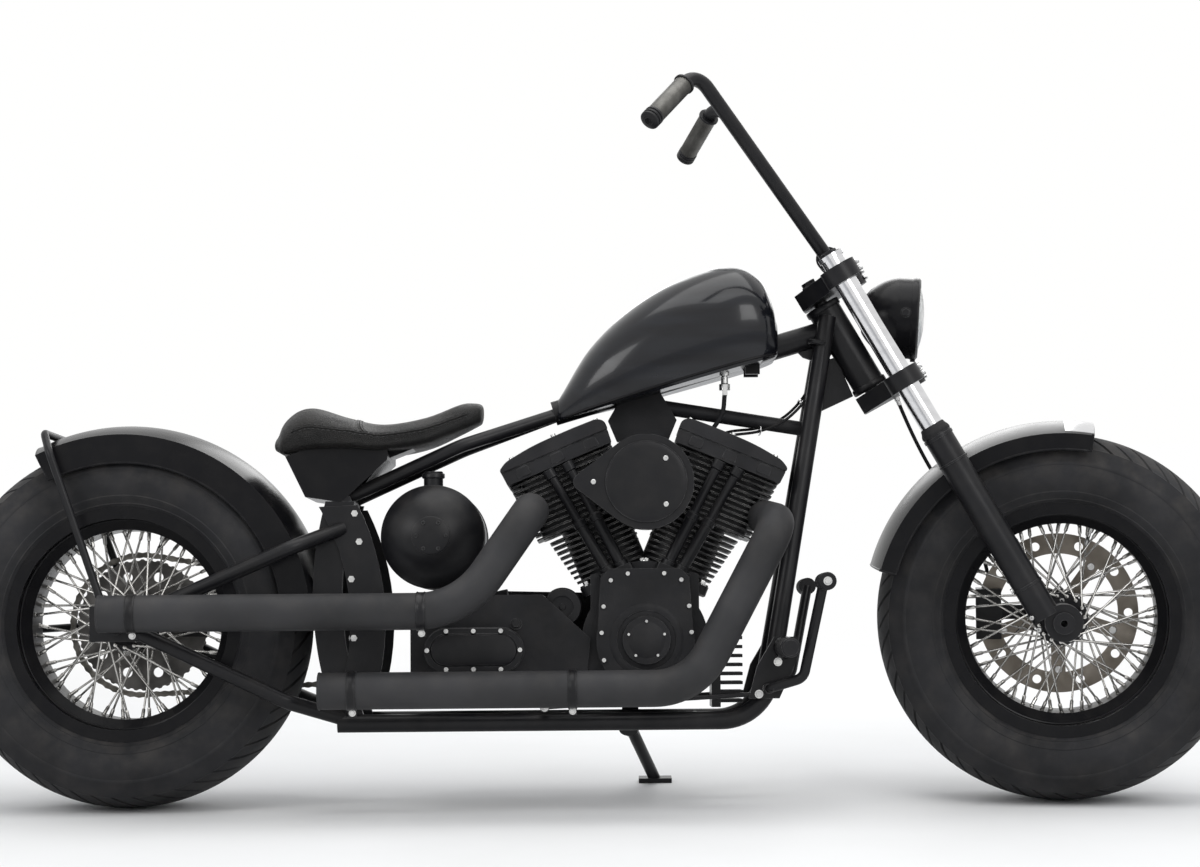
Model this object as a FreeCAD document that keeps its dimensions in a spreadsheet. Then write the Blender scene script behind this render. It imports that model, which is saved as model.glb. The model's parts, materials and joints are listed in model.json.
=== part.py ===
import FreeCAD, Part
import math
import os
import re
import Sketcher

# A low chopper motorcycle: rigid-looking rear triangle, air-cooled V-twin, raked telescopic fork, solo seat.
# Every piece is drawn with the machine upright: +X forward, +Y to the rider's left, +Z up, the middle of the
# wheelbase over the origin and the tyres on Z = 0. Last placements steer the fork and lean the machine
# on its side stand.

V = FreeCAD.Vector
doc = FreeCAD.newDocument("chopper_motorcycle")

# Driving dimensions in millimetres and degrees. Sideways (Y) places of right-hand pieces are written
# as distances from the middle plane.
DIMENSIONS = [
    # stance
    ("wheelbase", 1672), ("lean_angle", 5),
    # wheels
    ("tyre_radius", 328), ("tyre_half_width", 115), ("tread_half_width", 95), ("tread_edge_drop", 23),
    ("tyre_wide_radius", 257), ("tyre_wall", 13), ("bead_half_width", 88),
    ("bead_seat_radius", 192), ("rim_flange_radius", 208), ("rim_half_width", 98), ("rim_wall", 5),
    ("rim_well_radius", 174), ("rim_well_half_width", 44), ("rim_well_slope", 14), ("rim_lip", 4),
    ("hub_barrel_radius", 27), ("hub_half_length", 74), ("hub_flange_radius", 47),
    ("hub_flange_width", 7), ("hub_flange_place", 56),
    ("spoke_radius", 2), ("spoke_count", 60), ("spoke_circle_radius", 41), ("spoke_cross_angle", 50),
    ("spoke_hub_stagger", 6), ("spoke_rim_place", 20), ("spoke_rim_stagger", 4),
    ("axle_radius", 12.5), ("axle_bore_radius", 6), ("axle_running_gap", 0.05),
    ("axle_head_radius", 19), ("axle_head_width", 12), ("axle_spacer_radius", 20),
    # brakes and final drive
    ("front_disc_radius", 146), ("front_disc_inner_radius", 109), ("front_disc_place", 112),
    ("disc_thickness", 5),
    ("disc_hole_count", 10), ("disc_hole_radius", 8), ("disc_carrier_radius", 36), ("disc_arm_width", 26),
    ("sprocket_radius", 129), ("sprocket_place", 135), ("sprocket_thickness", 7),
    ("sprocket_hole_radius", 9), ("sprocket_hole_ring", 92),
    ("chain_run_start", 44), ("chain_run_end", 24), ("chain_half_height", 7.5), ("chain_width", 15),
    ("chain_gap", 3), ("drive_sprocket_radius", 58),
    ("caliper_length", 92), ("caliper_depth", 46), ("caliper_width", 58), ("caliper_slot_gap", 2.5),
    # steering and fork
    ("rake", 30), ("steering_turn", -8), ("axle_lead", 21), ("stem_offset", 60), ("stem_radius", 13),
    ("stem_running_gap", 0.1),
    ("neck_radius", 30), ("neck_bottom", 526), ("neck_top", 701),
    ("fork_spacing", 165), ("fork_tube_radius", 20.5), ("fork_tube_top", 752), ("fork_cap_height", 8),
    ("fork_leg_radius", 26), ("fork_leg_top", 394), ("fork_leg_bottom", 24), ("fork_foot_radius", 33),
    ("fork_foot_half_width", 17),
    ("tree_thickness", 31), ("top_tree_bottom", 706), ("bottom_tree_bottom", 491),
    ("tree_collar_radius", 33), ("tree_waist", 26), ("tree_front", 2), ("tree_back", 33),
    ("stem_nut_height", 14),
    ("lamp_place_x", 580), ("lamp_place_z", 868), ("lamp_radius", 73), ("lamp_depth", 92),
    ("lamp_back_radius", 30),
    ("lamp_nod", 4), ("lamp_rim_width", 12), ("lamp_lens_bulge", 12),
    # handlebar
    ("bar_radius", 12.7), ("bar_base_height", 763), ("bar_base_forward", -6),
    ("bar_base_half_width", 92), ("bar_top_x", 212),
    ("bar_top_z", 1296), ("bar_top_half_width", 234), ("bar_bend_radius", 36),
    ("grip_radius", 18), ("grip_length", 112), ("grip_end_x", 141), ("grip_end_z", 1203),
    ("grip_end_half_width", 334),
    ("grip_cap", 5), ("riser_place", 46), ("riser_radius", 14), ("riser_clamp_lip", 3),
    ("riser_clamp_radius", 22),
    # front fender, lamp bracket and brake
    ("fender_wall", 3), ("fender_crown_drop", 22), ("front_fender_half_width", 122),
    ("front_fender_radius", 352), ("front_fender_flank", 50),
   
    ("front_fender_front_angle", 10), ("front_fender_rear_angle", -74),
    ("fender_mount_radius", 9), ("fender_mount_up", 318), ("lamp_bracket_forward", -10),
    ("lamp_bracket_radius", 11), ("lamp_arm_up", 632),
    ("front_caliper_place", 126), ("caliper_arm_length", 106), ("caliper_arm_thickness", 12),
    ("caliper_arm_height", 26), ("front_hose_radius", 3.5),
    # frame
    ("frame_tube_radius", 16), ("small_tube_radius", 12), ("stay_radius", 13),
    ("cradle_half_width", 102), ("downtube_top_half_width", 24), ("rail_height", 150),
    ("downtube_foot_x", 296),
    ("downtube_top_x", 424), ("downtube_top_z", 872),
    ("rail_rear_x", -455), ("cradle_bend", 90), ("backbone_front_x", 440), ("backbone_front_z", 851),
    ("backbone_rear_x", -72), ("backbone_rear_z", 702), ("seat_rail_half_width", 62),
    ("seat_rail_mid_x", -238), ("seat_rail_mid_z", 641), ("seat_rail_rear_x", -444),
    ("seat_rail_rear_z", 548),
    ("upright_width", 52), ("upright_thickness", 14), ("upright_half_width", 96),
    ("stay_half_width", 161), ("stay_upper_x", -466), ("stay_upper_z", 486), ("stay_lower_x", -474),
    ("stay_lower_z", 160), ("axle_plate_thickness", 12), ("axle_plate_length", 92),
    ("axle_plate_height", 62),
    ("backbone_radius", 22), ("seat_rail_bend", 90), ("upright_top_x", -424), ("upright_top_z", 542),
    ("upright_foot_x", -404), ("upright_curve", 620), ("middle_cross_x", -60), ("front_cross_x", 180),
    # rear fender and its hoop
    ("rear_fender_half_width", 122), ("rear_fender_radius", 357),
    ("rear_fender_flank", 72),
    ("rear_fender_rear_angle", -26.5), ("rear_fender_front_angle", 92), ("hoop_radius", 7),
    ("hoop_angle", -22), ("hoop_flank_place", 142),
    # side stand
    ("stand_pivot_x", 60), ("stand_pivot_y", 148), ("stand_pivot_z", 138), ("stand_foot_x", 110),
    ("stand_foot_y", 285), ("stand_leg_radius", 11), ("stand_pad_thickness", 9), ("stand_pad_length", 62),
    ("stand_pad_width", 40), ("stand_pin_radius", 7), ("stand_pin_gap", 0.08), ("stand_eye_radius", 17),
    ("stand_eye_height", 14), ("stand_ear_thickness", 8), ("stand_ear_gap", 0.5), ("stand_neck_length", 28),
    ("stand_neck_width", 22), ("stand_lug_reach", 46), ("stand_lug_width", 30), ("stand_web_start", 21),
    ("stand_fold_out", 0.08), ("stand_fold_up", 0.02),
    # engine
    ("crank_x", 88), ("crank_z", 290), ("vee_angle", 45), ("vee_gap", 3), ("engine_reach", 900),
    ("barrel_radius", 84), ("barrel_low", 120), ("head_low", 238), ("head_inner", 84), ("head_outer", 116),
    ("head_half_width", 80), ("cover_low", 347), ("cover_high", 398), ("cover_inner", 86),
    ("cover_outer", 120),
    ("cover_half_width", 104), ("cover_bevel", 12), ("pushrod_radius", 9), ("pushrod_place", 96),
    ("pushrod_low", 136), ("pushrod_foot_near", -14), ("pushrod_top_near", 4), ("pushrod_foot_far", 12),
    ("pushrod_top_far", 40), ("case_radius", 112), ("case_half_width", 92), ("deck_half", 96),
    ("deck_height", 432),
    ("cam_radius", 86), ("cam_top_half", 78), ("cam_top_height", 418), ("cam_depth", 32),
    ("cam_cap_radius", 42),
    ("cam_cap_depth", 12), ("mount_half_width", 13), ("brace_radius", 13), ("brace_rear_x", 100),
    ("brace_rear_z", 716), ("brace_front_x", 388), ("brace_front_z", 669), ("intake_height", 567),
    ("manifold_radius", 20),
    ("carburettor_half", 36), ("cleaner_back", 158), ("cleaner_depth", 44), ("cleaner_radius", 83),
    ("cleaner_lobe_radius", 15), ("cleaner_lobe_reach", 112), ("cleaner_disc_radius", 71),
    ("cleaner_disc_rise", 4),
    # exhausts
    ("pipe_radius", 32), ("pipe_wall", 2), ("pipe_place", 222), ("pipe_mouth_depth", 120),
    ("port_out", 112),
    ("port_up", 284), ("upper_pipe_height", 345), ("upper_pipe_end", -857), ("upper_pipe_bend", 150),
    ("lower_pipe_height", 209), ("lower_pipe_end", -477), ("lower_pipe_bend", 112), ("port_bend", 46),
    ("lower_run_x", 168), ("upper_run_x", -230),
    # gearbox, primary drive, starter, oil tank
    ("gearbox_half_width", 98), ("gearbox_cover_x", -214), ("gearbox_cover_z", 277),
    ("gearbox_cover_radius", 40),
    ("gearbox_cover_half", 48), ("gearbox_cover_depth", 26), ("output_x", -215), ("output_z", 290),
    ("output_radius", 24), ("primary_inner_place", 148), ("primary_depth", 50),
    ("primary_front_radius", 88),
    ("primary_rear_radius", 96), ("primary_boss_radius", 62), ("starter_x", -58), ("starter_z", 352),
    ("starter_radius", 34), ("oil_tank_x", -287), ("oil_tank_z", 478), ("oil_tank_radius", 91),
    ("oil_tank_half_width", 152), ("oil_dome", 52), ("oil_neck_radius", 17), ("oil_neck_height", 26),
    # foot controls and rear caliper
    ("peg_x", 332), ("peg_z", 277), ("peg_radius", 16), ("peg_start", 128), ("peg_end", 300),
    ("control_plate_thickness", 12), ("pedal_radius", 9), ("pedal_pad_radius", 14), ("pedal_pad_x", 397),
    ("pedal_pad_z", 390), ("pedal_pad_start", 196), ("pedal_pad_end", 286), ("brake_rod_radius", 4),
    ("rear_caliper_place", 98), ("rear_caliper_width", 32), ("rear_caliper_length", 62),
    # plate and tail lamp
    ("plate_place", 196), ("plate_width", 108), ("plate_height", 172), ("plate_thickness", 3),
    ("plate_x", -1112),
    ("plate_z", 318), ("tail_lamp_radius", 24), ("tail_lamp_depth", 30), ("plate_arm_radius", 7),
    ("plate_hole_ring", 48), ("plate_hole_radius", 3),
    # fuel tank, seat
    ("tank_base_z", 703), ("tank_tunnel_gap", 1), ("tank_cap_radius", 29), ("tank_cap_height", 9),
    ("tank_cap_x", 205), ("tank_cap_y", 46),
    ("tap_radius", 11), ("tap_height", 26), ("tap_x", 236), ("tap_y", 40),
    ("seat_skirt_half_width", 104), ("seat_nose_half_width", 40),
]

sheet = doc.addObject("Spreadsheet::Sheet", "Dimensions")


def write_sheet(rows):
    """Fill the sheet with one named size a row."""
    for number, (name, amount) in enumerate(rows, start=1):
        sheet.set(f"A{number}", name)
        sheet.set(f"B{number}", str(amount))
        sheet.setAlias(f"B{number}", name)
    doc.recompute()


write_sheet(DIMENSIONS)
NAMES = {name for name, _amount in DIMENSIONS}
PARTS = {}


def linked(formula):
    """Spell each name of the sheet in a formula as that cell of the sheet."""
    def spell(found):
        word = found.group(0)
        return "Dimensions." + word if word in NAMES else word
    return re.sub(r"[a-z][a-z_0-9]*", spell, str(formula))


def size(formula):
    """Work out a formula of the sheet's names as a plain number."""
    return float(sheet.evalExpression(linked(formula)))


def point(x, y, z):
    """A place whose three coordinates are formulas."""
    return V(size(x), size(y), size(z))


def bind(thing, **formulas):
    """Tie properties of an object to formulas of the sheet."""
    for prop, formula in formulas.items():
        thing.setExpression(prop, linked(formula))
    return thing


def keep(label, thing):
    """Name a finished sub-part and its file. A piece made from it later takes the name over."""
    if label in PARTS:
        PARTS[label].Label = label + "_before"
    thing.Label = label
    PARTS[label] = thing
    return thing


def turn_z_to(direction):
    """The rotation that lays an object's own Z along a direction."""
    return FreeCAD.Rotation(V(0, 0, 1), direction)


def cylinder(name, radius, start, end):
    """A round bar between two places."""
    bar = bind(doc.addObject("Part::Cylinder", name), Radius=radius)
    bar.Height = (end - start).Length
    bar.Placement = FreeCAD.Placement(start, turn_z_to(end - start))
    return bar


def cross_bar(name, radius, x, z, y_from, y_to):
    """A round bar across the machine, along Y."""
    return cylinder(name, radius, point(x, y_from, z), point(x, y_to, z))


def box(name, length, width, height, corner):
    """A block with its low corner at a place."""
    block = bind(doc.addObject("Part::Box", name), Length=length, Width=width, Height=height)
    block.Placement.Base = corner
    return block


def joined(name, shapes):
    """Several shapes welded to one solid."""
    weld = doc.addObject("Part::MultiFuse", name)
    weld.Shapes = shapes
    weld.Refine = True
    return weld


def group(name, shapes):
    """Several shapes that stay apart in one piece of the list."""
    together = doc.addObject("Part::Compound", name)
    together.Links = shapes
    return together


def cut(name, base, tool):
    """A shape less another."""
    less = doc.addObject("Part::Cut", name)
    less.Base = base
    less.Tool = tool
    return less


def shared(name, one, other):
    """What two shapes have in common."""
    common = doc.addObject("Part::MultiCommon", name)
    common.Shapes = [one, other]
    return common


def less_all(name, base, tools):
    """A shape less several others."""
    return cut(name, base, tools[0] if len(tools) == 1 else joined(name + "_tools", tools))


def mirrored(name, source):
    """The same shape on the other side of the middle plane."""
    twin = doc.addObject("Part::Mirroring", name)
    twin.Source = source
    twin.Base = V(0, 0, 0)
    twin.Normal = V(0, 1, 0)
    return twin


def arc_geometry(start, end, radius):
    """The short arc between two places; a positive radius turns to the left of the way it goes."""
    chord = end - start
    half = chord.Length / 2
    rise = math.sqrt(max(radius * radius - half * half, 0))
    left = V(-chord.y, chord.x, 0).normalize()
    centre = (start + end) / 2 + left * math.copysign(rise, radius)
    ends = (start, end) if radius > 0 else (end, start)
    angles = [math.atan2(place.y - centre.y, place.x - centre.x) for place in ends]
    return Part.ArcOfCircle(Part.Circle(centre, V(0, 0, 1), abs(radius)), angles[0], angles[1])


def draw(sketch, outline, circles=()):
    """Draw a closed outline: rows of (x, y) or (x, y, radius of the arc that leads to it), all formulas."""
    places = [V(size(row[0]), size(row[1]), 0) for row in outline]
    first_end = []
    for number, row in enumerate(outline):
        start = places[number - 1]
        end = places[number]
        if len(row) == 2:
            sketch.addGeometry(Part.LineSegment(start, end))
            first_end.append((1, 2))
            continue
        radius = size(row[2])
        sketch.addGeometry(arc_geometry(start, end, radius))
        first_end.append((1, 2) if radius > 0 else (2, 1))
        index = sketch.addConstraint(Sketcher.Constraint("Radius", number, abs(radius)))
        sketch.setExpression(f"Constraints[{index}]", "abs(" + linked(row[2]) + ")")
    for number, row in enumerate(outline):
        after = (number + 1) % len(outline)
        end = first_end[number][1]
        sketch.addConstraint(Sketcher.Constraint("Coincident", number, end, after, first_end[after][0]))
        for kind, formula, amount in (("DistanceX", row[0], places[number].x), ("DistanceY", row[1],
                                                                                places[number].y)):
            index = sketch.addConstraint(Sketcher.Constraint(kind, -1, 1, number, end, amount))
            sketch.setExpression(f"Constraints[{index}]", linked(formula))
    for x, y, radius in circles:
        ring = sketch.addGeometry(Part.Circle(V(size(x), size(y), 0), V(0, 0, 1), size(radius)))
        for kind, formula in (("DistanceX", x), ("DistanceY", y)):
            index = sketch.addConstraint(Sketcher.Constraint(kind, -1, 1, ring, 3, size(formula)))
            sketch.setExpression(f"Constraints[{index}]", linked(formula))
        index = sketch.addConstraint(Sketcher.Constraint("Radius", ring, size(radius)))
        sketch.setExpression(f"Constraints[{index}]", linked(radius))


def new_sketch(body, name, role):
    """An empty sketch on one of a body's own planes."""
    sketch = body.newObject("Sketcher::SketchObject", name)
    plane = [feature for feature in body.Origin.OriginFeatures if feature.Role == role][0]
    sketch.AttachmentSupport = [(plane, "")]
    sketch.MapMode = "FlatFace"
    return sketch


def turned(name, outline, centre, degrees="360", start="0"):
    """A body turned about a line along Y through its centre; its outline holds (y, radius) rows.

    start is the angle, from straight up towards +X, where a part turn begins.
    """
    body = doc.addObject("PartDesign::Body", name)
    profile = new_sketch(body, name + "_profile", "YZ_Plane")
    draw(profile, outline)
    spin = body.newObject("PartDesign::Revolution", name + "_turn")
    spin.Profile = profile
    spin.ReferenceAxis = (profile, ["H_Axis"])
    bind(spin, Angle=degrees)
    body.Tip = spin
    profile.Visibility = False
    body.Placement = FreeCAD.Placement(centre, FreeCAD.Rotation(V(0, 1, 0), size(start)))
    return body


def plate(name, outline, y_high, thickness, circles=(), centre=V(0, 0, 0)):
    """A body cut from plate: an outline of (x, z) rows with holes, from Y = y_high down by a thickness."""
    body = doc.addObject("PartDesign::Body", name)
    profile = new_sketch(body, name + "_profile", "XZ_Plane")
    draw(profile, outline, circles)
    pad = body.newObject("PartDesign::Pad", name + "_pad")
    pad.Profile = profile
    bind(pad, Length=thickness)
    body.Tip = pad
    profile.Visibility = False
    body.Placement.Base = centre + V(0, size(y_high), 0)
    return body


def route_wire(route, bends):
    """Straight runs through the places of a route, each corner rounded by its bend radius."""
    edges = []
    here = route[0]
    for number in range(1, len(route) - 1):
        corner = route[number]
        before = (route[number - 1] - corner).normalize()
        after = (route[number + 1] - corner).normalize()
        half_turn = (math.pi - before.getAngle(after)) / 2
        radius = bends[number - 1]
        reach = radius * math.tan(half_turn)
        start = corner + before * reach
        end = corner + after * reach
        inward = (before + after).normalize()
        middle = corner + inward * (radius / math.cos(half_turn) - radius)
        edges.append(Part.makeLine(here, start))
        edges.append(Part.Arc(start, middle, end).toShape())
        here = end
    edges.append(Part.makeLine(here, route[-1]))
    return Part.Wire(edges)


def tube(name, radius, route, bends=()):
    """A round bar bent along a route."""
    path = doc.addObject("Part::Feature", name + "_path")
    path.Shape = route_wire(route, bends)
    section = bind(doc.addObject("Part::Circle", name + "_section"), Radius=radius)
    section.Placement = FreeCAD.Placement(route[0], turn_z_to(route[1] - route[0]))
    bent = doc.addObject("Part::Sweep", name)
    bent.Sections = [section]
    bent.Spine = (path, [])
    bent.Solid = True
    bent.Frenet = False
    for helper in (path, section):
        helper.Visibility = False
    return bent


def lofted(name, wires):
    """A solid skinned over closed sections."""
    sections = []
    for number, wire in enumerate(wires):
        section = doc.addObject("Part::Feature", f"{name}_section_{number}")
        section.Shape = wire
        section.Visibility = False
        sections.append(section)
    skin = doc.addObject("Part::Loft", name)
    skin.Sections = sections
    skin.Solid = True
    skin.Ruled = False
    return skin


def arch_section(x, low, high, half_width, corner):
    """A closed section across the machine: a flat bottom, upright sides and a top rounded as one arc.

    corner is the height, above the bottom, where the side turns into the arched top.
    """
    side = low + corner
    left = V(x, half_width, side)
    right = V(x, -half_width, side)
    crown = Part.Arc(left, V(x, 0, high), right).toShape()
    runs = [Part.makeLine(right, V(x, -half_width * 0.9, low)),
            Part.makeLine(V(x, -half_width * 0.9, low), V(x, half_width * 0.9, low)),
            Part.makeLine(V(x, half_width * 0.9, low), left)]
    return Part.Wire([crown] + runs)


# ---------------------------------------------------------------- wheels
REAR_AXLE = point("-wheelbase / 2", 0, "tyre_radius")
FRONT_AXLE = point("wheelbase / 2", 0, "tyre_radius")

TYRE_OUTLINE = [
    ("-tread_half_width", "tyre_radius - tread_edge_drop", "-70"),
    ("tread_half_width", "tyre_radius - tread_edge_drop",
     "-((tread_half_width ^ 2 + tread_edge_drop ^ 2) / (2 * tread_edge_drop))"),
    ("tyre_half_width", "tyre_wide_radius", "-70"),
    ("bead_half_width + rim_lip", "rim_flange_radius", "-90"),
    ("bead_half_width", "bead_seat_radius"),
    ("bead_half_width - tyre_wall", "bead_seat_radius"),
    ("tyre_half_width - tyre_wall", "tyre_wide_radius", "80"),
    ("tread_half_width - tyre_wall", "tyre_radius - tread_edge_drop - tyre_wall", "62"),
    ("-(tread_half_width - tyre_wall)", "tyre_radius - tread_edge_drop - tyre_wall",
     "((tread_half_width ^ 2 + tread_edge_drop ^ 2) / (2 * tread_edge_drop))"),
    ("-(tyre_half_width - tyre_wall)", "tyre_wide_radius", "62"),
    ("-(bead_half_width - tyre_wall)", "bead_seat_radius", "80"),
    ("-bead_half_width", "bead_seat_radius"),
    ("-(bead_half_width + rim_lip)", "rim_flange_radius"),
    ("-tyre_half_width", "tyre_wide_radius", "-90"),
]


def rim_side(sign):
    """The outer face of one half of the rim, from the middle of the well to the flange's lip."""
    rows = [
        ("rim_well_half_width", "rim_well_radius"),
        ("rim_well_half_width + rim_well_slope", "bead_seat_radius"),
        ("bead_half_width", "bead_seat_radius"),
        ("bead_half_width + rim_lip", "rim_flange_radius"),
        ("rim_half_width", "rim_flange_radius"),
        ("rim_half_width", "bead_seat_radius - rim_wall"),
        ("rim_well_half_width + rim_well_slope + 2", "bead_seat_radius - rim_wall"),
        ("rim_well_half_width + 2", "rim_well_radius - rim_wall"),
    ]
    return [(f"{sign} * ({place})", radius) for place, radius in rows]


RIM_OUTLINE = rim_side(-1)[::-1] + rim_side(1)


def hub_outline():
    """Half of a hub's section: a barrel with a flange at each end, bored for its axle."""
    right = [
        ("hub_flange_place - hub_flange_width / 2", "hub_barrel_radius"),
        ("hub_flange_place - hub_flange_width / 2", "hub_flange_radius"),
        ("hub_flange_place + hub_flange_width / 2", "hub_flange_radius"),
        ("hub_flange_place + hub_flange_width / 2", "hub_barrel_radius"),
        ("hub_half_length", "hub_barrel_radius"),
        ("hub_half_length", "axle_radius + axle_running_gap"),
    ]
    left = [("-(" + place + ")", radius) for place, radius in right]
    return left[::-1] + right


def spoke_solids(rim_tool):
    """Straight spokes that cross in pairs between the hub's flanges and the rim's well."""
    solids = []
    per_side = round(size("spoke_count / 2"))
    step = 360 / per_side
    reach = size("rim_well_radius - rim_wall / 2")
    for side in (-1, 1):
        for number in range(per_side):
            lead = 1 if number % 2 else -1
            at_rim = math.radians(number * step + (step / 2 if side > 0 else 0))
            at_hub = at_rim + lead * math.radians(size("spoke_cross_angle"))
            inner = size("spoke_circle_radius")
            hub_y = side * (size("hub_flange_place") + lead * size("spoke_hub_stagger"))
            rim_y = side * (size("spoke_rim_place") + lead * size("spoke_rim_stagger"))
            start = V(inner * math.sin(at_hub), hub_y, inner * math.cos(at_hub))
            end = V(reach * math.sin(at_rim), rim_y, reach * math.cos(at_rim))
            spoke = Part.makeCylinder(size("spoke_radius"), (end - start).Length, start, end - start)
            solids.append(spoke.cut(rim_tool))
    return Part.makeCompound(solids)


def make_wheel(end, centre):
    """Tyre, rim, hub and spokes of one wheel about its axle."""
    keep(end + "_tyre", turned(end + "_tyre_body", TYRE_OUTLINE, centre))
    rim = turned(end + "_rim_body", RIM_OUTLINE, centre)
    keep(end + "_rim", rim)
    keep(end + "_hub", turned(end + "_hub_body", hub_outline(), centre))
    doc.recompute()
    keepers = rim.Shape.fuse(PARTS[end + "_hub"].Shape)
    keepers.translate(-centre)
    spokes = doc.addObject("Part::Feature", end + "_spokes_set")
    spokes.Shape = spoke_solids(keepers)
    spokes.Placement.Base = centre
    keep(end + "_spokes", spokes)


def hole_ring(count, ring, radius):
    """Rows for holes set evenly round a circle."""
    total = round(size(count))
    rows = []
    for number in range(total):
        angle = f"{number} * 360 / {total}"
        rows.append((f"({ring}) * cos({angle})", f"({ring}) * sin({angle})", radius))
    return rows


def make_front_disc():
    """A drilled disc held by three arms on a ring round the hub."""
    band = "(front_disc_radius + front_disc_inner_radius) / 2"
    rounds = [("0", "0", "front_disc_radius"), ("0", "0", "front_disc_inner_radius")]
    rounds += hole_ring("disc_hole_count", band, "disc_hole_radius")
    ring = plate("front_disc_band", [], "front_disc_place + disc_thickness / 2", "disc_thickness", rounds,
                 FRONT_AXLE)
    seat = cross_bar("front_disc_seat", "disc_carrier_radius", "wheelbase / 2", "tyre_radius",
                     "hub_flange_place + hub_flange_width / 2", "front_disc_place + disc_thickness / 2")
    arms = []
    for number in range(5):
        arm = box(f"front_disc_arm_{number}", "front_disc_inner_radius + 4", "disc_thickness",
                  "disc_arm_width",
                  V(0, 0, 0))
        lower = FreeCAD.Placement(point(0, "-disc_thickness / 2", "-disc_arm_width / 2"),
                                  FreeCAD.Rotation())
        turn = FreeCAD.Rotation(V(0, 1, 0), number * 72 + 18)
        arm.Placement = FreeCAD.Placement(FRONT_AXLE + point(0, "front_disc_place", 0),
                                          turn).multiply(lower)
        arms.append(arm)
    whole = joined("front_disc_whole", [ring, seat] + arms)
    bore = cross_bar("front_disc_bore", "hub_barrel_radius", "wheelbase / 2", "tyre_radius", 0,
                     "front_disc_place + 30")
    keep("front_brake_disc", cut("front_disc_bored", whole, bore))


def make_rear_sprocket():
    """The chain sprocket, whose drilled web is also the rear brake's disc."""
    rounds = [("0", "0", "sprocket_radius - chain_half_height - chain_gap")]
    rounds += hole_ring("disc_hole_count", "sprocket_hole_ring", "sprocket_hole_radius")
    web = plate("sprocket_web", [], "sprocket_place + sprocket_thickness / 2", "sprocket_thickness", rounds,
                REAR_AXLE)
    seat = cross_bar("sprocket_seat", "disc_carrier_radius", "-wheelbase / 2", "tyre_radius",
                     "hub_flange_place + hub_flange_width / 2", "sprocket_place + sprocket_thickness / 2")
    bore = cross_bar("sprocket_bore", "hub_barrel_radius", "-wheelbase / 2", "tyre_radius", 0,
                     "sprocket_place + 30")
    keep("rear_sprocket", cut("sprocket_bored", joined("sprocket_whole", [web, seat]), bore))


make_wheel("rear", REAR_AXLE)
make_wheel("front", FRONT_AXLE)
make_front_disc()
make_rear_sprocket()


# ---------------------------------------------------------------- fork, steered with the handlebar
RAKE_TURN = FreeCAD.Rotation(V(0, 1, 0), -size("rake"))
FORK_FRAME = FreeCAD.Placement(FRONT_AXLE - RAKE_TURN.multVec(point("axle_lead", 0, 0)), RAKE_TURN)


def fork_point(forward, side, up):
    """A place in the fork's own frame: forward of the legs, to the left, and up along them from the axle."""
    return FORK_FRAME.multVec(point(forward, side, up))


def fork_bar(name, radius, forward, side, up_from, up_to):
    """A round bar along the fork."""
    return cylinder(name, radius, fork_point(forward, side, up_from), fork_point(forward, side, up_to))


def both_sides(name, make):
    """The same piece on the right and on the left, from a function of the side's sign."""
    return group(name, [make("-", name + "_right"), make("", name + "_left")])


def tree_plate(name, bottom):
    """A fork tree's plate, waisted between the collars that hold the fork tubes."""
    slab = doc.addObject("PartDesign::Body", name + "_slab")
    profile = new_sketch(slab, name + "_outline", "XY_Plane")
    draw(profile, [
        ("-tree_collar_radius * 0.4", "-fork_spacing"),
        ("tree_collar_radius * 0.5", "-fork_spacing"),
        ("tree_front", "-tree_waist"),
        ("tree_front", "tree_waist"),
        ("tree_collar_radius * 0.5", "fork_spacing"),
        ("-tree_collar_radius * 0.4", "fork_spacing"),
        ("-stem_offset - tree_back", "tree_waist * 1.8"),
        ("-stem_offset - tree_back", "-tree_waist * 1.8"),
    ])
    pad = slab.newObject("PartDesign::Pad", name + "_pad")
    pad.Profile = profile
    bind(pad, Length="tree_thickness")
    slab.Tip = pad
    profile.Visibility = False
    slab.Placement = FORK_FRAME.multiply(FreeCAD.Placement(point(0, 0, bottom), FreeCAD.Rotation()))
    collars = []
    for number, side in enumerate(("-fork_spacing", "fork_spacing")):
        collars.append(fork_bar(f"{name}_collar_{number}", "tree_collar_radius", 0, side, bottom,
                                f"{bottom} + tree_thickness"))
    return joined(name + "_whole", [slab] + collars)


def tube_holes(name, bottom):
    """The two holes of a tree for the fork tubes."""
    holes = []
    for number, side in enumerate(("-fork_spacing", "fork_spacing")):
        holes.append(fork_bar(f"{name}_hole_{number}", "fork_tube_radius", 0, side, f"{bottom} - 5",
                              f"{bottom} + tree_thickness + 5"))
    return holes


def make_trees():
    """The top tree, and the bottom tree with the stem that turns in the steering neck."""
    stem_top = "top_tree_bottom + tree_thickness + stem_nut_height"
    stem_hole = fork_bar("stem_hole", "stem_radius", "-stem_offset", 0, "top_tree_bottom - 5", stem_top)
    top = tree_plate("top_tree_plate", "top_tree_bottom")
    keep("top_tree", less_all("top_tree_bored", top, tube_holes("top_tree",
                                                                "top_tree_bottom") + [stem_hole]))
    bottom = tree_plate("bottom_tree_plate", "bottom_tree_bottom")
    bored = less_all("bottom_tree_bored", bottom, tube_holes("bottom_tree", "bottom_tree_bottom"))
    stem = fork_bar("stem", "stem_radius", "-stem_offset", 0, "bottom_tree_bottom", stem_top)
    keep("bottom_tree", joined("bottom_tree_and_stem", [bored, stem]))


def fork_tube(sign, name):
    """One bright fork tube with its cap."""
    side = sign + "fork_spacing"
    bar = fork_bar(name + "_bar", "fork_tube_radius", 0, side, "fork_leg_top", "fork_tube_top")
    cap = fork_bar(name + "_cap", "fork_tube_radius + 3", 0, side, "fork_tube_top",
                   "fork_tube_top + fork_cap_height")
    return joined(name, [bar, cap])


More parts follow.
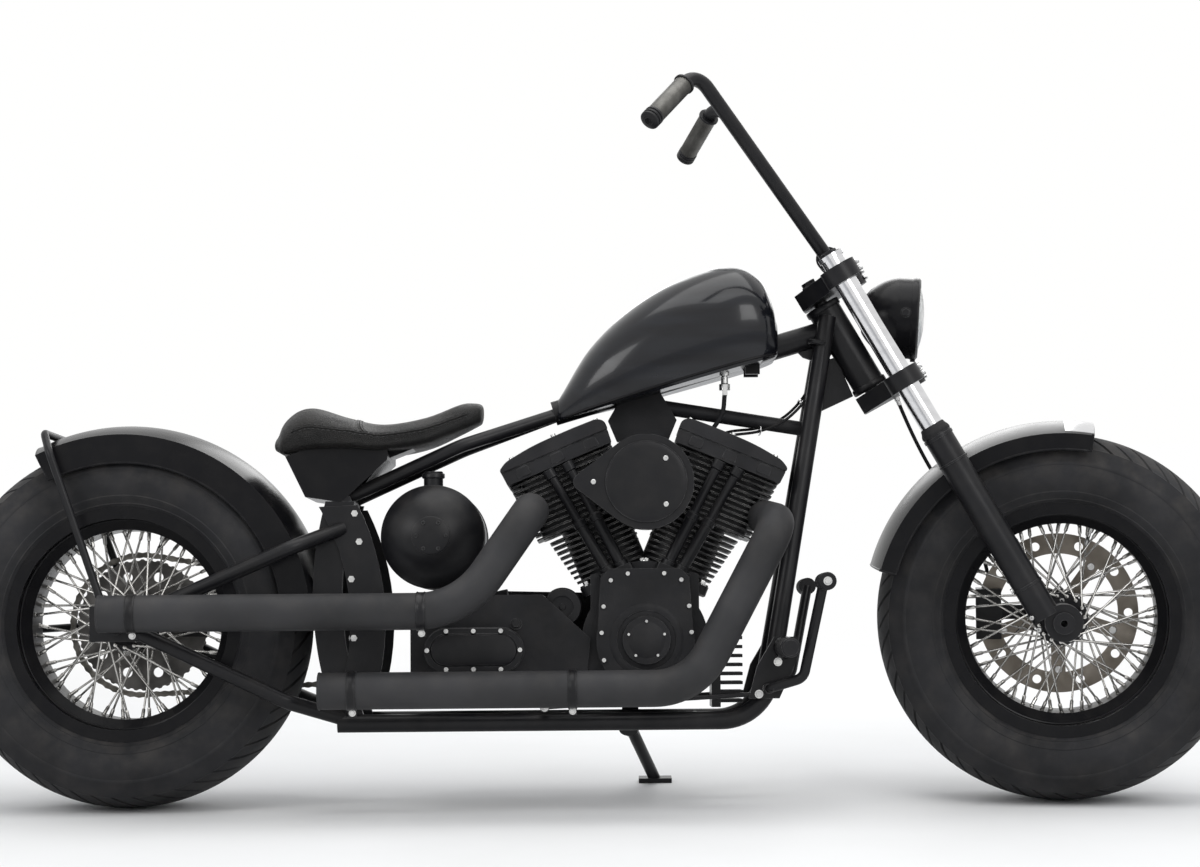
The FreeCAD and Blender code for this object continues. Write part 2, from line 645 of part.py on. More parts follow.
def fork_leg(sign, name):
    """One lower leg and the round foot that holds the axle."""
    side = sign + "fork_spacing"
    leg = fork_bar(name + "_leg", "fork_leg_radius", 0, side, "fork_leg_bottom", "fork_leg_top")
    foot = cross_bar(name + "_foot", "fork_foot_radius", "wheelbase / 2", "tyre_radius",
                     f"{side} - fork_foot_half_width", f"{side} + fork_foot_half_width")
    bore = cross_bar(name + "_bore", "axle_radius", "wheelbase / 2", "tyre_radius", f"{side} - 60",
                     f"{side} + 60")
    mount = cylinder(name + "_mount", "fender_mount_radius", fork_point(0, side, "fender_mount_up"),
                     fork_point(0, sign + "front_fender_half_width", "fender_mount_up"))
    return cut(name, joined(name + "_whole", [leg, foot, mount]), bore)


def hollow_axle(name, axle_x, half_length, collar_end):
    """A hollow axle with a collar either side of the hub and a round head at each end."""
    place = (axle_x, "tyre_radius")
    rounds = [cross_bar(name + "_bar", "axle_radius", *place, f"-({half_length})", half_length)]
    for number, sign in enumerate(("-", "")):
        rounds.append(cross_bar(f"{name}_collar_{number}", "axle_spacer_radius", *place,
                                f"{sign}(hub_half_length + 1)", f"{sign}({collar_end})"))
        rounds.append(cross_bar(f"{name}_head_{number}", "axle_head_radius", *place,
                                f"{sign}({half_length})", f"{sign}({half_length} + axle_head_width)"))
    bore = cross_bar(name + "_bore", "axle_bore_radius", *place, f"-({half_length}) - 40",
                     f"{half_length} + 40")
    return cut(name + "_hollow", joined(name + "_solid", rounds), bore)


def fender_outline(end):
    """A fender's section: an arched crown over flanks that hang beside the tyre."""
    half = f"{end}_fender_half_width"
    low = f"{end}_fender_radius - {end}_fender_flank"
    edge = f"{end}_fender_radius - fender_crown_drop"
    arch = f"(({half}) ^ 2 + fender_crown_drop ^ 2) / (2 * fender_crown_drop)"
    return [
        (f"-{half}", low),
        (f"-{half}", edge),
        (half, edge, f"-({arch})"),
        (half, low),
        (f"{half} - fender_wall", low),
        (f"{half} - fender_wall", f"{edge} - fender_wall"),
        (f"-({half} - fender_wall)", f"{edge} - fender_wall", arch),
        (f"-({half} - fender_wall)", low),
    ]


def make_fork():
    """Trees, tubes, legs, axle and fender of the fork."""
    make_trees()
    keep("fork_tubes", both_sides("fork_tube", fork_tube))
    keep("fork_legs", both_sides("fork_leg", fork_leg))
    keep("front_axle", hollow_axle("front_axle_bar", "wheelbase / 2", "fork_spacing + fork_foot_half_width",
                                   "fork_spacing - fork_foot_half_width"))
    fender = turned("front_fender_body", fender_outline("front"), FRONT_AXLE,
                    "front_fender_front_angle - front_fender_rear_angle", "front_fender_rear_angle")
    keep("front_fender", fender)


def make_lamp():
    """A bucket headlight on a post between the trees, with a domed lens."""
    nod = FreeCAD.Placement(point("lamp_place_x", 0, "lamp_place_z"), FreeCAD.Rotation(V(0, 1, 0),
                                                                                       size("lamp_nod")))
    place = nod.multiply(FreeCAD.Placement(V(0, 0, 0), FreeCAD.Rotation(V(0, 0, 1), -90)))
    shell = turned("headlight_bucket", [
        ("0", "0"),
        ("0", "lamp_radius"),
        ("-lamp_depth * 0.3", "lamp_radius"),
        ("-lamp_depth", "lamp_back_radius", "lamp_depth * 0.9"),
        ("-lamp_depth", "0"),
    ], V(0, 0, 0))
    shell.Placement = place
    keep("headlight_shell", shell)
    glass = "(lamp_radius - lamp_rim_width)"
    lens = turned("headlight_dome", [
        ("0", "0"),
        ("0", glass),
        ("lamp_lens_bulge", "0", f"-(({glass}) ^ 2 + lamp_lens_bulge ^ 2) / (2 * lamp_lens_bulge)"),
    ], V(0, 0, 0))
    lens.Placement = place
    keep("headlight_lens", lens)
    post = fork_bar("lamp_post", "lamp_bracket_radius", "lamp_bracket_forward", 0,
                    "bottom_tree_bottom + tree_thickness", "top_tree_bottom")
    arm = cylinder("lamp_arm", "lamp_bracket_radius", fork_point("lamp_bracket_forward", 0, "lamp_arm_up"),
                   point("lamp_place_x - lamp_depth / 2", 0, "lamp_place_z + 3"))
    bracket = cut("lamp_bracket", joined("lamp_bracket_whole", [post, arm]), shell)
    keep("bottom_tree", joined("bottom_tree_and_bracket", [PARTS["bottom_tree"], bracket]))


def make_handlebar():
    """A tall bar bent from one tube, two risers that clamp it and two knurled grips with end caps."""
    right = [point("grip_end_x", "-grip_end_half_width", "grip_end_z"),
             point("bar_top_x", "-bar_top_half_width", "bar_top_z"),
             fork_point("bar_base_forward", "-bar_base_half_width", "bar_base_height")]
    left = [V(place.x, -place.y, place.z) for place in reversed(right)]
    bar = tube("handlebar_tube", "bar_radius", right + left, [size("bar_bend_radius")] * 4)
    keep("handlebar", bar)

    def grip(sign, name):
        """A sleeve on the bar's end, closed by its cap."""
        top = point("bar_top_x", sign + "bar_top_half_width", "bar_top_z")
        end = point("grip_end_x", sign + "grip_end_half_width", "grip_end_z")
        along = (end - top).normalize()
        start = end - along * size("grip_length")
        sleeve = cylinder(name + "_sleeve", "grip_radius", start, end + along * size("grip_cap"))
        return cut(name, sleeve, cylinder(name + "_bore", "bar_radius", start - along, end))

    def riser(name):
        """A post on the top tree with a clamp round the bar, on the right."""
        post = fork_bar(name + "_post", "riser_radius", "bar_base_forward", "-riser_place",
                        "top_tree_bottom + tree_thickness", "bar_base_height")
        middle = fork_point("bar_base_forward", "-riser_place", "bar_base_height")
        reach = V(0, size("riser_radius + riser_clamp_lip"), 0)
        clamp = cylinder(name + "_clamp", "riser_clamp_radius", middle - reach, middle + reach)
        bore = cylinder(name + "_bore", "bar_radius", middle - reach * 2, middle + reach * 2)
        return cut(name, joined(name + "_whole", [post, clamp]), bore)

    keep("grips", both_sides("grip", grip))
    right_riser = riser("riser_right")
    keep("top_tree", joined("top_tree_and_risers", [PARTS["top_tree"], right_riser,
                                                    mirrored("riser_left", right_riser)]))


def make_front_brake():
    """The caliper over the disc's rear edge, on an arm from the left leg, and its hose."""
    middle = FRONT_AXLE + point("-front_caliper_place", "front_disc_place", 0)
    block = box("front_caliper_block", "caliper_depth", "caliper_width", "caliper_length",
                middle - point("caliper_depth / 2", "caliper_width / 2", "caliper_length / 2"))
    slot_half = "(disc_thickness / 2 + caliper_slot_gap)"
    slot = cross_bar("front_caliper_slot", "front_disc_radius + 4", "wheelbase / 2", "tyre_radius",
                     f"front_disc_place - {slot_half}", f"front_disc_place + {slot_half}")
    arm = box("front_caliper_arm", "caliper_arm_length", "caliper_arm_thickness", "caliper_arm_height",
              middle + point("0", "caliper_width / 2", "-caliper_arm_height / 2"))
    body = joined("front_caliper_whole", [cut("front_caliper_slotted", block, slot), arm])
    keep("front_brake_caliper", less_all("front_caliper", body, [PARTS["fork_legs"], PARTS["front_axle"]]))
    top = FORK_FRAME.inverse().multVec(middle + point("0", "6", "caliper_length / 2"))
    places = [V(-30, 132, size("bottom_tree_bottom")), V(-38, 138, 438), V(-44, 147, 362), V(-43, 150, 285),
            V(-47, 148, 220), V(top.x + 25, 130, top.z + 39), top]
    route = [FORK_FRAME.multVec(place) for place in places]
    hose = tube("front_hose", "front_hose_radius", route, cord_bends(route))
    keep("front_brake_hose", less_all("front_hose_fitted", hose, [PARTS["bottom_tree"],
                                                                  PARTS["front_brake_caliper"]]))


def cord_bends(route):
    """The bend radius at each inner place of a hose: as wide as the two runs beside it allow."""
    bends = []
    for before, corner, after in zip(route, route[1:], route[2:]):
        run = min((corner - before).Length, (after - corner).Length)
        turn = (corner - before).getAngle(after - corner)
        bends.append(0.45 * run / math.tan(turn / 2))
    return bends


make_fork()
make_lamp()
make_handlebar()
make_front_brake()


# ---------------------------------------------------------------- frame
def make_frame():
    """Steering neck, backbone, cradles, seat rails, uprights, cross tubes and the rear triangle."""
    neck = fork_bar("neck_tube", "neck_radius", "-stem_offset", 0, "neck_bottom", "neck_top")
    neck_bore = fork_bar("neck_bore", "stem_radius + stem_running_gap", "-stem_offset", 0,
                         "neck_bottom - 5",
                         "neck_top + 5")
    bored_neck = cut("neck_bored", neck, neck_bore)
    keep("steering_neck", bored_neck)
    solid_neck = fork_bar("neck_solid", "neck_radius", "-stem_offset", 0, "neck_bottom", "neck_top")

    backbone = cylinder("backbone_bar", "backbone_radius", point("backbone_front_x", 0, "backbone_front_z"),
                        point("backbone_rear_x", 0, "backbone_rear_z"))
    keep("backbone_tube", cut("backbone", backbone, solid_neck))

    def cradle(sign, name):
        """A downtube from the neck that bends into the lower rail."""
        wide = sign + "cradle_half_width"
        route = [point("downtube_top_x", sign + "downtube_top_half_width", "downtube_top_z"),
                 point("downtube_foot_x", wide, "rail_height"),
                 point("rail_rear_x", wide, "rail_height")]
        return tube(name, "frame_tube_radius", route, [size("cradle_bend")])

    for side, sign in (("right", "-"), ("left", "")):
        bar = cradle(sign, f"cradle_{side}_bar")
        keep(f"cradle_{side}", less_all(f"cradle_{side}_cut", bar, [solid_neck, backbone]))
    cradles = [PARTS["cradle_right"], PARTS["cradle_left"]]

    def seat_rail(sign, name):
        """A rail from the backbone's rear end down under the seat."""
        wide = sign + "seat_rail_half_width"
        route = [point("backbone_rear_x + 30", 0, "backbone_rear_z + 6"),
                 point("seat_rail_mid_x", wide, "seat_rail_mid_z"),
                 point("seat_rail_rear_x", wide, "seat_rail_rear_z")]
        return tube(name, "small_tube_radius", route, [size("seat_rail_bend")])

    rails = joined("seat_rail_pair", [seat_rail("-", "seat_rail_right"), seat_rail("", "seat_rail_left")])
    keep("seat_rails", cut("seat_rails_cut", rails, backbone))

    def upright(sign, name):
        """A flat upright from the seat rail's rear end to the lower rail."""
        post = plate(name + "_plate", [
            ("upright_top_x - upright_width", "upright_top_z"),
            ("upright_foot_x - upright_width", "rail_height", "upright_curve"),
            ("upright_foot_x", "rail_height"),
            ("upright_top_x", "upright_top_z", "-upright_curve"),
        ], f"{sign}upright_half_width + upright_thickness / 2", "upright_thickness")
        return less_all(name, post, cradles)

    keep("rear_uprights", both_sides("rear_upright", upright))
    uprights = PARTS["rear_uprights"]

    bars = []
    for name, x, z, half in (("rear_low", "rail_rear_x + 30", "rail_height", "cradle_half_width"),
                             ("middle_low", "middle_cross_x", "rail_height", "cradle_half_width"),
                             ("front_low", "front_cross_x", "rail_height", "cradle_half_width"),
                             ("rear_top", "seat_rail_rear_x + 2", "seat_rail_rear_z - 6",
                              "upright_half_width + 6")):
        bar = cross_bar(f"{name}_bar", "small_tube_radius", x, z, f"-({half})", half)
        bars.append(less_all(f"{name}_cross", bar, cradles + [uprights, PARTS["seat_rails"]]))
    keep("cross_tubes", group("cross_tube_set", bars))

    def stay(sign, name):
        """One side of the rear triangle: two tubes from the main frame to the axle plate."""
        wide = sign + "stay_half_width"
        inner = sign + "(upright_half_width + 5)"
        tail = "-wheelbase / 2 + axle_plate_length / 2 - 14"
        upper = tube(name + "_upper", "stay_radius", [
            point("stay_upper_x + 20", inner, "stay_upper_z + 8"),
            point("stay_upper_x - 64", wide, "stay_upper_z - 27"),
            point(tail, wide, "tyre_radius + 12")], [60])
        lower = tube(name + "_lower", "stay_radius", [
            point("stay_lower_x + 26", inner, "stay_lower_z"),
            point("stay_lower_x - 64", wide, "stay_lower_z + 30"),
            point(tail, wide, "tyre_radius - 12")], [60])
        ear = plate(name + "_ear", [
            ("-axle_plate_length / 2", "-axle_plate_height / 2"),
            ("axle_plate_length / 2", "-axle_plate_height / 2"),
            ("axle_plate_length / 2", "axle_plate_height / 2"),
            ("-axle_plate_length / 2", "axle_plate_height / 2"),
        ], f"{wide} + axle_plate_thickness / 2", "axle_plate_thickness", [("0", "0",
                                                                           "axle_radius")], REAR_AXLE)
        lower = less_all(name + "_lower_fitted", lower, [ear, upper] + cradles + [uprights])
        upper = less_all(name + "_upper_fitted", upper, [ear] + cradles + [uprights])
        return group(name, [ear, upper, lower])

    for side, sign in (("right", "-"), ("left", "")):
        keep(f"rear_stay_{side}", stay(sign, f"rear_stay_{side}_weld"))
    keep("rear_axle", less_all("rear_axle_fitted",
                               hollow_axle("rear_axle_bar", "-wheelbase / 2",
                                           "stay_half_width + axle_plate_thickness / 2",
                                           "stay_half_width - axle_plate_thickness / 2"),
                               [PARTS["rear_stay_right"], PARTS["rear_stay_left"]]))


def make_rear_fender():
    """The rear fender on the wheel's arc, the hoop that carries its tail and the lamp on its tail."""
    fender = turned("rear_fender_body", fender_outline("rear"), REAR_AXLE,
                    "rear_fender_front_angle - rear_fender_rear_angle", "rear_fender_rear_angle")
    inner = [PARTS[name] for name in ("rear_uprights", "cradle_right", "cradle_left", "cross_tubes",
                                      "seat_rails",
                                      "rear_stay_right", "rear_stay_left")]
    keep("rear_fender", less_all("rear_fender_cut", fender, inner))
    crest = V(0, 0, size("rear_fender_radius + hoop_radius + 1"))
    at_tail = FreeCAD.Rotation(V(0, 1, 0), size("hoop_angle"))
    wide = size("rear_fender_half_width + hoop_radius + 1")
    top = REAR_AXLE + at_tail.multVec(crest)
    low = REAR_AXLE + at_tail.multVec(crest * 0.9)
    foot = point("-wheelbase / 2 - 26", "stay_half_width - 6", "tyre_radius + 34")
    half = [foot, V(low.x, size("hoop_flank_place"), low.z), V(top.x, wide * 0.86, top.z)]
    route = half + [V(place.x, -place.y, place.z) for place in reversed(half)]
    hoop = tube("fender_hoop_tube", "hoop_radius", route, [30, 24, 24, 30])
    keep("fender_strut", less_all("fender_strut_cut", hoop, [PARTS["rear_fender"], PARTS["rear_stay_right"],
                                                              PARTS["rear_stay_left"]]))


def stand_frame():
    """The stand's pivot, and its directions: to the foot, folded, along the pin and inwards."""
    lean = FreeCAD.Rotation(V(1, 0, 0), -size("lean_angle"))
    up = lean.inverted().multVec(V(0, 0, 1))
    crown = size("(tread_half_width ^ 2 + tread_edge_drop ^ 2) / (2 * tread_edge_drop)")
    floor = crown * (up.z - 1)
    pivot = point("stand_pivot_x", "stand_pivot_y", "stand_pivot_z")
    foot = point("stand_foot_x", "stand_foot_y", 0)
    foot.z = (floor - foot.y * up.y) / up.z
    leg = foot + up * size("stand_pad_thickness / 2") - pivot
    folded = point(-1, "stand_fold_out", "stand_fold_up")
    pin = leg.cross(folded).normalize()
    inward = V(0, -1, 0) - pin * V(0, -1, 0).dot(pin)
    return pivot, foot, leg, pin, inward.normalize()


def make_side_stand():
    """The stand's lug on the left lower rail with its pin, and the leg that swings on the pin."""
    pivot, foot, leg, pin, inward = stand_frame()
    half_eye = pin * size("stand_eye_height / 2")
    half_gap = pin * size("stand_eye_height / 2 + stand_ear_gap")
    half_lug = pin * size("stand_eye_height / 2 + stand_ear_gap + stand_ear_thickness")
    lug_turn = FreeCAD.Rotation(inward, pin.cross(inward), pin, "XZY")
    pieces = [cylinder("stand_pin", "stand_pin_radius", pivot - half_lug, pivot + half_lug)]
    for number, (low, high) in enumerate(((-half_lug, -half_gap), (half_gap, half_lug))):
        pieces.append(cylinder(f"stand_ear_{number}", "stand_eye_radius", pivot + low, pivot + high))
        tongue = box(f"stand_tongue_{number}", "stand_lug_reach", "stand_lug_width", "stand_ear_thickness",
                     pivot)
        tongue.Placement = FreeCAD.Placement(pivot + low - pin.cross(inward) * size("stand_lug_width / 2"),
                                             lug_turn)
        pieces.append(tongue)
    web = box("stand_web", "stand_lug_reach - stand_web_start", "stand_lug_width",
              "stand_eye_height + 2 * stand_ear_gap", pivot)
    web_side = pin.cross(inward) * size("stand_lug_width / 2")
    web_corner = pivot + inward * size("stand_web_start") - half_gap - web_side
    web.Placement = FreeCAD.Placement(web_corner, lug_turn)
    keep("stand_bracket", cut("stand_lug", joined("stand_lug_whole", pieces + [web]), PARTS["cradle_left"]))

    away = FreeCAD.Vector(leg).normalize()
    eye = cylinder("stand_eye", "stand_eye_radius", pivot - half_eye, pivot + half_eye)
    neck = box("stand_neck", "stand_neck_length", "stand_neck_width", "stand_eye_height", pivot)
    neck.Placement = FreeCAD.Placement(pivot - half_eye - pin.cross(away) * size("stand_neck_width / 2"),
                                       FreeCAD.Rotation(away, pin.cross(away), pin, "XZY"))
    bar = cylinder("stand_bar", "stand_leg_radius", pivot + away * size("stand_neck_length - 4"),
                   pivot + leg)
    pad = box("stand_pad", "stand_pad_length", "stand_pad_width", "stand_pad_thickness", foot)
    level = FreeCAD.Rotation(V(1, 0, 0), size("lean_angle"))
    pad.Placement = FreeCAD.Placement(foot - level.multVec(point("stand_pad_length / 2",
                                                                 "stand_pad_width / 2", 0)),
                                      level)
    bore = cylinder("stand_bore", "stand_pin_radius + stand_pin_gap", pivot - half_eye * 2,
                    pivot + half_eye * 2)
    solid_leg = joined("stand_leg_whole", [eye, neck, bar, pad])
    below = box("stand_below", "stand_pad_length * 2", "stand_pad_width * 3", "stand_pad_thickness * 3",
                foot)
    corner = point("stand_pad_length", "stand_pad_width * 1.5", "stand_pad_thickness * 3")
    below.Placement = FreeCAD.Placement(foot - level.multVec(corner), level)
    keep("side_stand", less_all("stand_leg", solid_leg, [bore, below]))


make_frame()
make_rear_fender()
make_side_stand()


# ---------------------------------------------------------------- engine, gearbox and drive
V_TILT = size("vee_angle / 2")


def bank_frame(sign):
    """A cylinder bank's frame: its Z runs up the bore from the crank, its X points out of the vee."""
    turn = FreeCAD.Rotation(V(0, 1, 0), sign * V_TILT)
    if sign < 0:
        turn = turn.multiply(FreeCAD.Rotation(V(0, 0, 1), 180))
    return FreeCAD.Placement(point("crank_x", 0, "crank_z"), turn)


def bank_block(name, frame, x_from, x_to, half_width, low, high):
    """A block in a bank's frame, the same distance to either side of the middle plane."""
    block = box(name, f"({x_to}) - ({x_from})", f"2 * ({half_width})", f"({high}) - ({low})", V(0, 0, 0))
    corner = point(x_from, f"-({half_width})", low)
    block.Placement = frame.multiply(FreeCAD.Placement(corner, FreeCAD.Rotation()))
    return block


def make_cylinders():
    """Two finned barrels with their heads, and a rocker cover on each head."""
    banks = []
    covers = []
    tubes = []
    gap = size("vee_gap / 2")
    for name, sign in (("rear", -1), ("front", 1)):
        frame = bank_frame(sign)
        barrel = cylinder(f"{name}_barrel", "barrel_radius", frame.multVec(point(0, 0, "barrel_low")),
                          frame.multVec(point(0, 0, "head_low")))
        head = bank_block(f"{name}_head", frame, "-head_inner", "head_outer", "head_half_width", "head_low",
                          "cover_low")
        other = box(f"{name}_vee_plane", "engine_reach", "engine_reach", "engine_reach", V(0, 0, 0))
        half = size("engine_reach / 2")
        edge = size("crank_x") + (gap - 2 * half if sign > 0 else -gap)
        other.Placement.Base = V(edge, -half, size("crank_z"))
        bank = cut(f"{name}_bank", joined(f"{name}_bank_whole", [barrel, head]), other)
        banks.append(bank)
        cover = bank_block(f"{name}_cover", frame, "-cover_inner", "cover_outer", "cover_half_width",
                           "cover_low",
                           "cover_high")
        bevel = doc.addObject("Part::Chamfer", f"{name}_cover_bevelled")
        bevel.Base = cover
        doc.recompute()
        far = frame.inverse()
        ends = []
        for number, edge_shape in enumerate(cover.Shape.Edges, start=1):
            middle = far.multVec(edge_shape.CenterOfMass)
            if middle.z > size("cover_high") - 1:
                ends.append((number, size("cover_bevel"), size("cover_bevel")))
        bevel.Edges = ends
        covers.append(bevel)
        for x_foot, x_top in (("pushrod_foot_near", "pushrod_top_near"), ("pushrod_foot_far",
                                                                          "pushrod_top_far")):
            foot = frame.multVec(point(x_foot, "-pushrod_place", "pushrod_low"))
            top = frame.multVec(point(x_top, "-pushrod_place", "cover_low"))
            tubes.append(cylinder(f"{name}_{x_foot}", "pushrod_radius", foot, top))
    keep("cylinders", group("cylinder_banks", banks))
    keep("rocker_covers", group("cover_pair", covers))
    keep("pushrod_tubes", group("pushrod_set", tubes))


def make_crankcase():
    """The crankcase, a plain block with a round belly, and the cam cover with its cap on the right."""
    belly = cross_bar("case_belly", "case_radius", "crank_x", "crank_z", "-case_half_width",
                      "case_half_width")
    deck = plate("case_deck", [
        ("crank_x - deck_half", "crank_z + 10"),
        ("crank_x + deck_half", "crank_z + 10"),
        ("crank_x + deck_half", "deck_height - 24"),
        ("crank_x + 12", "deck_height"),
        ("crank_x - 12", "deck_height"),
        ("crank_x - deck_half", "deck_height - 24"),
    ], "case_half_width", "2 * case_half_width")
    keep("crankcase", cut("case_fitted", joined("case_whole", [belly, deck]), PARTS["cylinders"]))
    face = "-case_half_width"
    round_part = cross_bar("cam_round", "cam_radius", "crank_x", "crank_z", face,
                           "-(case_half_width + cam_depth)")
    top_part = plate("cam_top", [
        ("crank_x - cam_radius * 0.98", "crank_z + 14"),
        ("crank_x + cam_radius * 0.98", "crank_z + 14"),
        ("crank_x + cam_top_half", "cam_top_height - 16"),
        ("crank_x + cam_top_half - 16", "cam_top_height"),
        ("crank_x - cam_top_half + 16", "cam_top_height"),
        ("crank_x - cam_top_half", "cam_top_height - 16"),
    ], face, "cam_depth")
    cap = cross_bar("cam_cap", "cam_cap_radius", "crank_x + 2", "crank_z + 2",
                    "-(case_half_width + cam_depth)",
                    "-(case_half_width + cam_depth + cam_cap_depth)")
    keep("cam_cover", less_all("cam_fitted", joined("cam_whole", [round_part, top_part, cap]),
                               [PARTS["cylinders"]]))
    fitted = less_all("pushrods_fitted", PARTS["pushrod_tubes"],
                      [PARTS["cam_cover"], PARTS["crankcase"], PARTS["cylinders"], PARTS["rocker_covers"]])
    keep("pushrod_tubes", fitted)
    mount = plate("engine_mount_plate", [
        ("crank_x - 62", "crank_z + 398"),
        ("crank_x - 46", "crank_z + 360"),
        ("crank_x + 46", "crank_z + 360"),
        ("crank_x + 62", "crank_z + 398"),
        ("crank_x + 34", "crank_z + 446"),
        ("crank_x - 34", "crank_z + 446"),
    ], "mount_half_width", "2 * mount_half_width")
    brace = cylinder("mount_brace", "brace_radius", point("brace_rear_x", 0, "brace_rear_z"),
                     point("brace_front_x", 0, "brace_front_z"))
    lug = cross_bar("mount_brace_lug", "small_tube_radius", "brace_front_x", "brace_front_z",
                    "-cradle_half_width / 2", "cradle_half_width / 2")
    others = [PARTS[name] for name in ("rocker_covers", "cylinders", "backbone_tube", "cradle_right",
                                       "cradle_left")]
    keep("engine_mount", less_all("engine_mount_fitted", joined("engine_mount_whole", [mount, brace, lug]),
                                  others))


def make_intake():
    """The manifold and carburettor in the vee, and the teardrop air cleaner on its right."""
    manifold = cross_bar("manifold", "manifold_radius", "crank_x + 3", "intake_height", 0, "-pushrod_place")
    throat = box("carburettor_block", "2 * carburettor_half", "cleaner_back - pushrod_place",
                 "2 * carburettor_half",
                 point("crank_x + 3 - carburettor_half", "-cleaner_back",
                       "intake_height - carburettor_half"))
    keep("carburettor", less_all("carburettor_fitted", joined("carburettor_whole", [manifold, throat]),
                                 [PARTS["cylinders"], PARTS["rocker_covers"]]))
    reach = size("cleaner_lobe_reach")
    lean = math.degrees(math.acos((size("cleaner_radius") - size("cleaner_lobe_radius")) / reach))
    big = "cleaner_radius"
    small = "cleaner_lobe_radius"
    centre = point("crank_x + 3", 0, "intake_height")

    def on_round(radius, angle, shift):
        """A place on one of the two rounds of the cover, as formulas."""
        return (f"{radius} * cos({angle}) - ({shift})", f"{radius} * sin({angle})")

    outline = [
        on_round(big, 0, 0) + (big,),
        on_round(big, 180 - lean, 0) + (big,),
        on_round(small, 180 - lean, "cleaner_lobe_reach"),
        on_round(small, 180 + lean, "cleaner_lobe_reach") + (small,),
        on_round(big, 180 + lean, 0),
    ]
    shell = plate("cleaner_shell", outline, "-cleaner_back", "cleaner_depth", (), centre)
    disc = cross_bar("cleaner_disc", "cleaner_disc_radius", "crank_x + 3", "intake_height",
                     "-(cleaner_back + cleaner_depth)", "-(cleaner_back + cleaner_depth + cleaner_disc_rise)")
    keep("air_cleaner", joined("cleaner_whole", [shell, disc]))


def pipe(name, route, bends):
    """An exhaust pipe, open at its rear end."""
    solid = tube(name + "_solid", "pipe_radius", route, bends)
    mouth = route[-1]
    bore = cylinder(name + "_mouth", "pipe_radius - pipe_wall", mouth + point("pipe_mouth_depth", 0, 0),
                    mouth - point("10", 0, 0))
    return less_all(name, solid, [bore, PARTS["cylinders"], PARTS["pushrod_tubes"], PARTS["crankcase"]])


def make_exhausts():
    """One pipe a cylinder: out of the head's outer face, then back along the right side."""
    far = "-pipe_place"
    front = bank_frame(1).multVec(point("port_out", "-head_half_width * 0.55", "port_up"))
    rear = bank_frame(-1).multVec(point("port_out", "head_half_width * 0.55", "port_up"))
    lower = [front, V(front.x + 20, size(far) + 4, front.z - 16),
             point("lower_run_x", far, "lower_pipe_height"), point("lower_pipe_end", far,
                                                                   "lower_pipe_height")]
    keep("front_exhaust_pipe", pipe("lower_pipe", lower, [size("port_bend"), size("lower_pipe_bend")]))
    upper = [rear, V(rear.x + 18, size(far) + 4, rear.z + 12),
             point("upper_run_x", far, "upper_pipe_height"), point("upper_pipe_end", far,
                                                                   "upper_pipe_height")]
    keep("rear_exhaust_pipe", pipe("upper_pipe", upper, [size("port_bend"), size("upper_pipe_bend")]))


def make_gearbox():
    """Gearbox with its oval side cover, starter and output sprocket, and the primary drive on the left."""
    case = plate("gearbox_block", [
        ("output_x - 112", "output_z - 76"),
        ("output_x + 196", "output_z - 96"),
        ("output_x + 206", "output_z + 6"),
        ("output_x + 122", "output_z + 84"),
        ("output_x - 6", "output_z + 84"),
        ("output_x - 112", "output_z + 44"),
    ], "gearbox_half_width", "2 * gearbox_half_width")
    shaft = cross_bar("output_shaft", "output_radius", "output_x", "output_z", "gearbox_half_width - 4",
                      "primary_inner_place")
    half = "gearbox_cover_half"
    radius = "gearbox_cover_radius"
    oval = plate("gearbox_oval", [
        (f"-{half}", radius),
        (f"-({half} + {radius})", "0", radius),
        (f"-{half}", f"-{radius}", radius),
        (half, f"-{radius}"),
        (f"{half} + {radius}", "0", radius),
        (half, radius, radius),
    ], "-gearbox_half_width", "gearbox_cover_depth", (), point("gearbox_cover_x", 0, "gearbox_cover_z"))
    starter = cross_bar("starter_body", "starter_radius", "starter_x", "starter_z", "-78", "70")
    wheel = cross_bar("drive_sprocket", "drive_sprocket_radius - chain_half_height", "output_x", "output_z",
                      "sprocket_place - sprocket_thickness / 2", "sprocket_place + sprocket_thickness / 2")
    whole = joined("gearbox_whole", [case, shaft, oval, starter, wheel])
    keep("gearbox", less_all("gearbox_fitted", whole, [PARTS["crankcase"], PARTS["cylinders"]]))
    front = cross_bar("primary_front", "primary_front_radius", "crank_x", "crank_z", "primary_inner_place",
                      "primary_inner_place + primary_depth")
    rear = cross_bar("primary_rear", "primary_rear_radius", "output_x", "output_z", "primary_inner_place",
                     "primary_inner_place + primary_depth")
    middle = plate("primary_middle", [
        ("crank_x", "crank_z - primary_front_radius"),
        ("crank_x", "crank_z + primary_front_radius"),
        ("output_x", "output_z + primary_rear_radius"),
        ("output_x", "output_z - primary_rear_radius"),
    ], "primary_inner_place + primary_depth", "primary_depth")
    boss = cross_bar("primary_boss", "primary_boss_radius", "crank_x", "crank_z", "case_half_width",
                     "primary_inner_place")
    keep("primary_cover", less_all("primary_fitted", joined("primary_whole", [front, rear, middle, boss]),
                                   [PARTS["crankcase"], PARTS["gearbox"]]))


def loop_outline(rear_radius, front_radius):
    """The outline round two rounds: the rear axle's and the output shaft's."""
    rear = V(size("-wheelbase / 2"), size("tyre_radius"), 0)
    front = V(size("output_x"), size("output_z"), 0)
    along = math.degrees(math.atan2(front.y - rear.y, front.x - rear.x))
    spread = math.degrees(math.acos((rear_radius - front_radius) / (front - rear).Length))

    def on_round(centre, radius, angle):
        """A place on a round."""
        turn = math.radians(angle)
        return (centre.x + radius * math.cos(turn), centre.y + radius * math.sin(turn))

    return [
        on_round(rear, rear_radius, along - spread) + (rear_radius,),
        on_round(front, front_radius, along - spread),
        on_round(front, front_radius, along + spread) + (front_radius,),
        on_round(rear, rear_radius, along + spread),
        on_round(rear, rear_radius, along + 180) + (rear_radius,),
    ]


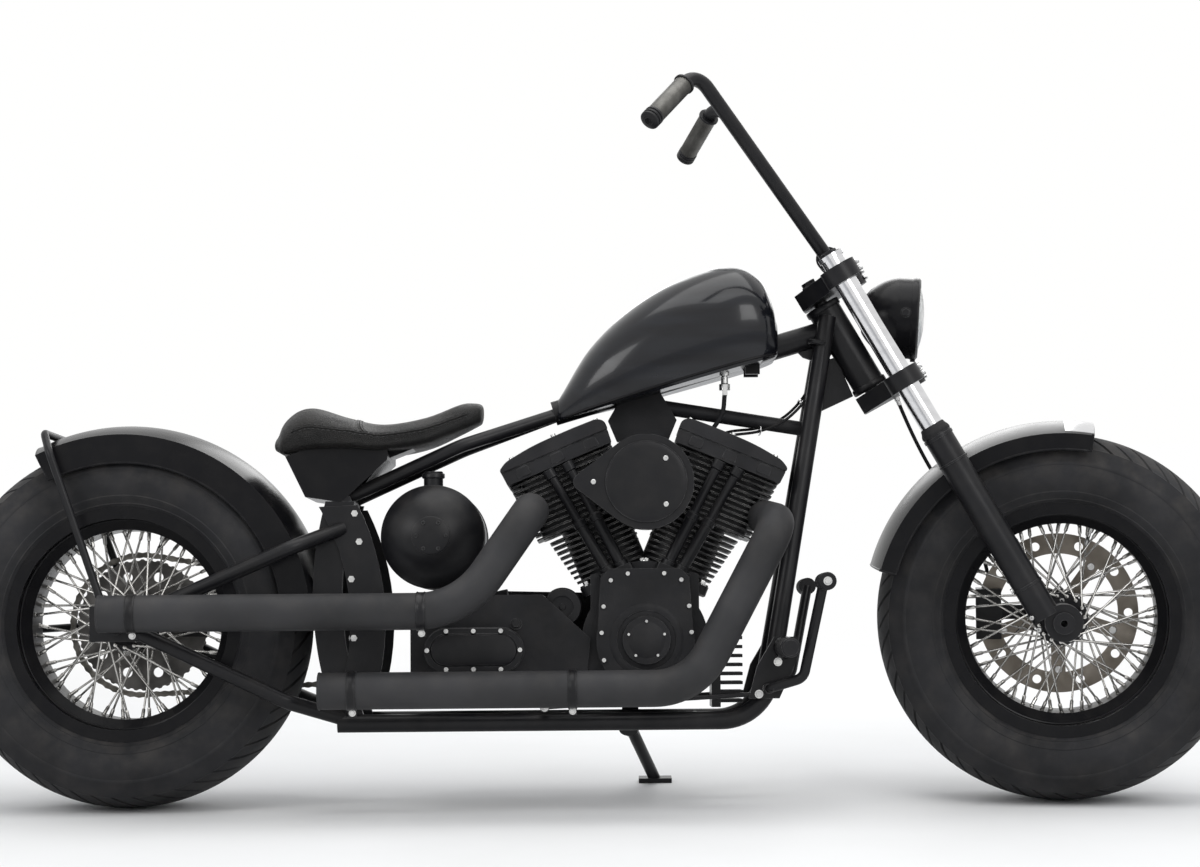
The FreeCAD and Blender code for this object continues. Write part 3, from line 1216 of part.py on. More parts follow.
def make_chain():
    """The final drive chain as one plain loop round both sprockets."""
    half = size("chain_half_height")
    big = size("sprocket_radius")
    small = size("drive_sprocket_radius")
    high = "sprocket_place + chain_width / 2"
    outer = plate("chain_outer", loop_outline(big + half, small + half), high, "chain_width")
    inner = plate("chain_inner", loop_outline(big - half, small - half), high + " + 5", "chain_width + 10")
    loop = cut("chain_loop", outer, inner)
    between = box("chain_between", "output_x + chain_run_end + wheelbase / 2 - chain_run_start",
                  "3 * chain_width",
                  "4 * sprocket_radius",
                  point("chain_run_start - wheelbase / 2", "sprocket_place - 1.5 * chain_width",
                        "tyre_radius - 2 * sprocket_radius"))
    keep("drive_chain", group("drive_chain_parts", [shared("chain_runs", loop, between),
                                                    cut("chain_wraps", loop, between)]))


def make_oil_tank():
    """A round oil tank across the frame with domed ends and a filler neck."""
    flat = "(oil_tank_half_width - oil_dome)"
    dome = "((oil_tank_radius ^ 2 + oil_dome ^ 2) / (2 * oil_dome))"
    tank = turned("oil_tank_body", [
        ("-oil_tank_half_width", "0"),
        (f"-{flat}", "oil_tank_radius", f"-{dome}"),
        (flat, "oil_tank_radius"),
        ("oil_tank_half_width", "0", f"-{dome}"),
    ], point("oil_tank_x", 0, "oil_tank_z"))
    neck = cylinder("oil_neck", "oil_neck_radius", point("oil_tank_x", "-60",
                                                         "oil_tank_z + oil_tank_radius - 8"),
                    point("oil_tank_x", "-60", "oil_tank_z + oil_tank_radius + oil_neck_height"))
    keep("oil_tank", less_all("oil_tank_fitted", joined("oil_tank_whole", [tank, neck]),
                              [PARTS["seat_rails"]]))


make_cylinders()
make_crankcase()
make_intake()
make_exhausts()
make_gearbox()
make_chain()
make_oil_tank()


# ---------------------------------------------------------------- tank, seat, foot controls, plate
# The tank's sections from its tail to its nose: place along X, bottom, top, half width, height of the sides.
TANK_SECTIONS = [
    ("-66", "tank_base_z - 18", "726", "26", "14"),
    ("-5", "tank_base_z - 1", "814", "64", "44"),
    ("70", "tank_base_z + 19", "884", "94", "66"),
    ("160", "tank_base_z + 44", "940", "113", "80"),
    ("250", "tank_base_z + 69", "970", "118", "82"),
    ("306", "tank_base_z + 85", "940", "106", "66"),
    ("332", "tank_base_z + 92", "860", "80", "34"),
]
# The seat's sections from its back to its nose, written in the same way.
SEAT_SECTIONS = [
    ("-572", "624", "648", "58", "8"),
    ("-546", "622", "694", "116", "26"),
    ("-506", "636", "711", "140", "26"),
    ("-440", "642", "690", "146", "20"),
    ("-376", "636", "677", "136", "18"),
    ("-300", "652", "690", "96", "18"),
    ("-240", "676", "715", "58", "18"),
    ("-204", "690", "722", "34", "14"),
]


def skinned(name, sections):
    """A loft over a table of sections."""
    wires = [arch_section(*[size(amount) for amount in row]) for row in sections]
    return lofted(name, wires)


def make_fuel_tank():
    """The fuel tank astride the backbone, with its tap below and its cap to the left of the crown."""
    tank = skinned("fuel_tank_skin", TANK_SECTIONS)
    front = point("backbone_front_x", 0, "backbone_front_z")
    rear = point("backbone_rear_x", 0, "backbone_rear_z")
    beyond = (rear - front).normalize() * 60
    tunnel = cylinder("tank_tunnel", "backbone_radius + tank_tunnel_gap", front - beyond, rear + beyond)
    others = [PARTS[name] for name in ("engine_mount", "cradle_right", "cradle_left")]
    shell = less_all("fuel_tank_tunnelled", tank, [tunnel] + others)
    tap_top = "tank_base_z + 0.277 * tap_x + 16"
    tap = cylinder("fuel_tap", "tap_radius", point("tap_x", "-tap_y", tap_top),
                   point("tap_x", "-tap_y", f"{tap_top} - 16 - tap_height"))
    keep("fuel_tank", joined("fuel_tank_whole", [shell, tap]))
    cap = cylinder("fuel_cap_round", "tank_cap_radius", point("tank_cap_x", "tank_cap_y", "860"),
                   point("tank_cap_x", "tank_cap_y + 8", "944 + tank_cap_height"))
    keep("fuel_cap", cut("fuel_cap_seated", cap, tank))


def make_seat():
    """A solo saddle on a pan whose skirt hangs down behind."""
    seat = skinned("seat_skin", SEAT_SECTIONS)
    keep("seat", seat)
    skirt = plate("seat_skirt", [
        ("-552", "632"),
        ("-512", "550"),
        ("-449", "540"),
        ("-366", "616"),
        ("-366", "660"),
        ("-500", "660"),
    ], "seat_skirt_half_width", "2 * seat_skirt_half_width")
    nose = plate("seat_nose", [
        ("-372", "620"),
        ("-214", "682"),
        ("-214", "704"),
        ("-372", "668"),
    ], "seat_nose_half_width", "2 * seat_nose_half_width")
    others = [seat] + [PARTS[name] for name in ("seat_rails", "rear_uprights", "cross_tubes",
                                                "rear_fender")]
    keep("seat_pan", less_all("seat_pan_fitted", joined("seat_pan_whole", [skirt, nose]), others))


def make_foot_controls():
    """A forward control either side: plate, pedal and rod as one piece, with its peg apart."""
    face = "-(peg_start - control_plate_thickness)"
    bracket = plate("control_plate", [
        ("268", "188"),
        ("322", "188"),
        ("354", "256"),
        ("354", "296"),
        ("314", "296"),
        ("284", "246"),
    ], face, "control_plate_thickness")
    bosses = [cross_bar("control_boss_low", "12", "300", "206", "-84", face),
              cross_bar("control_boss_high", "12", "320", "252", "-84", face)]
    arm = tube("pedal_arm", "pedal_radius", [
        point(302, "-peg_start", 206),
        point(304, "-peg_start - 24", 207),
        point(362, "-peg_start - 34", 224),
        point("pedal_pad_x", "-pedal_pad_start", "pedal_pad_z")], [10, 22])
    pad = cross_bar("pedal_pad", "pedal_pad_radius", "pedal_pad_x", "pedal_pad_z", "-pedal_pad_start + 6",
                    "-pedal_pad_end")
    rod = cylinder("control_rod", "brake_rod_radius", point(286, "-peg_start + 6", 196),
                   point(-90, "-peg_start + 6", 176))
    whole = less_all("control_right", joined("control_whole", [bracket, arm, pad, rod] + bosses),
                     [PARTS["cradle_right"]])
    keep("foot_controls", group("control_pair", [whole, mirrored("control_left", whole)]))
    peg = cross_bar("peg_right", "peg_radius", "peg_x", "peg_z", "-peg_start", "-peg_end")
    keep("foot_pegs", group("peg_pair", [peg, mirrored("peg_left", peg)]))


def make_rear_caliper():
    """The caliper over the front edge of the sprocket's web, on a lug from the left axle plate."""
    middle = REAR_AXLE + point("rear_caliper_place", "sprocket_place - 4", 8)
    block = box("rear_caliper_block", "caliper_depth", "rear_caliper_width", "rear_caliper_length",
                middle - point("caliper_depth / 2", "rear_caliper_width / 2 ", "rear_caliper_length / 2"))
    half = "(sprocket_thickness / 2 + caliper_slot_gap)"
    slot = cross_bar("rear_caliper_slot", "sprocket_radius - chain_half_height", "-wheelbase / 2",
                     "tyre_radius",
                     f"sprocket_place - {half}", f"sprocket_place + {half}")
    lug = box("rear_caliper_lug", "52", "stay_half_width - sprocket_place - 6", "24",
              REAR_AXLE + point("36", "sprocket_place + 4.9", "-4"))
    inside = joined("rear_caliper_whole", [cut("rear_caliper_slotted", block, slot), lug])
    keep("rear_brake_caliper", less_all("rear_caliper_fitted", inside,
                                        [PARTS["rear_stay_left"], PARTS["drive_chain"],
                                         PARTS["rear_axle"]]))


def make_plate():
    """A blank plate and tail lamp carried low on the left, on an arm from the axle plate."""
    sheet_metal = box("plate_sheet", "plate_width", "plate_thickness", "plate_height",
                      point("plate_x - plate_width / 2", "plate_place", "plate_z - plate_height / 2"))
    arm = tube("plate_arm", "plate_arm_radius", [
        point("-wheelbase / 2 - 30", "stay_half_width", "tyre_radius + 4"),
        point("-wheelbase / 2 - 30", "plate_place - plate_arm_radius / 2", "tyre_radius + 4"),
        point("plate_x + 12", "plate_place - plate_arm_radius / 2", "plate_z")], [18])
    holes = []
    for number in range(4):
        turn = math.radians(45 + 90 * number)
        x = size("plate_x") + size("plate_hole_ring") * math.cos(turn)
        z = size("plate_z") + size("plate_hole_ring") * math.sin(turn)
        holes.append(cross_bar(f"plate_hole_{number}", "plate_hole_radius", x, z, "plate_place - 40",
                               "plate_place + 40"))
    whole = joined("plate_whole", [sheet_metal, arm])
    keep("plate_bracket", less_all("plate_fitted", whole, holes + [PARTS["rear_stay_left"],
                                                                   PARTS["fender_strut"]]))
    top = "plate_z + plate_height / 2 + tail_lamp_radius"
    lamp = cylinder("tail_lamp_round", "tail_lamp_radius", point("plate_x + 12", "plate_place + 2", top),
                    point("plate_x + 12 - tail_lamp_depth", "plate_place + 2", top))
    keep("tail_lamp", less_all("tail_lamp_fitted", lamp, [PARTS["plate_bracket"]]))


make_fuel_tank()
make_seat()
make_foot_controls()
make_rear_caliper()
make_plate()


# ---------------------------------------------------------------- parking and export
def check_document():
    """Stop if any object failed to build or any sub-part has no sound solid."""
    doc.recompute()
    for thing in doc.Objects:
        if "Invalid" in thing.State or "Error" in thing.State:
            raise RuntimeError(f"{thing.Name} did not build: {thing.State}")
    for label, thing in PARTS.items():
        if thing.Shape.isNull() or not thing.Shape.isValid() or not thing.Shape.Solids:
            raise RuntimeError(f"{label} has no sound solid")


STEERED = ("top_tree", "bottom_tree", "fork_tubes", "fork_legs", "front_axle", "front_fender",
           "headlight_shell",
           "headlight_lens", "handlebar", "grips", "front_brake_caliper", "front_brake_hose", "front_tyre",
           "front_rim", "front_hub", "front_spokes", "front_brake_disc")


def steered():
    """The turn of the fork and front wheel about the stem, as the machine stands."""
    stem = fork_point("-stem_offset", 0, 0)
    turn = FreeCAD.Rotation(fork_point("-stem_offset", 0, 1) - stem, size("steering_turn"))
    return FreeCAD.Placement(V(0, 0, 0), turn, stem)


def resting(label, lean):
    """Where one sub-part ends up once it is steered and leaned."""
    return lean.multiply(steered()) if label in STEERED else lean


def parked_outline(lean):
    """The box round every sub-part once it is steered and leans."""
    outline = FreeCAD.BoundBox()
    for label, thing in PARTS.items():
        shape = thing.Shape.transformed(resting(label, lean).Matrix)
        outline.add(shape.optimalBoundingBox(False, False))
    return outline


def park():
    """Lean the machine on its stand, with the origin on the floor under the middle of its outline."""
    lean = FreeCAD.Placement(V(0, 0, 0), FreeCAD.Rotation(V(1, 0, 0), -size("lean_angle")))
    outline = parked_outline(lean)
    lean.Base = V(-outline.Center.x, -outline.Center.y, -outline.ZMin)
    for label, thing in list(PARTS.items()):
        thing.Label = label + "_upright"
        leaned = group(label + "_parked", [thing])
        leaned.Placement = resting(label, lean)
        keep(label, leaned)


check_document()
park()
check_document()
os.makedirs("parts", exist_ok=True)
for label, thing in PARTS.items():
    thing.Shape.exportStep(f"parts/{label}.step")
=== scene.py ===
import json
import logging
import math
from dataclasses import dataclass, field
from enum import Enum
from typing import Callable, Optional, Sequence, Union

import bmesh
import bpy
import numpy as np
from mathutils import Matrix, Vector


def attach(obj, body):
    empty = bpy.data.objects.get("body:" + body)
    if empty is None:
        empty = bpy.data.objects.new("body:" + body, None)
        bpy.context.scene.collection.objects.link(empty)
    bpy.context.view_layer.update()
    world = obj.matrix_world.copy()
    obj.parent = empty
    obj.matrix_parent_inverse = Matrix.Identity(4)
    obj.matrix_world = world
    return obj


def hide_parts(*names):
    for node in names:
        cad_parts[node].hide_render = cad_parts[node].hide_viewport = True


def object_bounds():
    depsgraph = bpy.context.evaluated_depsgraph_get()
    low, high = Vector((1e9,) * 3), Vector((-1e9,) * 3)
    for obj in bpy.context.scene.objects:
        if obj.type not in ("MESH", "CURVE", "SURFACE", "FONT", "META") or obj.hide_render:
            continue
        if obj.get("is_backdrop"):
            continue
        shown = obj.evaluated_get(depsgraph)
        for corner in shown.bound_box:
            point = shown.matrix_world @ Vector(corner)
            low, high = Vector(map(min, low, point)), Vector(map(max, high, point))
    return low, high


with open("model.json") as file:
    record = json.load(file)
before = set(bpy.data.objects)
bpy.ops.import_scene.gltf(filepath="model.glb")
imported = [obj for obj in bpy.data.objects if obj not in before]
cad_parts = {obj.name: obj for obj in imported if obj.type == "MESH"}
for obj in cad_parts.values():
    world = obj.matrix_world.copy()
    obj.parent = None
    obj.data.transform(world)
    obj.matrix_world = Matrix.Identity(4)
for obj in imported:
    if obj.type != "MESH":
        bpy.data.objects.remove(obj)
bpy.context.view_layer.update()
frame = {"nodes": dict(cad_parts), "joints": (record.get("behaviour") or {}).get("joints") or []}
log = logging.getLogger("chopper")

MM = 0.001
ARCH_POWER = 0.86
WELD_GAP = 1e-4

Place = tuple[float, float, float]
Flat = tuple[float, float]
Socket = bpy.types.NodeSocket
Value = Union[float, bpy.types.NodeSocket]


# ------------------------------------------------------------------ where things are
@dataclass(frozen=True)
class Stance:
    """The machine's own upright frame: millimetres, +X forward, +Y to the rider's left, tyres on Z = 0."""

    wheelbase: float = 1672.0
    axle_height: float = 328.0
    rake: float = 30.0
    axle_lead: float = 21.0
    stem_offset: float = 60.0
    steering: float = -8.0
    crank: Flat = (88.0, 290.0)
    bank_tilt: float = 22.5

    @staticmethod
    def matrix() -> Matrix:
        """Find the turn and shift from upright millimetres to the row frame, from the rear wheel's joint.

        Returns:
            A 4x4 matrix that takes upright millimetres to row-frame metres.
        """
        spin = next(joint for joint in frame["joints"] if joint["name"] == "rear_wheel_spin")
        along = Vector((1.0, 0.0, 0.0))
        left = Vector(spin["axis"]).normalized()
        up = along.cross(left).normalized()
        turn = Matrix((along, left, up)).transposed()
        origin = Vector(spin["pos_m"]) + along * 0.836 - up * 0.328
        return Matrix.Translation(origin) @ turn.to_4x4() @ Matrix.Scale(MM, 4)

    def bank(self, sign: int) -> Matrix:
        """The frame of one cylinder bank.

        Args:
            sign: 1 for the front bank, -1 for the rear one.

        Returns:
            A matrix whose Z runs up the bore from the crank and whose X points out of the vee.
        """
        turn = Matrix.Rotation(math.radians(sign * self.bank_tilt), 4, "Y")
        if sign < 0:
            turn = turn @ Matrix.Rotation(math.pi, 4, "Z")
        return Matrix.Translation((self.crank[0], 0, self.crank[1])) @ turn

    def axle(self, sign: int) -> Vector:
        """The middle of an axle: 1 for the front one, -1 for the rear one."""
        return Vector((sign * self.wheelbase / 2, 0, self.axle_height))

    def fork(self) -> Matrix:
        """The fork's frame, not yet steered: X forward and square to the legs, Z up them, axle at axle_lead."""
        turn = Matrix.Rotation(-math.radians(self.rake), 4, "Y")
        return Matrix.Translation(self.axle(1)) @ turn @ Matrix.Translation((-self.axle_lead, 0, 0))

    def steered(self) -> Matrix:
        """The turn of the fork and front wheel about the stem, as the machine stands."""
        stem = self.fork() @ Matrix.Translation((-self.stem_offset, 0, 0))
        return stem @ Matrix.Rotation(math.radians(self.steering), 4, "Z") @ stem.inverted()


STANCE = Stance()
UPRIGHT = Stance.matrix()
STEERED = UPRIGHT @ STANCE.steered()


class Body(Enum):
    """The bodies that pieces ride on; the side stand carries none."""

    FRAME = "frame"
    FORK = "fork"
    FRONT_WHEEL = "front_wheel"
    REAR_WHEEL = "rear_wheel"


# ------------------------------------------------------------------ mesh making
class Shell:
    """Points in millimetres and faces, gathered before they become one mesh."""

    def __init__(self) -> None:
        """Start with nothing."""
        self.points: list[np.ndarray] = []
        self.faces: list[tuple[int, ...]] = []
        self.count = 0

    def add(self, points: Sequence[Sequence[float]], faces: Sequence[Sequence[int]],
            turn: Optional[Matrix] = None) -> "Shell":
        """Add a lot of points and faces.

        Args:
            points: places in millimetres.
            faces: indices into those places.
            turn: a matrix to move them by first.

        Returns:
            The shell itself.
        """
        lot = np.asarray(points, float).reshape(-1, 3)
        if turn is not None:
            lot = lot @ np.array(turn.to_3x3()).T + np.array(turn.translation)
        self.points.append(lot)
        self.faces.extend(tuple(i + self.count for i in face) for face in faces)
        self.count += len(lot)
        return self

    def grid(self, rows: Sequence[Sequence[Sequence[float]]], loop_rows: bool = False, loop_across: bool = False,
             caps: bool = False, turn: Optional[Matrix] = None) -> "Shell":
        """Add a sheet of quads through equal rows of points.

        Args:
            rows: rows of places.
            loop_rows: whether the last row joins the first.
            loop_across: whether each row closes on itself.
            caps: whether the first and last rows are filled.
            turn: a matrix to move them by first.

        Returns:
            The shell itself.
        """
        high, wide = len(rows), len(rows[0])
        faces = []
        for i in range(high if loop_rows else high - 1):
            for j in range(wide if loop_across else wide - 1):
                a, b = i * wide + j, i * wide + (j + 1) % wide
                c, d = (i + 1) % high * wide + (j + 1) % wide, (i + 1) % high * wide + j
                faces.append((a, b, c, d))
        if caps:
            faces.append(tuple(range(wide))[::-1])
            faces.append(tuple((high - 1) * wide + j for j in range(wide)))
        return self.add([p for row in rows for p in row], faces, turn)

    def lathe(self, profile: Sequence[Flat], steps: int = 64, closed: bool = True,
              turn: Optional[Matrix] = None) -> "Shell":
        """Add a profile turned about Z.

        Args:
            profile: (radius, height) places.
            steps: how many steps a full turn has.
            closed: whether the profile closes on itself.
            turn: a matrix to move them by first.

        Returns:
            The shell itself.
        """
        rows = []
        for i in range(steps):
            angle = 2 * math.pi * i / steps
            rows.append([(r * math.cos(angle), r * math.sin(angle), z) for r, z in profile])
        return self.grid(rows, True, closed, False, turn)

    def prism(self, outline: Sequence[Flat], low: float, high: float, turn: Optional[Matrix] = None) -> "Shell":
        """Add a plate with a flat outline, from low to high along Z.

        Args:
            outline: (x, y) places round the plate.
            low: its lower face.
            high: its upper face.
            turn: a matrix to move it by first.

        Returns:
            The shell itself.
        """
        rows = [[(x, y, z) for x, y in outline] for z in (low, high)]
        return self.grid(rows, False, True, True, turn)

    def tube(self, path: Sequence[Sequence[float]], radius: float, sides: int = 12, closed: bool = False,
             turn: Optional[Matrix] = None) -> "Shell":
        """Add a round bar along a path.

        Args:
            path: places along it.
            radius: the bar's radius.
            sides: how many sides it has.
            closed: whether the path joins its own start.
            turn: a matrix to move it by first.

        Returns:
            The shell itself.
        """
        line = [Vector(p) for p in path]
        rows = []
        across: Optional[Vector] = None
        for i, here in enumerate(line):
            ahead = line[(i + 1) % len(line)] if closed or i + 1 < len(line) else here
            behind = line[i - 1] if closed or i else here
            way = (ahead - behind).normalized()
            if across is None:
                across = way.orthogonal().normalized()
            across = (across - way * across.dot(way)).normalized()
            other = way.cross(across)
            rows.append([here + radius * (math.cos(a) * across + math.sin(a) * other)
                         for a in (2 * math.pi * k / sides for k in range(sides))])
        return self.grid(rows, closed, True, not closed, turn)

    def box(self, low: Place, high: Place, turn: Optional[Matrix] = None) -> "Shell":
        """Add a block between two corners, moved by turn."""
        outline = [(low[0], low[1]), (high[0], low[1]), (high[0], high[1]), (low[0], high[1])]
        return self.prism(outline, low[2], high[2], turn)

    def mesh(self, name: str, merge: float = 0.0) -> bpy.types.Mesh:
        """Make the mesh, still in upright millimetres, with its faces pointing out.

        Args:
            name: the mesh's name.
            merge: how far apart doubled points may be, in millimetres.

        Returns:
            The new mesh.
        """
        mesh = bpy.data.meshes.new(name)
        mesh.from_pydata(np.concatenate(self.points).tolist(), [], self.faces)
        tidy = bmesh.new()
        tidy.from_mesh(mesh)
        bmesh.ops.remove_doubles(tidy, verts=tidy.verts, dist=max(merge, WELD_GAP))
        bmesh.ops.recalc_face_normals(tidy, faces=tidy.faces)
        tidy.to_mesh(mesh)
        tidy.free()
        return mesh


def placed(name: str, data: Optional[bpy.types.ID]) -> bpy.types.Object:
    """Make an object from its data and put it in the scene.

    Args:
        name: the object's name.
        data: its mesh, curve, lamp or camera.

    Returns:
        The new object.
    """
    thing = bpy.data.objects.new(name, data)
    bpy.context.scene.collection.objects.link(thing)
    return thing


def merged(name: str, meshes: Sequence[bpy.types.Mesh]) -> bpy.types.Mesh:
    """Join several meshes into one.

    Args:
        name: the new mesh's name.
        meshes: the meshes, in order.

    Returns:
        The new mesh.
    """
    whole = bmesh.new()
    for mesh in meshes:
        whole.from_mesh(mesh)
    made = bpy.data.meshes.new(name)
    whole.to_mesh(made)
    whole.free()
    return made


def facing(place: Sequence[float], way: Sequence[float], spin: float = 0.0) -> Matrix:
    """Find the frame at a place whose Z runs along a way.

    Args:
        place: the frame's origin, in millimetres.
        way: where its Z points.
        spin: a turn about that Z, in degrees.

    Returns:
        The frame as a matrix.
    """
    turn = Vector(way).to_track_quat("Z", "Y").to_matrix().to_4x4()
    return Matrix.Translation(place) @ turn @ Matrix.Rotation(math.radians(spin), 4, "Z")


def circle(radius: float, steps: int, start: float = 0.0) -> list[Flat]:
    """Give the places of a regular polygon, starting at an angle in degrees."""
    angles = (math.radians(start) + 2 * math.pi * i / steps for i in range(steps))
    return [(radius * math.cos(a), radius * math.sin(a)) for a in angles]


def blend(table: Sequence[Sequence[float]], steps: int) -> list[list[float]]:
    """Run smoothly between a table's rows.

    Args:
        table: rows of numbers.
        steps: how many rows are made between two of them.

    Returns:
        The finer table.
    """
    rows = [[2 * a - b for a, b in zip(table[0], table[1])], *table]
    rows.append([2 * a - b for a, b in zip(table[-1], table[-2])])
    made = []
    for i in range(1, len(rows) - 2):
        for k in range(steps):
            t = k / steps
            made.append([0.5 * (2 * b + (c - a) * t + (2 * a - 5 * b + 4 * c - d) * t * t
                                + (3 * b - a - 3 * c + d) * t ** 3)
                         for a, b, c, d in zip(*rows[i - 1:i + 3])])
    return made + [list(table[-1])]


def smooth_route(corners: Sequence[Place], steps: int = 8) -> list[Vector]:
    """Run a smooth curve through places.

    Args:
        corners: the places it passes.
        steps: how many steps there are between two places.

    Returns:
        The curve's places.
    """
    return [Vector(row) for row in blend(corners, steps)]


def dress(thing: bpy.types.Object, body: Body, paint: "Paint", replaces: Sequence[str] = ()) -> bpy.types.Object:
    """Give a finished piece its finish where it has none and its body, and hide the CAD nodes it stands for.

    Args:
        thing: the piece, in place.
        body: what it rides on.
        paint: its finish.
        replaces: CAD nodes it is shown instead of.

    Returns:
        The piece.
    """
    if not thing.data.materials:
        thing.data.materials.append(FINISHES.material(paint))
    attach(thing, body.value)
    if replaces:
        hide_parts(*replaces)
    log.info("%s on %s: %d faces", thing.name, body.value, len(thing.data.polygons))
    return thing


def piece(name: str, shape: Shell | bpy.types.Mesh, body: Body, paint: "Paint", replaces: Sequence[str] = (),
          angle: float = 40.0, bevel: float = 0.0) -> bpy.types.Object:
    """Turn a shape in upright millimetres into a finished piece in the row frame.

    Args:
        name: the piece's name.
        shape: its shell, or a mesh that is ready.
        body: what it rides on.
        paint: its finish.
        replaces: CAD nodes it is shown instead of.
        angle: edges sharper than this stay sharp, in degrees.
        bevel: the width of a bevel on sharp edges, in millimetres.

    Returns:
        The piece.
    """
    mesh = shape.mesh(name) if isinstance(shape, Shell) else shape
    mesh.transform(STEERED if body in (Body.FORK, Body.FRONT_WHEEL) else UPRIGHT)
    thing = placed(name, mesh)
    if bevel:
        worn = thing.modifiers.new("Worn edge", "BEVEL")
        worn.width = bevel * MM
        worn.segments = 2
        worn.limit_method = "ANGLE"
        worn.angle_limit = math.radians(angle)
    for face in mesh.polygons:
        face.use_smooth = True
    mesh.set_sharp_from_angle(angle=math.radians(angle))
    return dress(thing, body, paint, replaces)


# ------------------------------------------------------------------ finishes
class Grain(Enum):
    """The fine relief of a finish."""

    POWDER = "powder coat"
    CAST = "wrinkle paint"
    BRUSHED = "brushed"
    HIDE = "hide"
    MOULDED = "moulded rubber"


@dataclass(frozen=True)
class Finish:
    """One finish: colours, gloss, relief and wear."""

    slot: str
    base: Place
    second: Place
    roughness: float
    spread: float = 0.05
    metallic: float = 0.0
    coat: float = 0.0
    specular: float = 0.5
    patch_scale: float = 9.0
    stretch: Place = (1.0, 1.0, 1.0)
    grain: Grain = Grain.POWDER
    grain_scale: float = 900.0
    relief: float = 0.05
    wear: float = 0.0
    wear_colour: Place = (0.30, 0.30, 0.30)
    dust: float = 0.0
    clear: float = 0.0


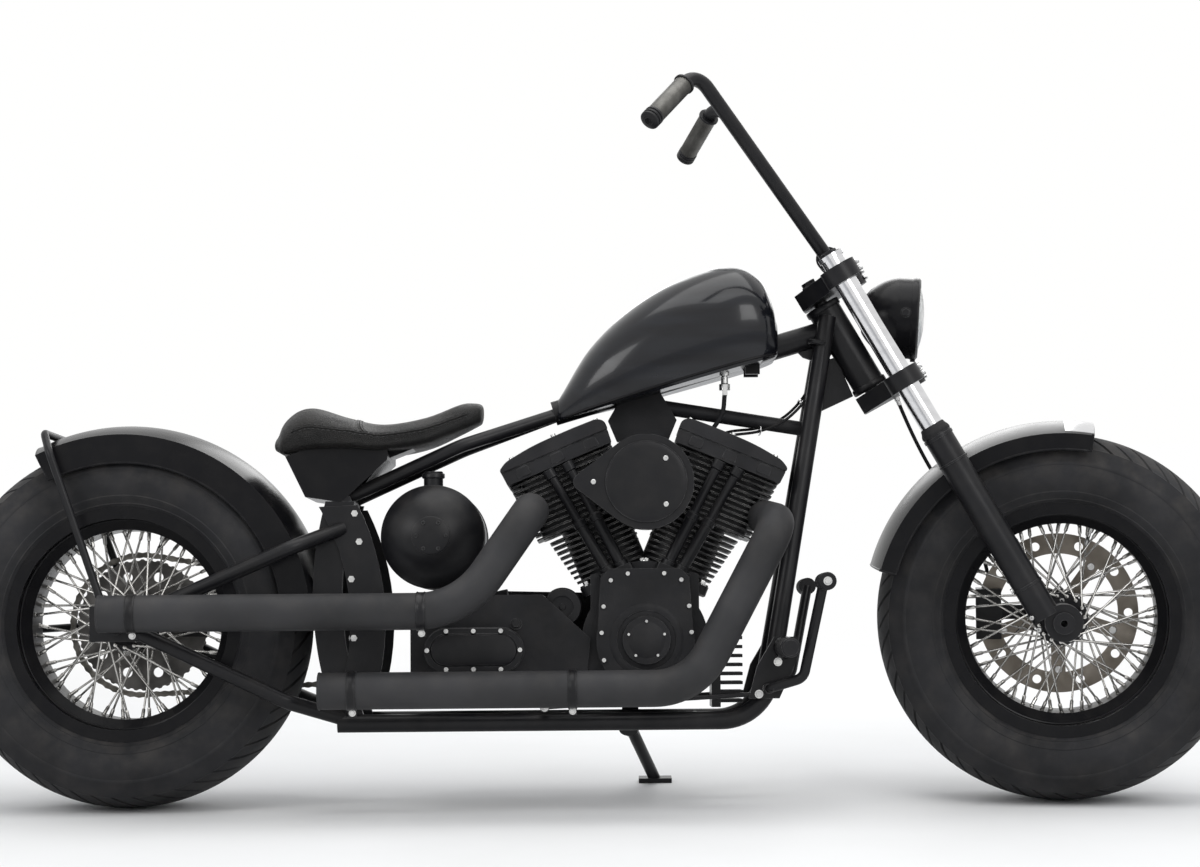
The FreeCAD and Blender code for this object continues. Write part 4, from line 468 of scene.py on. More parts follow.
class Paint(Enum):
    """The finishes of this machine."""

    FRAME = Finish("satin_black", (0.0055, 0.0055, 0.0065), (0.010, 0.010, 0.0115), 0.36, 0.06, specular=0.22,
                   relief=0.03, wear=0.35, dust=0.10)
    GLOSS = Finish("gloss_black", (0.0035, 0.0035, 0.0045), (0.006, 0.006, 0.007), 0.26, 0.04, coat=0.0,
                   specular=0.13, patch_scale=4.0, relief=0.008, wear=0.10, dust=0.07)
    TANK = Finish("gloss_black", (0.0025, 0.0025, 0.004), (0.009, 0.010, 0.013), 0.20, 0.05, coat=0.25,
                  specular=0.26, patch_scale=5.0, stretch=(0.55, 6.0, 9.0), grain=Grain.BRUSHED,
                  grain_scale=420.0, relief=0.015)
    CASE = Finish("satin_black", (0.011, 0.011, 0.012), (0.020, 0.020, 0.022), 0.52, 0.06, specular=0.18,
                  grain=Grain.CAST, grain_scale=650.0, relief=0.13, wear=0.30, dust=0.14)
    FIN = Finish("satin_black", (0.008, 0.008, 0.009), (0.016, 0.016, 0.018), 0.44, 0.08, specular=0.25,
                 grain=Grain.CAST, grain_scale=800.0, relief=0.06, wear=0.65, wear_colour=(0.55, 0.54, 0.52),
                 dust=0.10)
    EXHAUST = Finish("exhaust_black", (0.021, 0.021, 0.022), (0.034, 0.034, 0.036), 0.58, 0.05, specular=0.22,
                     patch_scale=6.0, relief=0.05, wear=0.15, dust=0.12)
    TYRE = Finish("tyre_rubber", (0.013, 0.013, 0.014), (0.023, 0.023, 0.025), 0.64, 0.07, specular=0.16,
                  patch_scale=7.0, grain=Grain.MOULDED, grain_scale=260.0, relief=0.10, wear=0.25,
                  wear_colour=(0.06, 0.058, 0.055), dust=0.26)
    RUBBER = Finish("rubber", (0.009, 0.009, 0.010), (0.015, 0.015, 0.016), 0.66, 0.06, specular=0.16,
                    grain=Grain.MOULDED, grain_scale=500.0, relief=0.10, dust=0.15)
    KNURL = Finish("knurled_steel", (0.075, 0.073, 0.068), (0.14, 0.137, 0.128), 0.42, 0.09, metallic=0.85,
                   patch_scale=30.0, relief=0.08, wear=0.5, wear_colour=(0.5, 0.49, 0.47))
    CHROME = Finish("bright_steel", (0.62, 0.62, 0.63), (0.72, 0.72, 0.73), 0.12, 0.04, metallic=1.0,
                    patch_scale=14.0, stretch=(1.0, 1.0, 6.0), grain=Grain.BRUSHED, grain_scale=300.0,
                    relief=0.01)
    BOLT = Finish("bright_steel", (0.50, 0.50, 0.50), (0.66, 0.66, 0.65), 0.26, 0.08, metallic=1.0,
                  patch_scale=60.0, relief=0.03)
    SPOKE = Finish("spoke_steel", (0.38, 0.37, 0.355), (0.55, 0.54, 0.52), 0.24, 0.07, metallic=1.0,
                   patch_scale=40.0, relief=0.02, dust=0.06)
    DISC = Finish("disc_steel", (0.165, 0.145, 0.120), (0.24, 0.215, 0.185), 0.34, 0.08, metallic=0.9,
                  patch_scale=18.0, grain=Grain.BRUSHED, grain_scale=500.0, relief=0.05, wear=0.3,
                  wear_colour=(0.45, 0.43, 0.40))
    DARK_DISC = Finish("disc_steel", (0.060, 0.058, 0.056), (0.125, 0.12, 0.115), 0.36, 0.08, metallic=0.9,
                       patch_scale=20.0, grain=Grain.BRUSHED, grain_scale=500.0, relief=0.05, wear=0.5,
                       wear_colour=(0.45, 0.43, 0.40))
    CHAIN = Finish("disc_steel", (0.10, 0.095, 0.085), (0.20, 0.19, 0.17), 0.36, 0.09, metallic=0.95,
                   patch_scale=50.0, relief=0.03, wear=0.4, dust=0.1)
    HIDE = Finish("leather", (0.0068, 0.0066, 0.0066), (0.013, 0.0125, 0.012), 0.46, 0.07, specular=0.25,
                  patch_scale=7.0, grain=Grain.HIDE, grain_scale=330.0, relief=0.22, wear=0.12,
                  wear_colour=(0.035, 0.032, 0.03), dust=0.08)
    THREAD = Finish("leather", (0.012, 0.012, 0.012), (0.03, 0.03, 0.03), 0.55, 0.05, grain=Grain.BRUSHED,
                    grain_scale=1500.0, relief=0.1)
    GLASS = Finish("lamp_glass", (0.80, 0.82, 0.82), (0.88, 0.90, 0.90), 0.05, 0.02, clear=0.9,
                   patch_scale=20.0, relief=0.02)
    REFLECTOR = Finish("bright_steel", (0.75, 0.75, 0.76), (0.82, 0.82, 0.83), 0.10, 0.03, metallic=1.0,
                       patch_scale=16.0, relief=0.02)
    RED_GLASS = Finish("red_lens", (0.28, 0.006, 0.006), (0.40, 0.012, 0.010), 0.14, 0.04, coat=0.5,
                       patch_scale=40.0, relief=0.03)
    PLATE = Finish("satin_black", (0.55, 0.56, 0.55), (0.62, 0.62, 0.61), 0.38, 0.06, patch_scale=12.0,
                   relief=0.02, dust=0.2)


DUST_COLOUR: Place = (0.20, 0.18, 0.155)


class ShaderKit:
    """The effects that several materials share, each built once as a node group."""

    def __init__(self) -> None:
        """Build the groups."""
        self.patches = self.make("Uneven colour", {"Scale": 9.0, "Detail": 4.0}, {"Share": "FLOAT"}, self._patches)
        self.wear = self.make("Edge wear", {"Amount": 0.3, "Scale": 60.0}, {"Mask": "FLOAT"}, self._wear)
        self.dust = self.make("Dust", {"Amount": 0.1, "Scale": 25.0}, {"Mask": "FLOAT"}, self._dust)
        self.grains = {
            Grain.POWDER: self.make("Powder grain", {"Scale": 900.0}, {"Height": "FLOAT"}, self._powder),
            Grain.CAST: self.make("Wrinkle grain", {"Scale": 650.0}, {"Height": "FLOAT"}, self._cast),
            Grain.BRUSHED: self.make("Brushed grain", {"Scale": 400.0}, {"Height": "FLOAT"}, self._brushed),
            Grain.HIDE: self.make("Hide grain", {"Scale": 330.0}, {"Height": "FLOAT"}, self._hide),
            Grain.MOULDED: self.make("Moulded grain", {"Scale": 260.0}, {"Height": "FLOAT"}, self._powder),
        }

    @staticmethod
    def make(name: str, numbers: dict[str, float], results: dict[str, str],
             fill: Callable[..., dict[str, Socket]]) -> bpy.types.NodeTree:
        """Build one group.

        Args:
            name: the group's name.
            numbers: its number inputs with their defaults.
            results: its outputs with their kinds.
            fill: a function that adds the nodes and gives each output's socket.

        Returns:
            The group.
        """
        group = bpy.data.node_groups.new(name, "ShaderNodeTree")
        group.interface.new_socket("Vector", in_out="INPUT", socket_type="NodeSocketVector")
        for label, amount in numbers.items():
            group.interface.new_socket(label, in_out="INPUT", socket_type="NodeSocketFloat").default_value = amount
        for label, kind in results.items():
            group.interface.new_socket(label, in_out="OUTPUT", socket_type="NodeSocket" + kind.title())
        entry = group.nodes.new("NodeGroupInput")
        leave = group.nodes.new("NodeGroupOutput")
        for label, socket in fill(group, entry).items():
            group.links.new(socket, leave.inputs[label])
        return group

    @staticmethod
    def noise(group: bpy.types.NodeTree, vector: Socket, scale: Value, detail: float = 3.0,
              rough: float = 0.55) -> Socket:
        """Add a noise texture and give its value's socket.

        Args:
            group: the group that the node goes in.
            vector: where the texture reads its place.
            scale: its scale, or the socket that gives it.
            detail: how many finer layers it has.
            rough: how strong the finer layers are.

        Returns:
            The value's socket.
        """
        node = group.nodes.new("ShaderNodeTexNoise")
        node.inputs["Detail"].default_value = detail
        node.inputs["Roughness"].default_value = rough
        group.links.new(vector, node.inputs["Vector"])
        if isinstance(scale, (int, float)):
            node.inputs["Scale"].default_value = scale
        else:
            group.links.new(scale, node.inputs["Scale"])
        return node.outputs["Fac"]

    @staticmethod
    def ramp(group: bpy.types.NodeTree, value: Socket, low: float, high: float, out: Flat = (0.0, 1.0)) -> Socket:
        """Map a value from low..high to out, without going past it, and give the socket.

        Args:
            group: the group that the node goes in.
            value: the value to map.
            low: where the range starts.
            high: where it ends.
            out: what the two ends become.

        Returns:
            The mapped value's socket.
        """
        node = group.nodes.new("ShaderNodeMapRange")
        for label, amount in (("From Min", low), ("From Max", high), ("To Min", out[0]), ("To Max", out[1])):
            node.inputs[label].default_value = amount
        group.links.new(value, node.inputs["Value"])
        return node.outputs["Result"]

    @staticmethod
    def times(group: bpy.types.NodeTree, a: Value, b: Value, operation: str = "MULTIPLY") -> Socket:
        """Join two values by an operation and give the socket.

        Args:
            group: the group that the node goes in.
            a: the first value or socket.
            b: the second value or socket.
            operation: what joins them.

        Returns:
            The result's socket.
        """
        node = group.nodes.new("ShaderNodeMath")
        node.operation = operation
        for socket, value in zip(node.inputs, (a, b)):
            if isinstance(value, (int, float)):
                socket.default_value = value
            else:
                group.links.new(value, socket)
        return node.outputs[0]

    def _patches(self, group: bpy.types.NodeTree, entry: bpy.types.Node) -> dict[str, Socket]:
        """Uneven colour: broad clouds with a little fine mottle."""
        broad = self.noise(group, entry.outputs["Vector"], entry.outputs["Scale"], 4.0)
        return {"Share": self.ramp(group, broad, 0.34, 0.68)}

    def _wear(self, group: bpy.types.NodeTree, entry: bpy.types.Node) -> dict[str, Socket]:
        """Edge wear: where a rounded edge would turn from the face, broken up by noise.

        Args:
            group: the group that the nodes go in.
            entry: its input node.

        Returns:
            Its output's socket by name.
        """
        rounded = group.nodes.new("ShaderNodeBevel")
        rounded.samples = 4
        rounded.inputs["Radius"].default_value = 0.0012
        shape = group.nodes.new("ShaderNodeNewGeometry")
        match = group.nodes.new("ShaderNodeVectorMath")
        match.operation = "DOT_PRODUCT"
        group.links.new(rounded.outputs[0], match.inputs[0])
        group.links.new(shape.outputs["Normal"], match.inputs[1])
        edge = self.ramp(group, match.outputs["Value"], 0.995, 0.90)
        broken = self.ramp(group, self.noise(group, entry.outputs["Vector"], entry.outputs["Scale"], 5.0), 0.36, 0.60)
        return {"Mask": self.times(group, self.times(group, edge, broken), entry.outputs["Amount"])}

    def _dust(self, group: bpy.types.NodeTree, entry: bpy.types.Node) -> dict[str, Socket]:
        """Dust: faces that look up, in soft patches.

        Args:
            group: the group that the nodes go in.
            entry: its input node.

        Returns:
            Its output's socket by name.
        """
        place = group.nodes.new("ShaderNodeTexCoord")
        split = group.nodes.new("ShaderNodeSeparateXYZ")
        group.links.new(place.outputs["Normal"], split.inputs[0])
        level = self.ramp(group, split.outputs["Z"], 0.0, 1.0, (0.25, 1.0))
        soft = self.ramp(group, self.noise(group, entry.outputs["Vector"], entry.outputs["Scale"], 5.0), 0.42, 0.80)
        return {"Mask": self.times(group, self.times(group, level, soft), entry.outputs["Amount"])}

    def _powder(self, group: bpy.types.NodeTree, entry: bpy.types.Node) -> dict[str, Socket]:
        """A fine even orange peel."""
        return {"Height": self.noise(group, entry.outputs["Vector"], entry.outputs["Scale"], 2.0)}

    def _cast(self, group: bpy.types.NodeTree, entry: bpy.types.Node) -> dict[str, Socket]:
        """Wrinkle paint on a casting: fine cells over a coarser one.

        Args:
            group: the group that the nodes go in.
            entry: its input node.

        Returns:
            Its output's socket by name.
        """
        fine = self.noise(group, entry.outputs["Vector"], entry.outputs["Scale"], 5.0, 0.7)
        coarse = self.noise(group, entry.outputs["Vector"], 70.0, 3.0)
        return {"Height": self.times(group, fine, self.times(group, coarse, 0.6), "ADD")}

    def _brushed(self, group: bpy.types.NodeTree, entry: bpy.types.Node) -> dict[str, Socket]:
        """Long fine scratches along X.

        Args:
            group: the group that the nodes go in.
            entry: its input node.

        Returns:
            Its output's socket by name.
        """
        turn = group.nodes.new("ShaderNodeMapping")
        turn.inputs["Scale"].default_value = (0.06, 1.0, 1.0)
        group.links.new(entry.outputs["Vector"], turn.inputs["Vector"])
        return {"Height": self.noise(group, turn.outputs["Vector"], entry.outputs["Scale"], 3.0)}

    def _hide(self, group: bpy.types.NodeTree, entry: bpy.types.Node) -> dict[str, Socket]:
        """Hide: small cells with creases between them, and longer soft folds.

        Args:
            group: the group that the nodes go in.
            entry: its input node.

        Returns:
            Its output's socket by name.
        """
        cells = group.nodes.new("ShaderNodeTexVoronoi")
        cells.feature = "DISTANCE_TO_EDGE"
        group.links.new(entry.outputs["Vector"], cells.inputs["Vector"])
        group.links.new(entry.outputs["Scale"], cells.inputs["Scale"])
        creases = self.ramp(group, cells.outputs["Distance"], 0.0, 0.16)
        folds = self.noise(group, entry.outputs["Vector"], 26.0, 3.0)
        return {"Height": self.times(group, creases, folds, "ADD")}


class Finishes:
    """Makes each finish's material once."""

    def __init__(self) -> None:
        """Build the shared groups."""
        self.kit = ShaderKit()
        self.made: dict[Paint, bpy.types.Material] = {}

    @staticmethod
    def finish(paint: Paint) -> Finish:
        """The finish that a paint stands for."""
        return paint.value

    @staticmethod
    def mix(tree: bpy.types.NodeTree, share: Socket, first: Union[tuple, Socket],
            second: Union[tuple, Socket]) -> Socket:
        """Mix two colours, each a tuple or a socket, by a share and give the socket.

        Args:
            tree: the material's nodes.
            share: how much of the second colour shows.
            first: the first colour.
            second: the second colour.

        Returns:
            The mixed colour's socket.
        """
        node = tree.nodes.new("ShaderNodeMix")
        node.data_type = "RGBA"
        tree.links.new(share, node.inputs["Factor"])
        for socket, value in ((node.inputs[6], first), (node.inputs[7], second)):
            if isinstance(value, tuple):
                socket.default_value = (*value, 1.0)
            else:
                tree.links.new(value, socket)
        return node.outputs[2]

    def use(self, tree: bpy.types.NodeTree, group: bpy.types.NodeTree, vector: Socket, **numbers: float) -> Socket:
        """Place a shared group in a material.

        Args:
            tree: the material's nodes.
            group: the shared group.
            vector: the socket it takes its place from.
            **numbers: its other inputs.

        Returns:
            The group's first output.
        """
        node = tree.nodes.new("ShaderNodeGroup")
        node.node_tree = group
        tree.links.new(vector, node.inputs["Vector"])
        for label, amount in numbers.items():
            node.inputs[label.title()].default_value = amount
        return node.outputs[0]

    def material(self, paint: Paint) -> bpy.types.Material:
        """Make a finish's material, or give the one made before.

        Args:
            paint: which finish.

        Returns:
            The material.
        """
        if paint in self.made:
            return self.made[paint]
        look = self.finish(paint)
        made = bpy.data.materials.new(paint.name.lower())
        made.use_nodes = True
        tree = made.node_tree
        shader = tree.nodes["Principled BSDF"]
        place = tree.nodes.new("ShaderNodeTexCoord").outputs["Object"]
        spread = tree.nodes.new("ShaderNodeMapping")
        spread.inputs["Scale"].default_value = look.stretch
        tree.links.new(place, spread.inputs["Vector"])
        patches = self.use(tree, self.kit.patches, spread.outputs["Vector"], scale=look.patch_scale)
        colour = self.mix(tree, patches, look.base, look.second)
        rough = self.kit.ramp(tree, patches, 0.0, 1.0, (look.roughness + look.spread, look.roughness - look.spread))
        if look.wear:
            mask = self.use(tree, self.kit.wear, place, amount=look.wear)
            colour = self.mix(tree, mask, colour, look.wear_colour)
            if look.metallic < 0.5:
                tree.links.new(mask, shader.inputs["Metallic"])
        if look.dust:
            mask = self.use(tree, self.kit.dust, place, amount=look.dust)
            colour = self.mix(tree, mask, colour, DUST_COLOUR)
            rough = self.kit.times(tree, rough, self.kit.times(tree, mask, 0.5), "ADD")
        tree.links.new(colour, shader.inputs["Base Color"])
        tree.links.new(rough, shader.inputs["Roughness"])
        if not shader.inputs["Metallic"].is_linked:
            shader.inputs["Metallic"].default_value = look.metallic
        shader.inputs["Coat Weight"].default_value = look.coat
        shader.inputs["Coat Roughness"].default_value = 0.06
        shader.inputs["Specular IOR Level"].default_value = look.specular
        shader.inputs["Transmission Weight"].default_value = look.clear
        height = self.use(tree, self.kit.grains[look.grain], place, scale=look.grain_scale)
        bump = tree.nodes.new("ShaderNodeBump")
        bump.inputs["Strength"].default_value = min(1.0, look.relief * 4)
        bump.inputs["Distance"].default_value = look.relief / 200
        tree.links.new(height, bump.inputs["Height"])
        tree.links.new(bump.outputs["Normal"], shader.inputs["Normal"])
        self.made[paint] = made
        return made

    def repaint(self, nodes: Sequence[str], paint: Paint) -> None:
        """Give CAD nodes a finish in the slots they already have.

        Args:
            nodes: the CAD nodes' names.
            paint: their finish.
        """
        for name in nodes:
            thing = frame["nodes"][name]
            for place in thing.material_slots:
                place.material = self.material(paint)
        log.info("%s on %d CAD nodes", paint.name.lower(), len(nodes))


FINISHES = Finishes()


# ------------------------------------------------------------------ geometry nodes for what repeats
class Tree:
    """A geometry node tree, built from named inputs to one geometry output."""

    def __init__(self, name: str, **inputs: object) -> None:
        """Start a tree.

        Args:
            name: its name.
            **inputs: each input's default; None stands for an object.
        """
        self.group = bpy.data.node_groups.new(name, "GeometryNodeTree")
        face = self.group.interface
        face.new_socket("Geometry", in_out="OUTPUT", socket_type="NodeSocketGeometry")
        face.new_socket("Geometry", in_out="INPUT", socket_type="NodeSocketGeometry")
        for label, value in inputs.items():
            kind = {int: "Int", float: "Float", type(None): "Object"}[type(value)]
            socket = face.new_socket(label.replace("_", " "), in_out="INPUT", socket_type="NodeSocket" + kind)
            if value is not None:
                socket.default_value = value
        face.new_socket("Finish", in_out="INPUT", socket_type="NodeSocketMaterial")
        self.entry = self.group.nodes.new("NodeGroupInput")

    def given(self, label: str) -> Socket:
        """The socket of a named input."""
        return self.entry.outputs[label]

    def add(self, kind: str, settings: Optional[dict] = None, **links: object) -> bpy.types.Node:
        """Add a node.

        Args:
            kind: its type, after GeometryNode.
            settings: its properties.
            **links: each input's value, or the socket that feeds it.

        Returns:
            The node.
        """
        prefix = "" if kind.startswith(("Function", "Shader")) else "GeometryNode"
        node = self.group.nodes.new(prefix + kind)
        for label, value in (settings or {}).items():
            setattr(node, label, value)
        for label, value in links.items():
            name = label.replace("_", " ")
            socket = node.inputs[int(name[1:])] if name[0] == "i" and name[1:].isdigit() else node.inputs[name]
            if isinstance(value, bpy.types.NodeSocket):
                self.group.links.new(value, socket)
            else:
                socket.default_value = value
        return node

    def maths(self, operation: str, first: object, second: Optional[object] = None) -> bpy.types.Node:
        """Add a math node on one or two values or sockets."""
        values = {"i0": first} if second is None else {"i0": first, "i1": second}
        return self.add("ShaderNodeMath", {"operation": operation}, **values)

    def attribute(self, name: str, kind: str) -> object:
        """The socket of a named attribute of the input mesh.

        Args:
            name: the attribute's name.
            kind: its data type.

        Returns:
            The socket.
        """
        node = self.add("InputNamedAttribute", {"data_type": kind})
        node.inputs["Name"].default_value = name
        return node.outputs["Attribute"]

    def close(self, geometry: object) -> "Tree":
        """End the tree in Realize Instances and Set Material, and give the tree.

        Args:
            geometry: the socket with the finished shape.

        Returns:
            The tree itself.
        """
        real = self.add("RealizeInstances", Geometry=geometry)
        painted = self.add("SetMaterial", Geometry=real.outputs[0], Material=self.given("Finish"))
        leave = self.group.nodes.new("NodeGroupOutput")
        self.group.links.new(painted.outputs[0], leave.inputs[0])
        return self


class Trees:
    """The trees that this machine's repeats come from."""

    def __init__(self) -> None:
        """Build each tree once."""
        self.scatter = self._scatter()
        self.fins = self._fins()
        self.rods = self._rods()
        self.knurl = self._knurl()

    @staticmethod
    def _scatter() -> Tree:
        """Copies of one small pattern piece at marked places, each with its own turn and size.

        Returns:
            The tree.
        """
        tree = Tree("Set at marks", Pattern=None, Size=1.0)
        shape = tree.add("ObjectInfo", Object=tree.given("Pattern"))
        turn = tree.add("FunctionNodeEulerToRotation", Euler=tree.attribute("turn", "FLOAT_VECTOR"))
        size = tree.maths("MULTIPLY", tree.attribute("size", "FLOAT"), tree.given("Size"))
        marks = tree.add("MeshToPoints", Mesh=tree.given("Geometry"))
        copies = tree.add("InstanceOnPoints", Points=marks.outputs[0], Instance=shape.outputs["Geometry"],
                          Rotation=turn.outputs[0], Scale=size.outputs[0])
        return tree.close(copies.outputs[0])

    @staticmethod
    def _fins() -> Tree:
        """A stack of one plate repeated up Z, narrower at the bottom.

        Returns:
            The tree.
        """
        tree = Tree("Fin stack", Count=10, Pitch=9.0, Low=0.0, Narrow=1.0)
        step = tree.add("ShaderNodeCombineXYZ", Z=tree.given("Pitch"))
        start = tree.add("ShaderNodeCombineXYZ", Z=tree.given("Low"))
        line = tree.add("MeshLine", {"mode": "OFFSET"}, Count=tree.given("Count"), Offset=step.outputs[0],
                        Start_Location=start.outputs[0])
        last = tree.maths("SUBTRACT", tree.given("Count"), 1.0)
        share = tree.maths("DIVIDE", tree.add("InputIndex").outputs[0], last.outputs[0])
        width = tree.add("ShaderNodeMapRange", Value=share.outputs[0], To_Min=tree.given("Narrow"), To_Max=1.0)
        scale = tree.add("ShaderNodeCombineXYZ", X=width.outputs[0], Y=width.outputs[0], Z=1.0)
        copies = tree.add("InstanceOnPoints", Points=line.outputs[0], Instance=tree.given("Geometry"),
                          Scale=scale.outputs[0])
        return tree.close(copies.outputs[0])

    @staticmethod
    def _rods() -> Tree:
        """A round bar along every edge, with its ends closed.

        Returns:
            The tree.
        """
        tree = Tree("Rods on edges", Radius=2.0, Sides=8)
        apart = tree.add("SplitEdges", Mesh=tree.given("Geometry"))
        line = tree.add("MeshToCurve", Mesh=apart.outputs[0])
        ring = tree.add("CurvePrimitiveCircle", Resolution=tree.given("Sides"), Radius=tree.given("Radius"))
        bar = tree.add("CurveToMesh", Curve=line.outputs[0], Profile_Curve=ring.outputs[0], Fill_Caps=True)
        return tree.close(bar.outputs[0])

    @staticmethod
    def _knurl() -> Tree:
        """A sleeve about Z whose skin rises and falls from point to point, in diamonds.

        Returns:
            The tree.
        """
        tree = Tree("Knurled sleeve", Radius=18.0, Length=100.0, Around=60, Along=50, Depth=0.7)
        tube = tree.add("MeshCylinder", {"fill_type": "NONE"}, Vertices=tree.given("Around"),
                        Side_Segments=tree.given("Along"), Radius=tree.given("Radius"), Depth=tree.given("Length"))
        number = tree.add("InputIndex")
        row = tree.maths("DIVIDE", number.outputs[0], tree.given("Around"))
        whole = tree.maths("FLOOR", row.outputs[0])
        total = tree.maths("ADD", whole.outputs[0], number.outputs[0])
        odd = tree.maths("MODULO", total.outputs[0], 2.0)
        drop = tree.maths("MULTIPLY", odd.outputs[0], tree.given("Depth"))
        way = tree.add("ShaderNodeVectorMath", {"operation": "SCALE"}, i0=tree.add("InputNormal").outputs[0],
                       Scale=drop.outputs[0])
        back = tree.add("ShaderNodeVectorMath", {"operation": "SCALE"}, i0=way.outputs[0], Scale=-1.0)
        skin = tree.add("SetPosition", Geometry=tube.outputs["Mesh"], Offset=back.outputs[0])
        return tree.close(skin.outputs[0])


TREES = Trees()


def grow(name: str, tree: Tree, seed: bpy.types.Mesh, paint: Paint, turn: Optional[Matrix] = None,
         **values: object) -> bpy.types.Mesh:
    """Run a tree on a mesh and keep what it makes as a plain mesh, still in upright millimetres.

    Args:
        name: the new mesh's name.
        tree: the tree.
        seed: the mesh it starts from.
        paint: the finish it ends in.
        turn: a matrix to move the result by.
        **values: its inputs.

    Returns:
        The new mesh.
    """
    holder = placed("grow_" + name, seed)
    maker = holder.modifiers.new("Grow", "NODES")
    maker.node_group = tree.group
    sockets = {item.name: item.identifier for item in tree.group.interface.items_tree
               if item.item_type == "SOCKET" and item.in_out == "INPUT"}
    for label, value in values.items():
        maker[sockets[label.replace("_", " ").capitalize()]] = value
    maker[sockets["Finish"]] = FINISHES.material(paint)
    holder.update_tag()
    bpy.context.view_layer.update()
    ready = holder.evaluated_get(bpy.context.evaluated_depsgraph_get())
    mesh = bpy.data.meshes.new_from_object(ready)
    mesh.name = name
    holder.modifiers.remove(maker)
    bpy.data.objects.remove(holder)
    if turn is not None:
        mesh.transform(turn)
    return mesh


def marks(places: Sequence[Matrix], sizes: Optional[Sequence[float]] = None) -> bpy.types.Mesh:
    """Make a mesh of loose points with a turn and a size on each.

    Args:
        places: each mark's frame, in millimetres.
        sizes: each mark's size; 1 where not given.

    Returns:
        The mesh.
    """
    mesh = bpy.data.meshes.new("marks")
    mesh.from_pydata([list(p.translation) for p in places], [], [])
    mesh.attributes.new("turn", "FLOAT_VECTOR", "POINT")
    mesh.attributes.new("size", "FLOAT", "POINT")
    turns = [amount for place in places for amount in place.to_euler("XYZ")]
    mesh.attributes["turn"].data.foreach_set("vector", turns)
    mesh.attributes["size"].data.foreach_set("value", list(sizes) if sizes else [1.0] * len(places))
    return mesh


def scatter(name: str, pattern: Shell, places: Sequence[Matrix], body: Body, paint: Paint,
            sizes: Optional[Sequence[float]] = None, replaces: Sequence[str] = (),
            angle: float = 35.0) -> bpy.types.Object:
    """Set copies of a small pattern piece at many places, as one piece.

    Args:
        name: the piece's name.
        pattern: one copy's shape, drawn about the origin.
        places: each copy's frame.
        body: what the piece rides on.
        paint: its finish.
        sizes: each copy's size.
        replaces: CAD nodes it is shown instead of.
        angle: edges sharper than this stay sharp.

    Returns:
        The piece.
    """
    shape = placed("pattern", pattern.mesh("pattern"))
    mesh = grow(name, TREES.scatter, marks(places, sizes), paint, pattern=shape, size=1.0)
    bpy.data.objects.remove(shape)
    return piece(name, mesh, body, paint, replaces, angle)


def hex_head(across: float = 5.0, height: float = 4.0) -> Shell:
    """A hexagon head on its washer, sitting on Z = 0.

    Args:
        across: its size over the corners, from the middle.
        height: how high it stands.

    Returns:
        The head.
    """
    flat, drop = across * 0.94, height * 0.14
    head = Shell().grid([[(x, y, z) for x, y in circle(r, 6)] for r, z in
                         ((across, height * 0.3), (across, height - drop), (flat, height))], False, True, True)
    return head.prism(circle(across * 1.35, 14), 0.0, height * 0.3)


def cap_screw(radius: float = 5.0, height: float = 5.0) -> Shell:
    """A socket cap screw, sitting on Z = 0, with a hexagon socket in its domed head.

    Args:
        radius: the head's radius.
        height: how high it stands.

    Returns:
        The screw.
    """
    steps = 12
    rings = [(radius, 0.0), (radius, height * 0.75), (radius * 0.84, height), (radius * 0.55, height)]
    rows = [[(x, y, z) for x, y in circle(r, steps)] for r, z in rings]
    socket = [(x * (1.0 if i % 2 else 0.88), y * (1.0 if i % 2 else 0.88))
              for i, (x, y) in enumerate(circle(radius * 0.50, steps))]
    rows.append([(x, y, height) for x, y in socket])
    rows.append([(x, y, height * 0.45) for x, y in socket])
    return Shell().grid(rows, False, True, True)


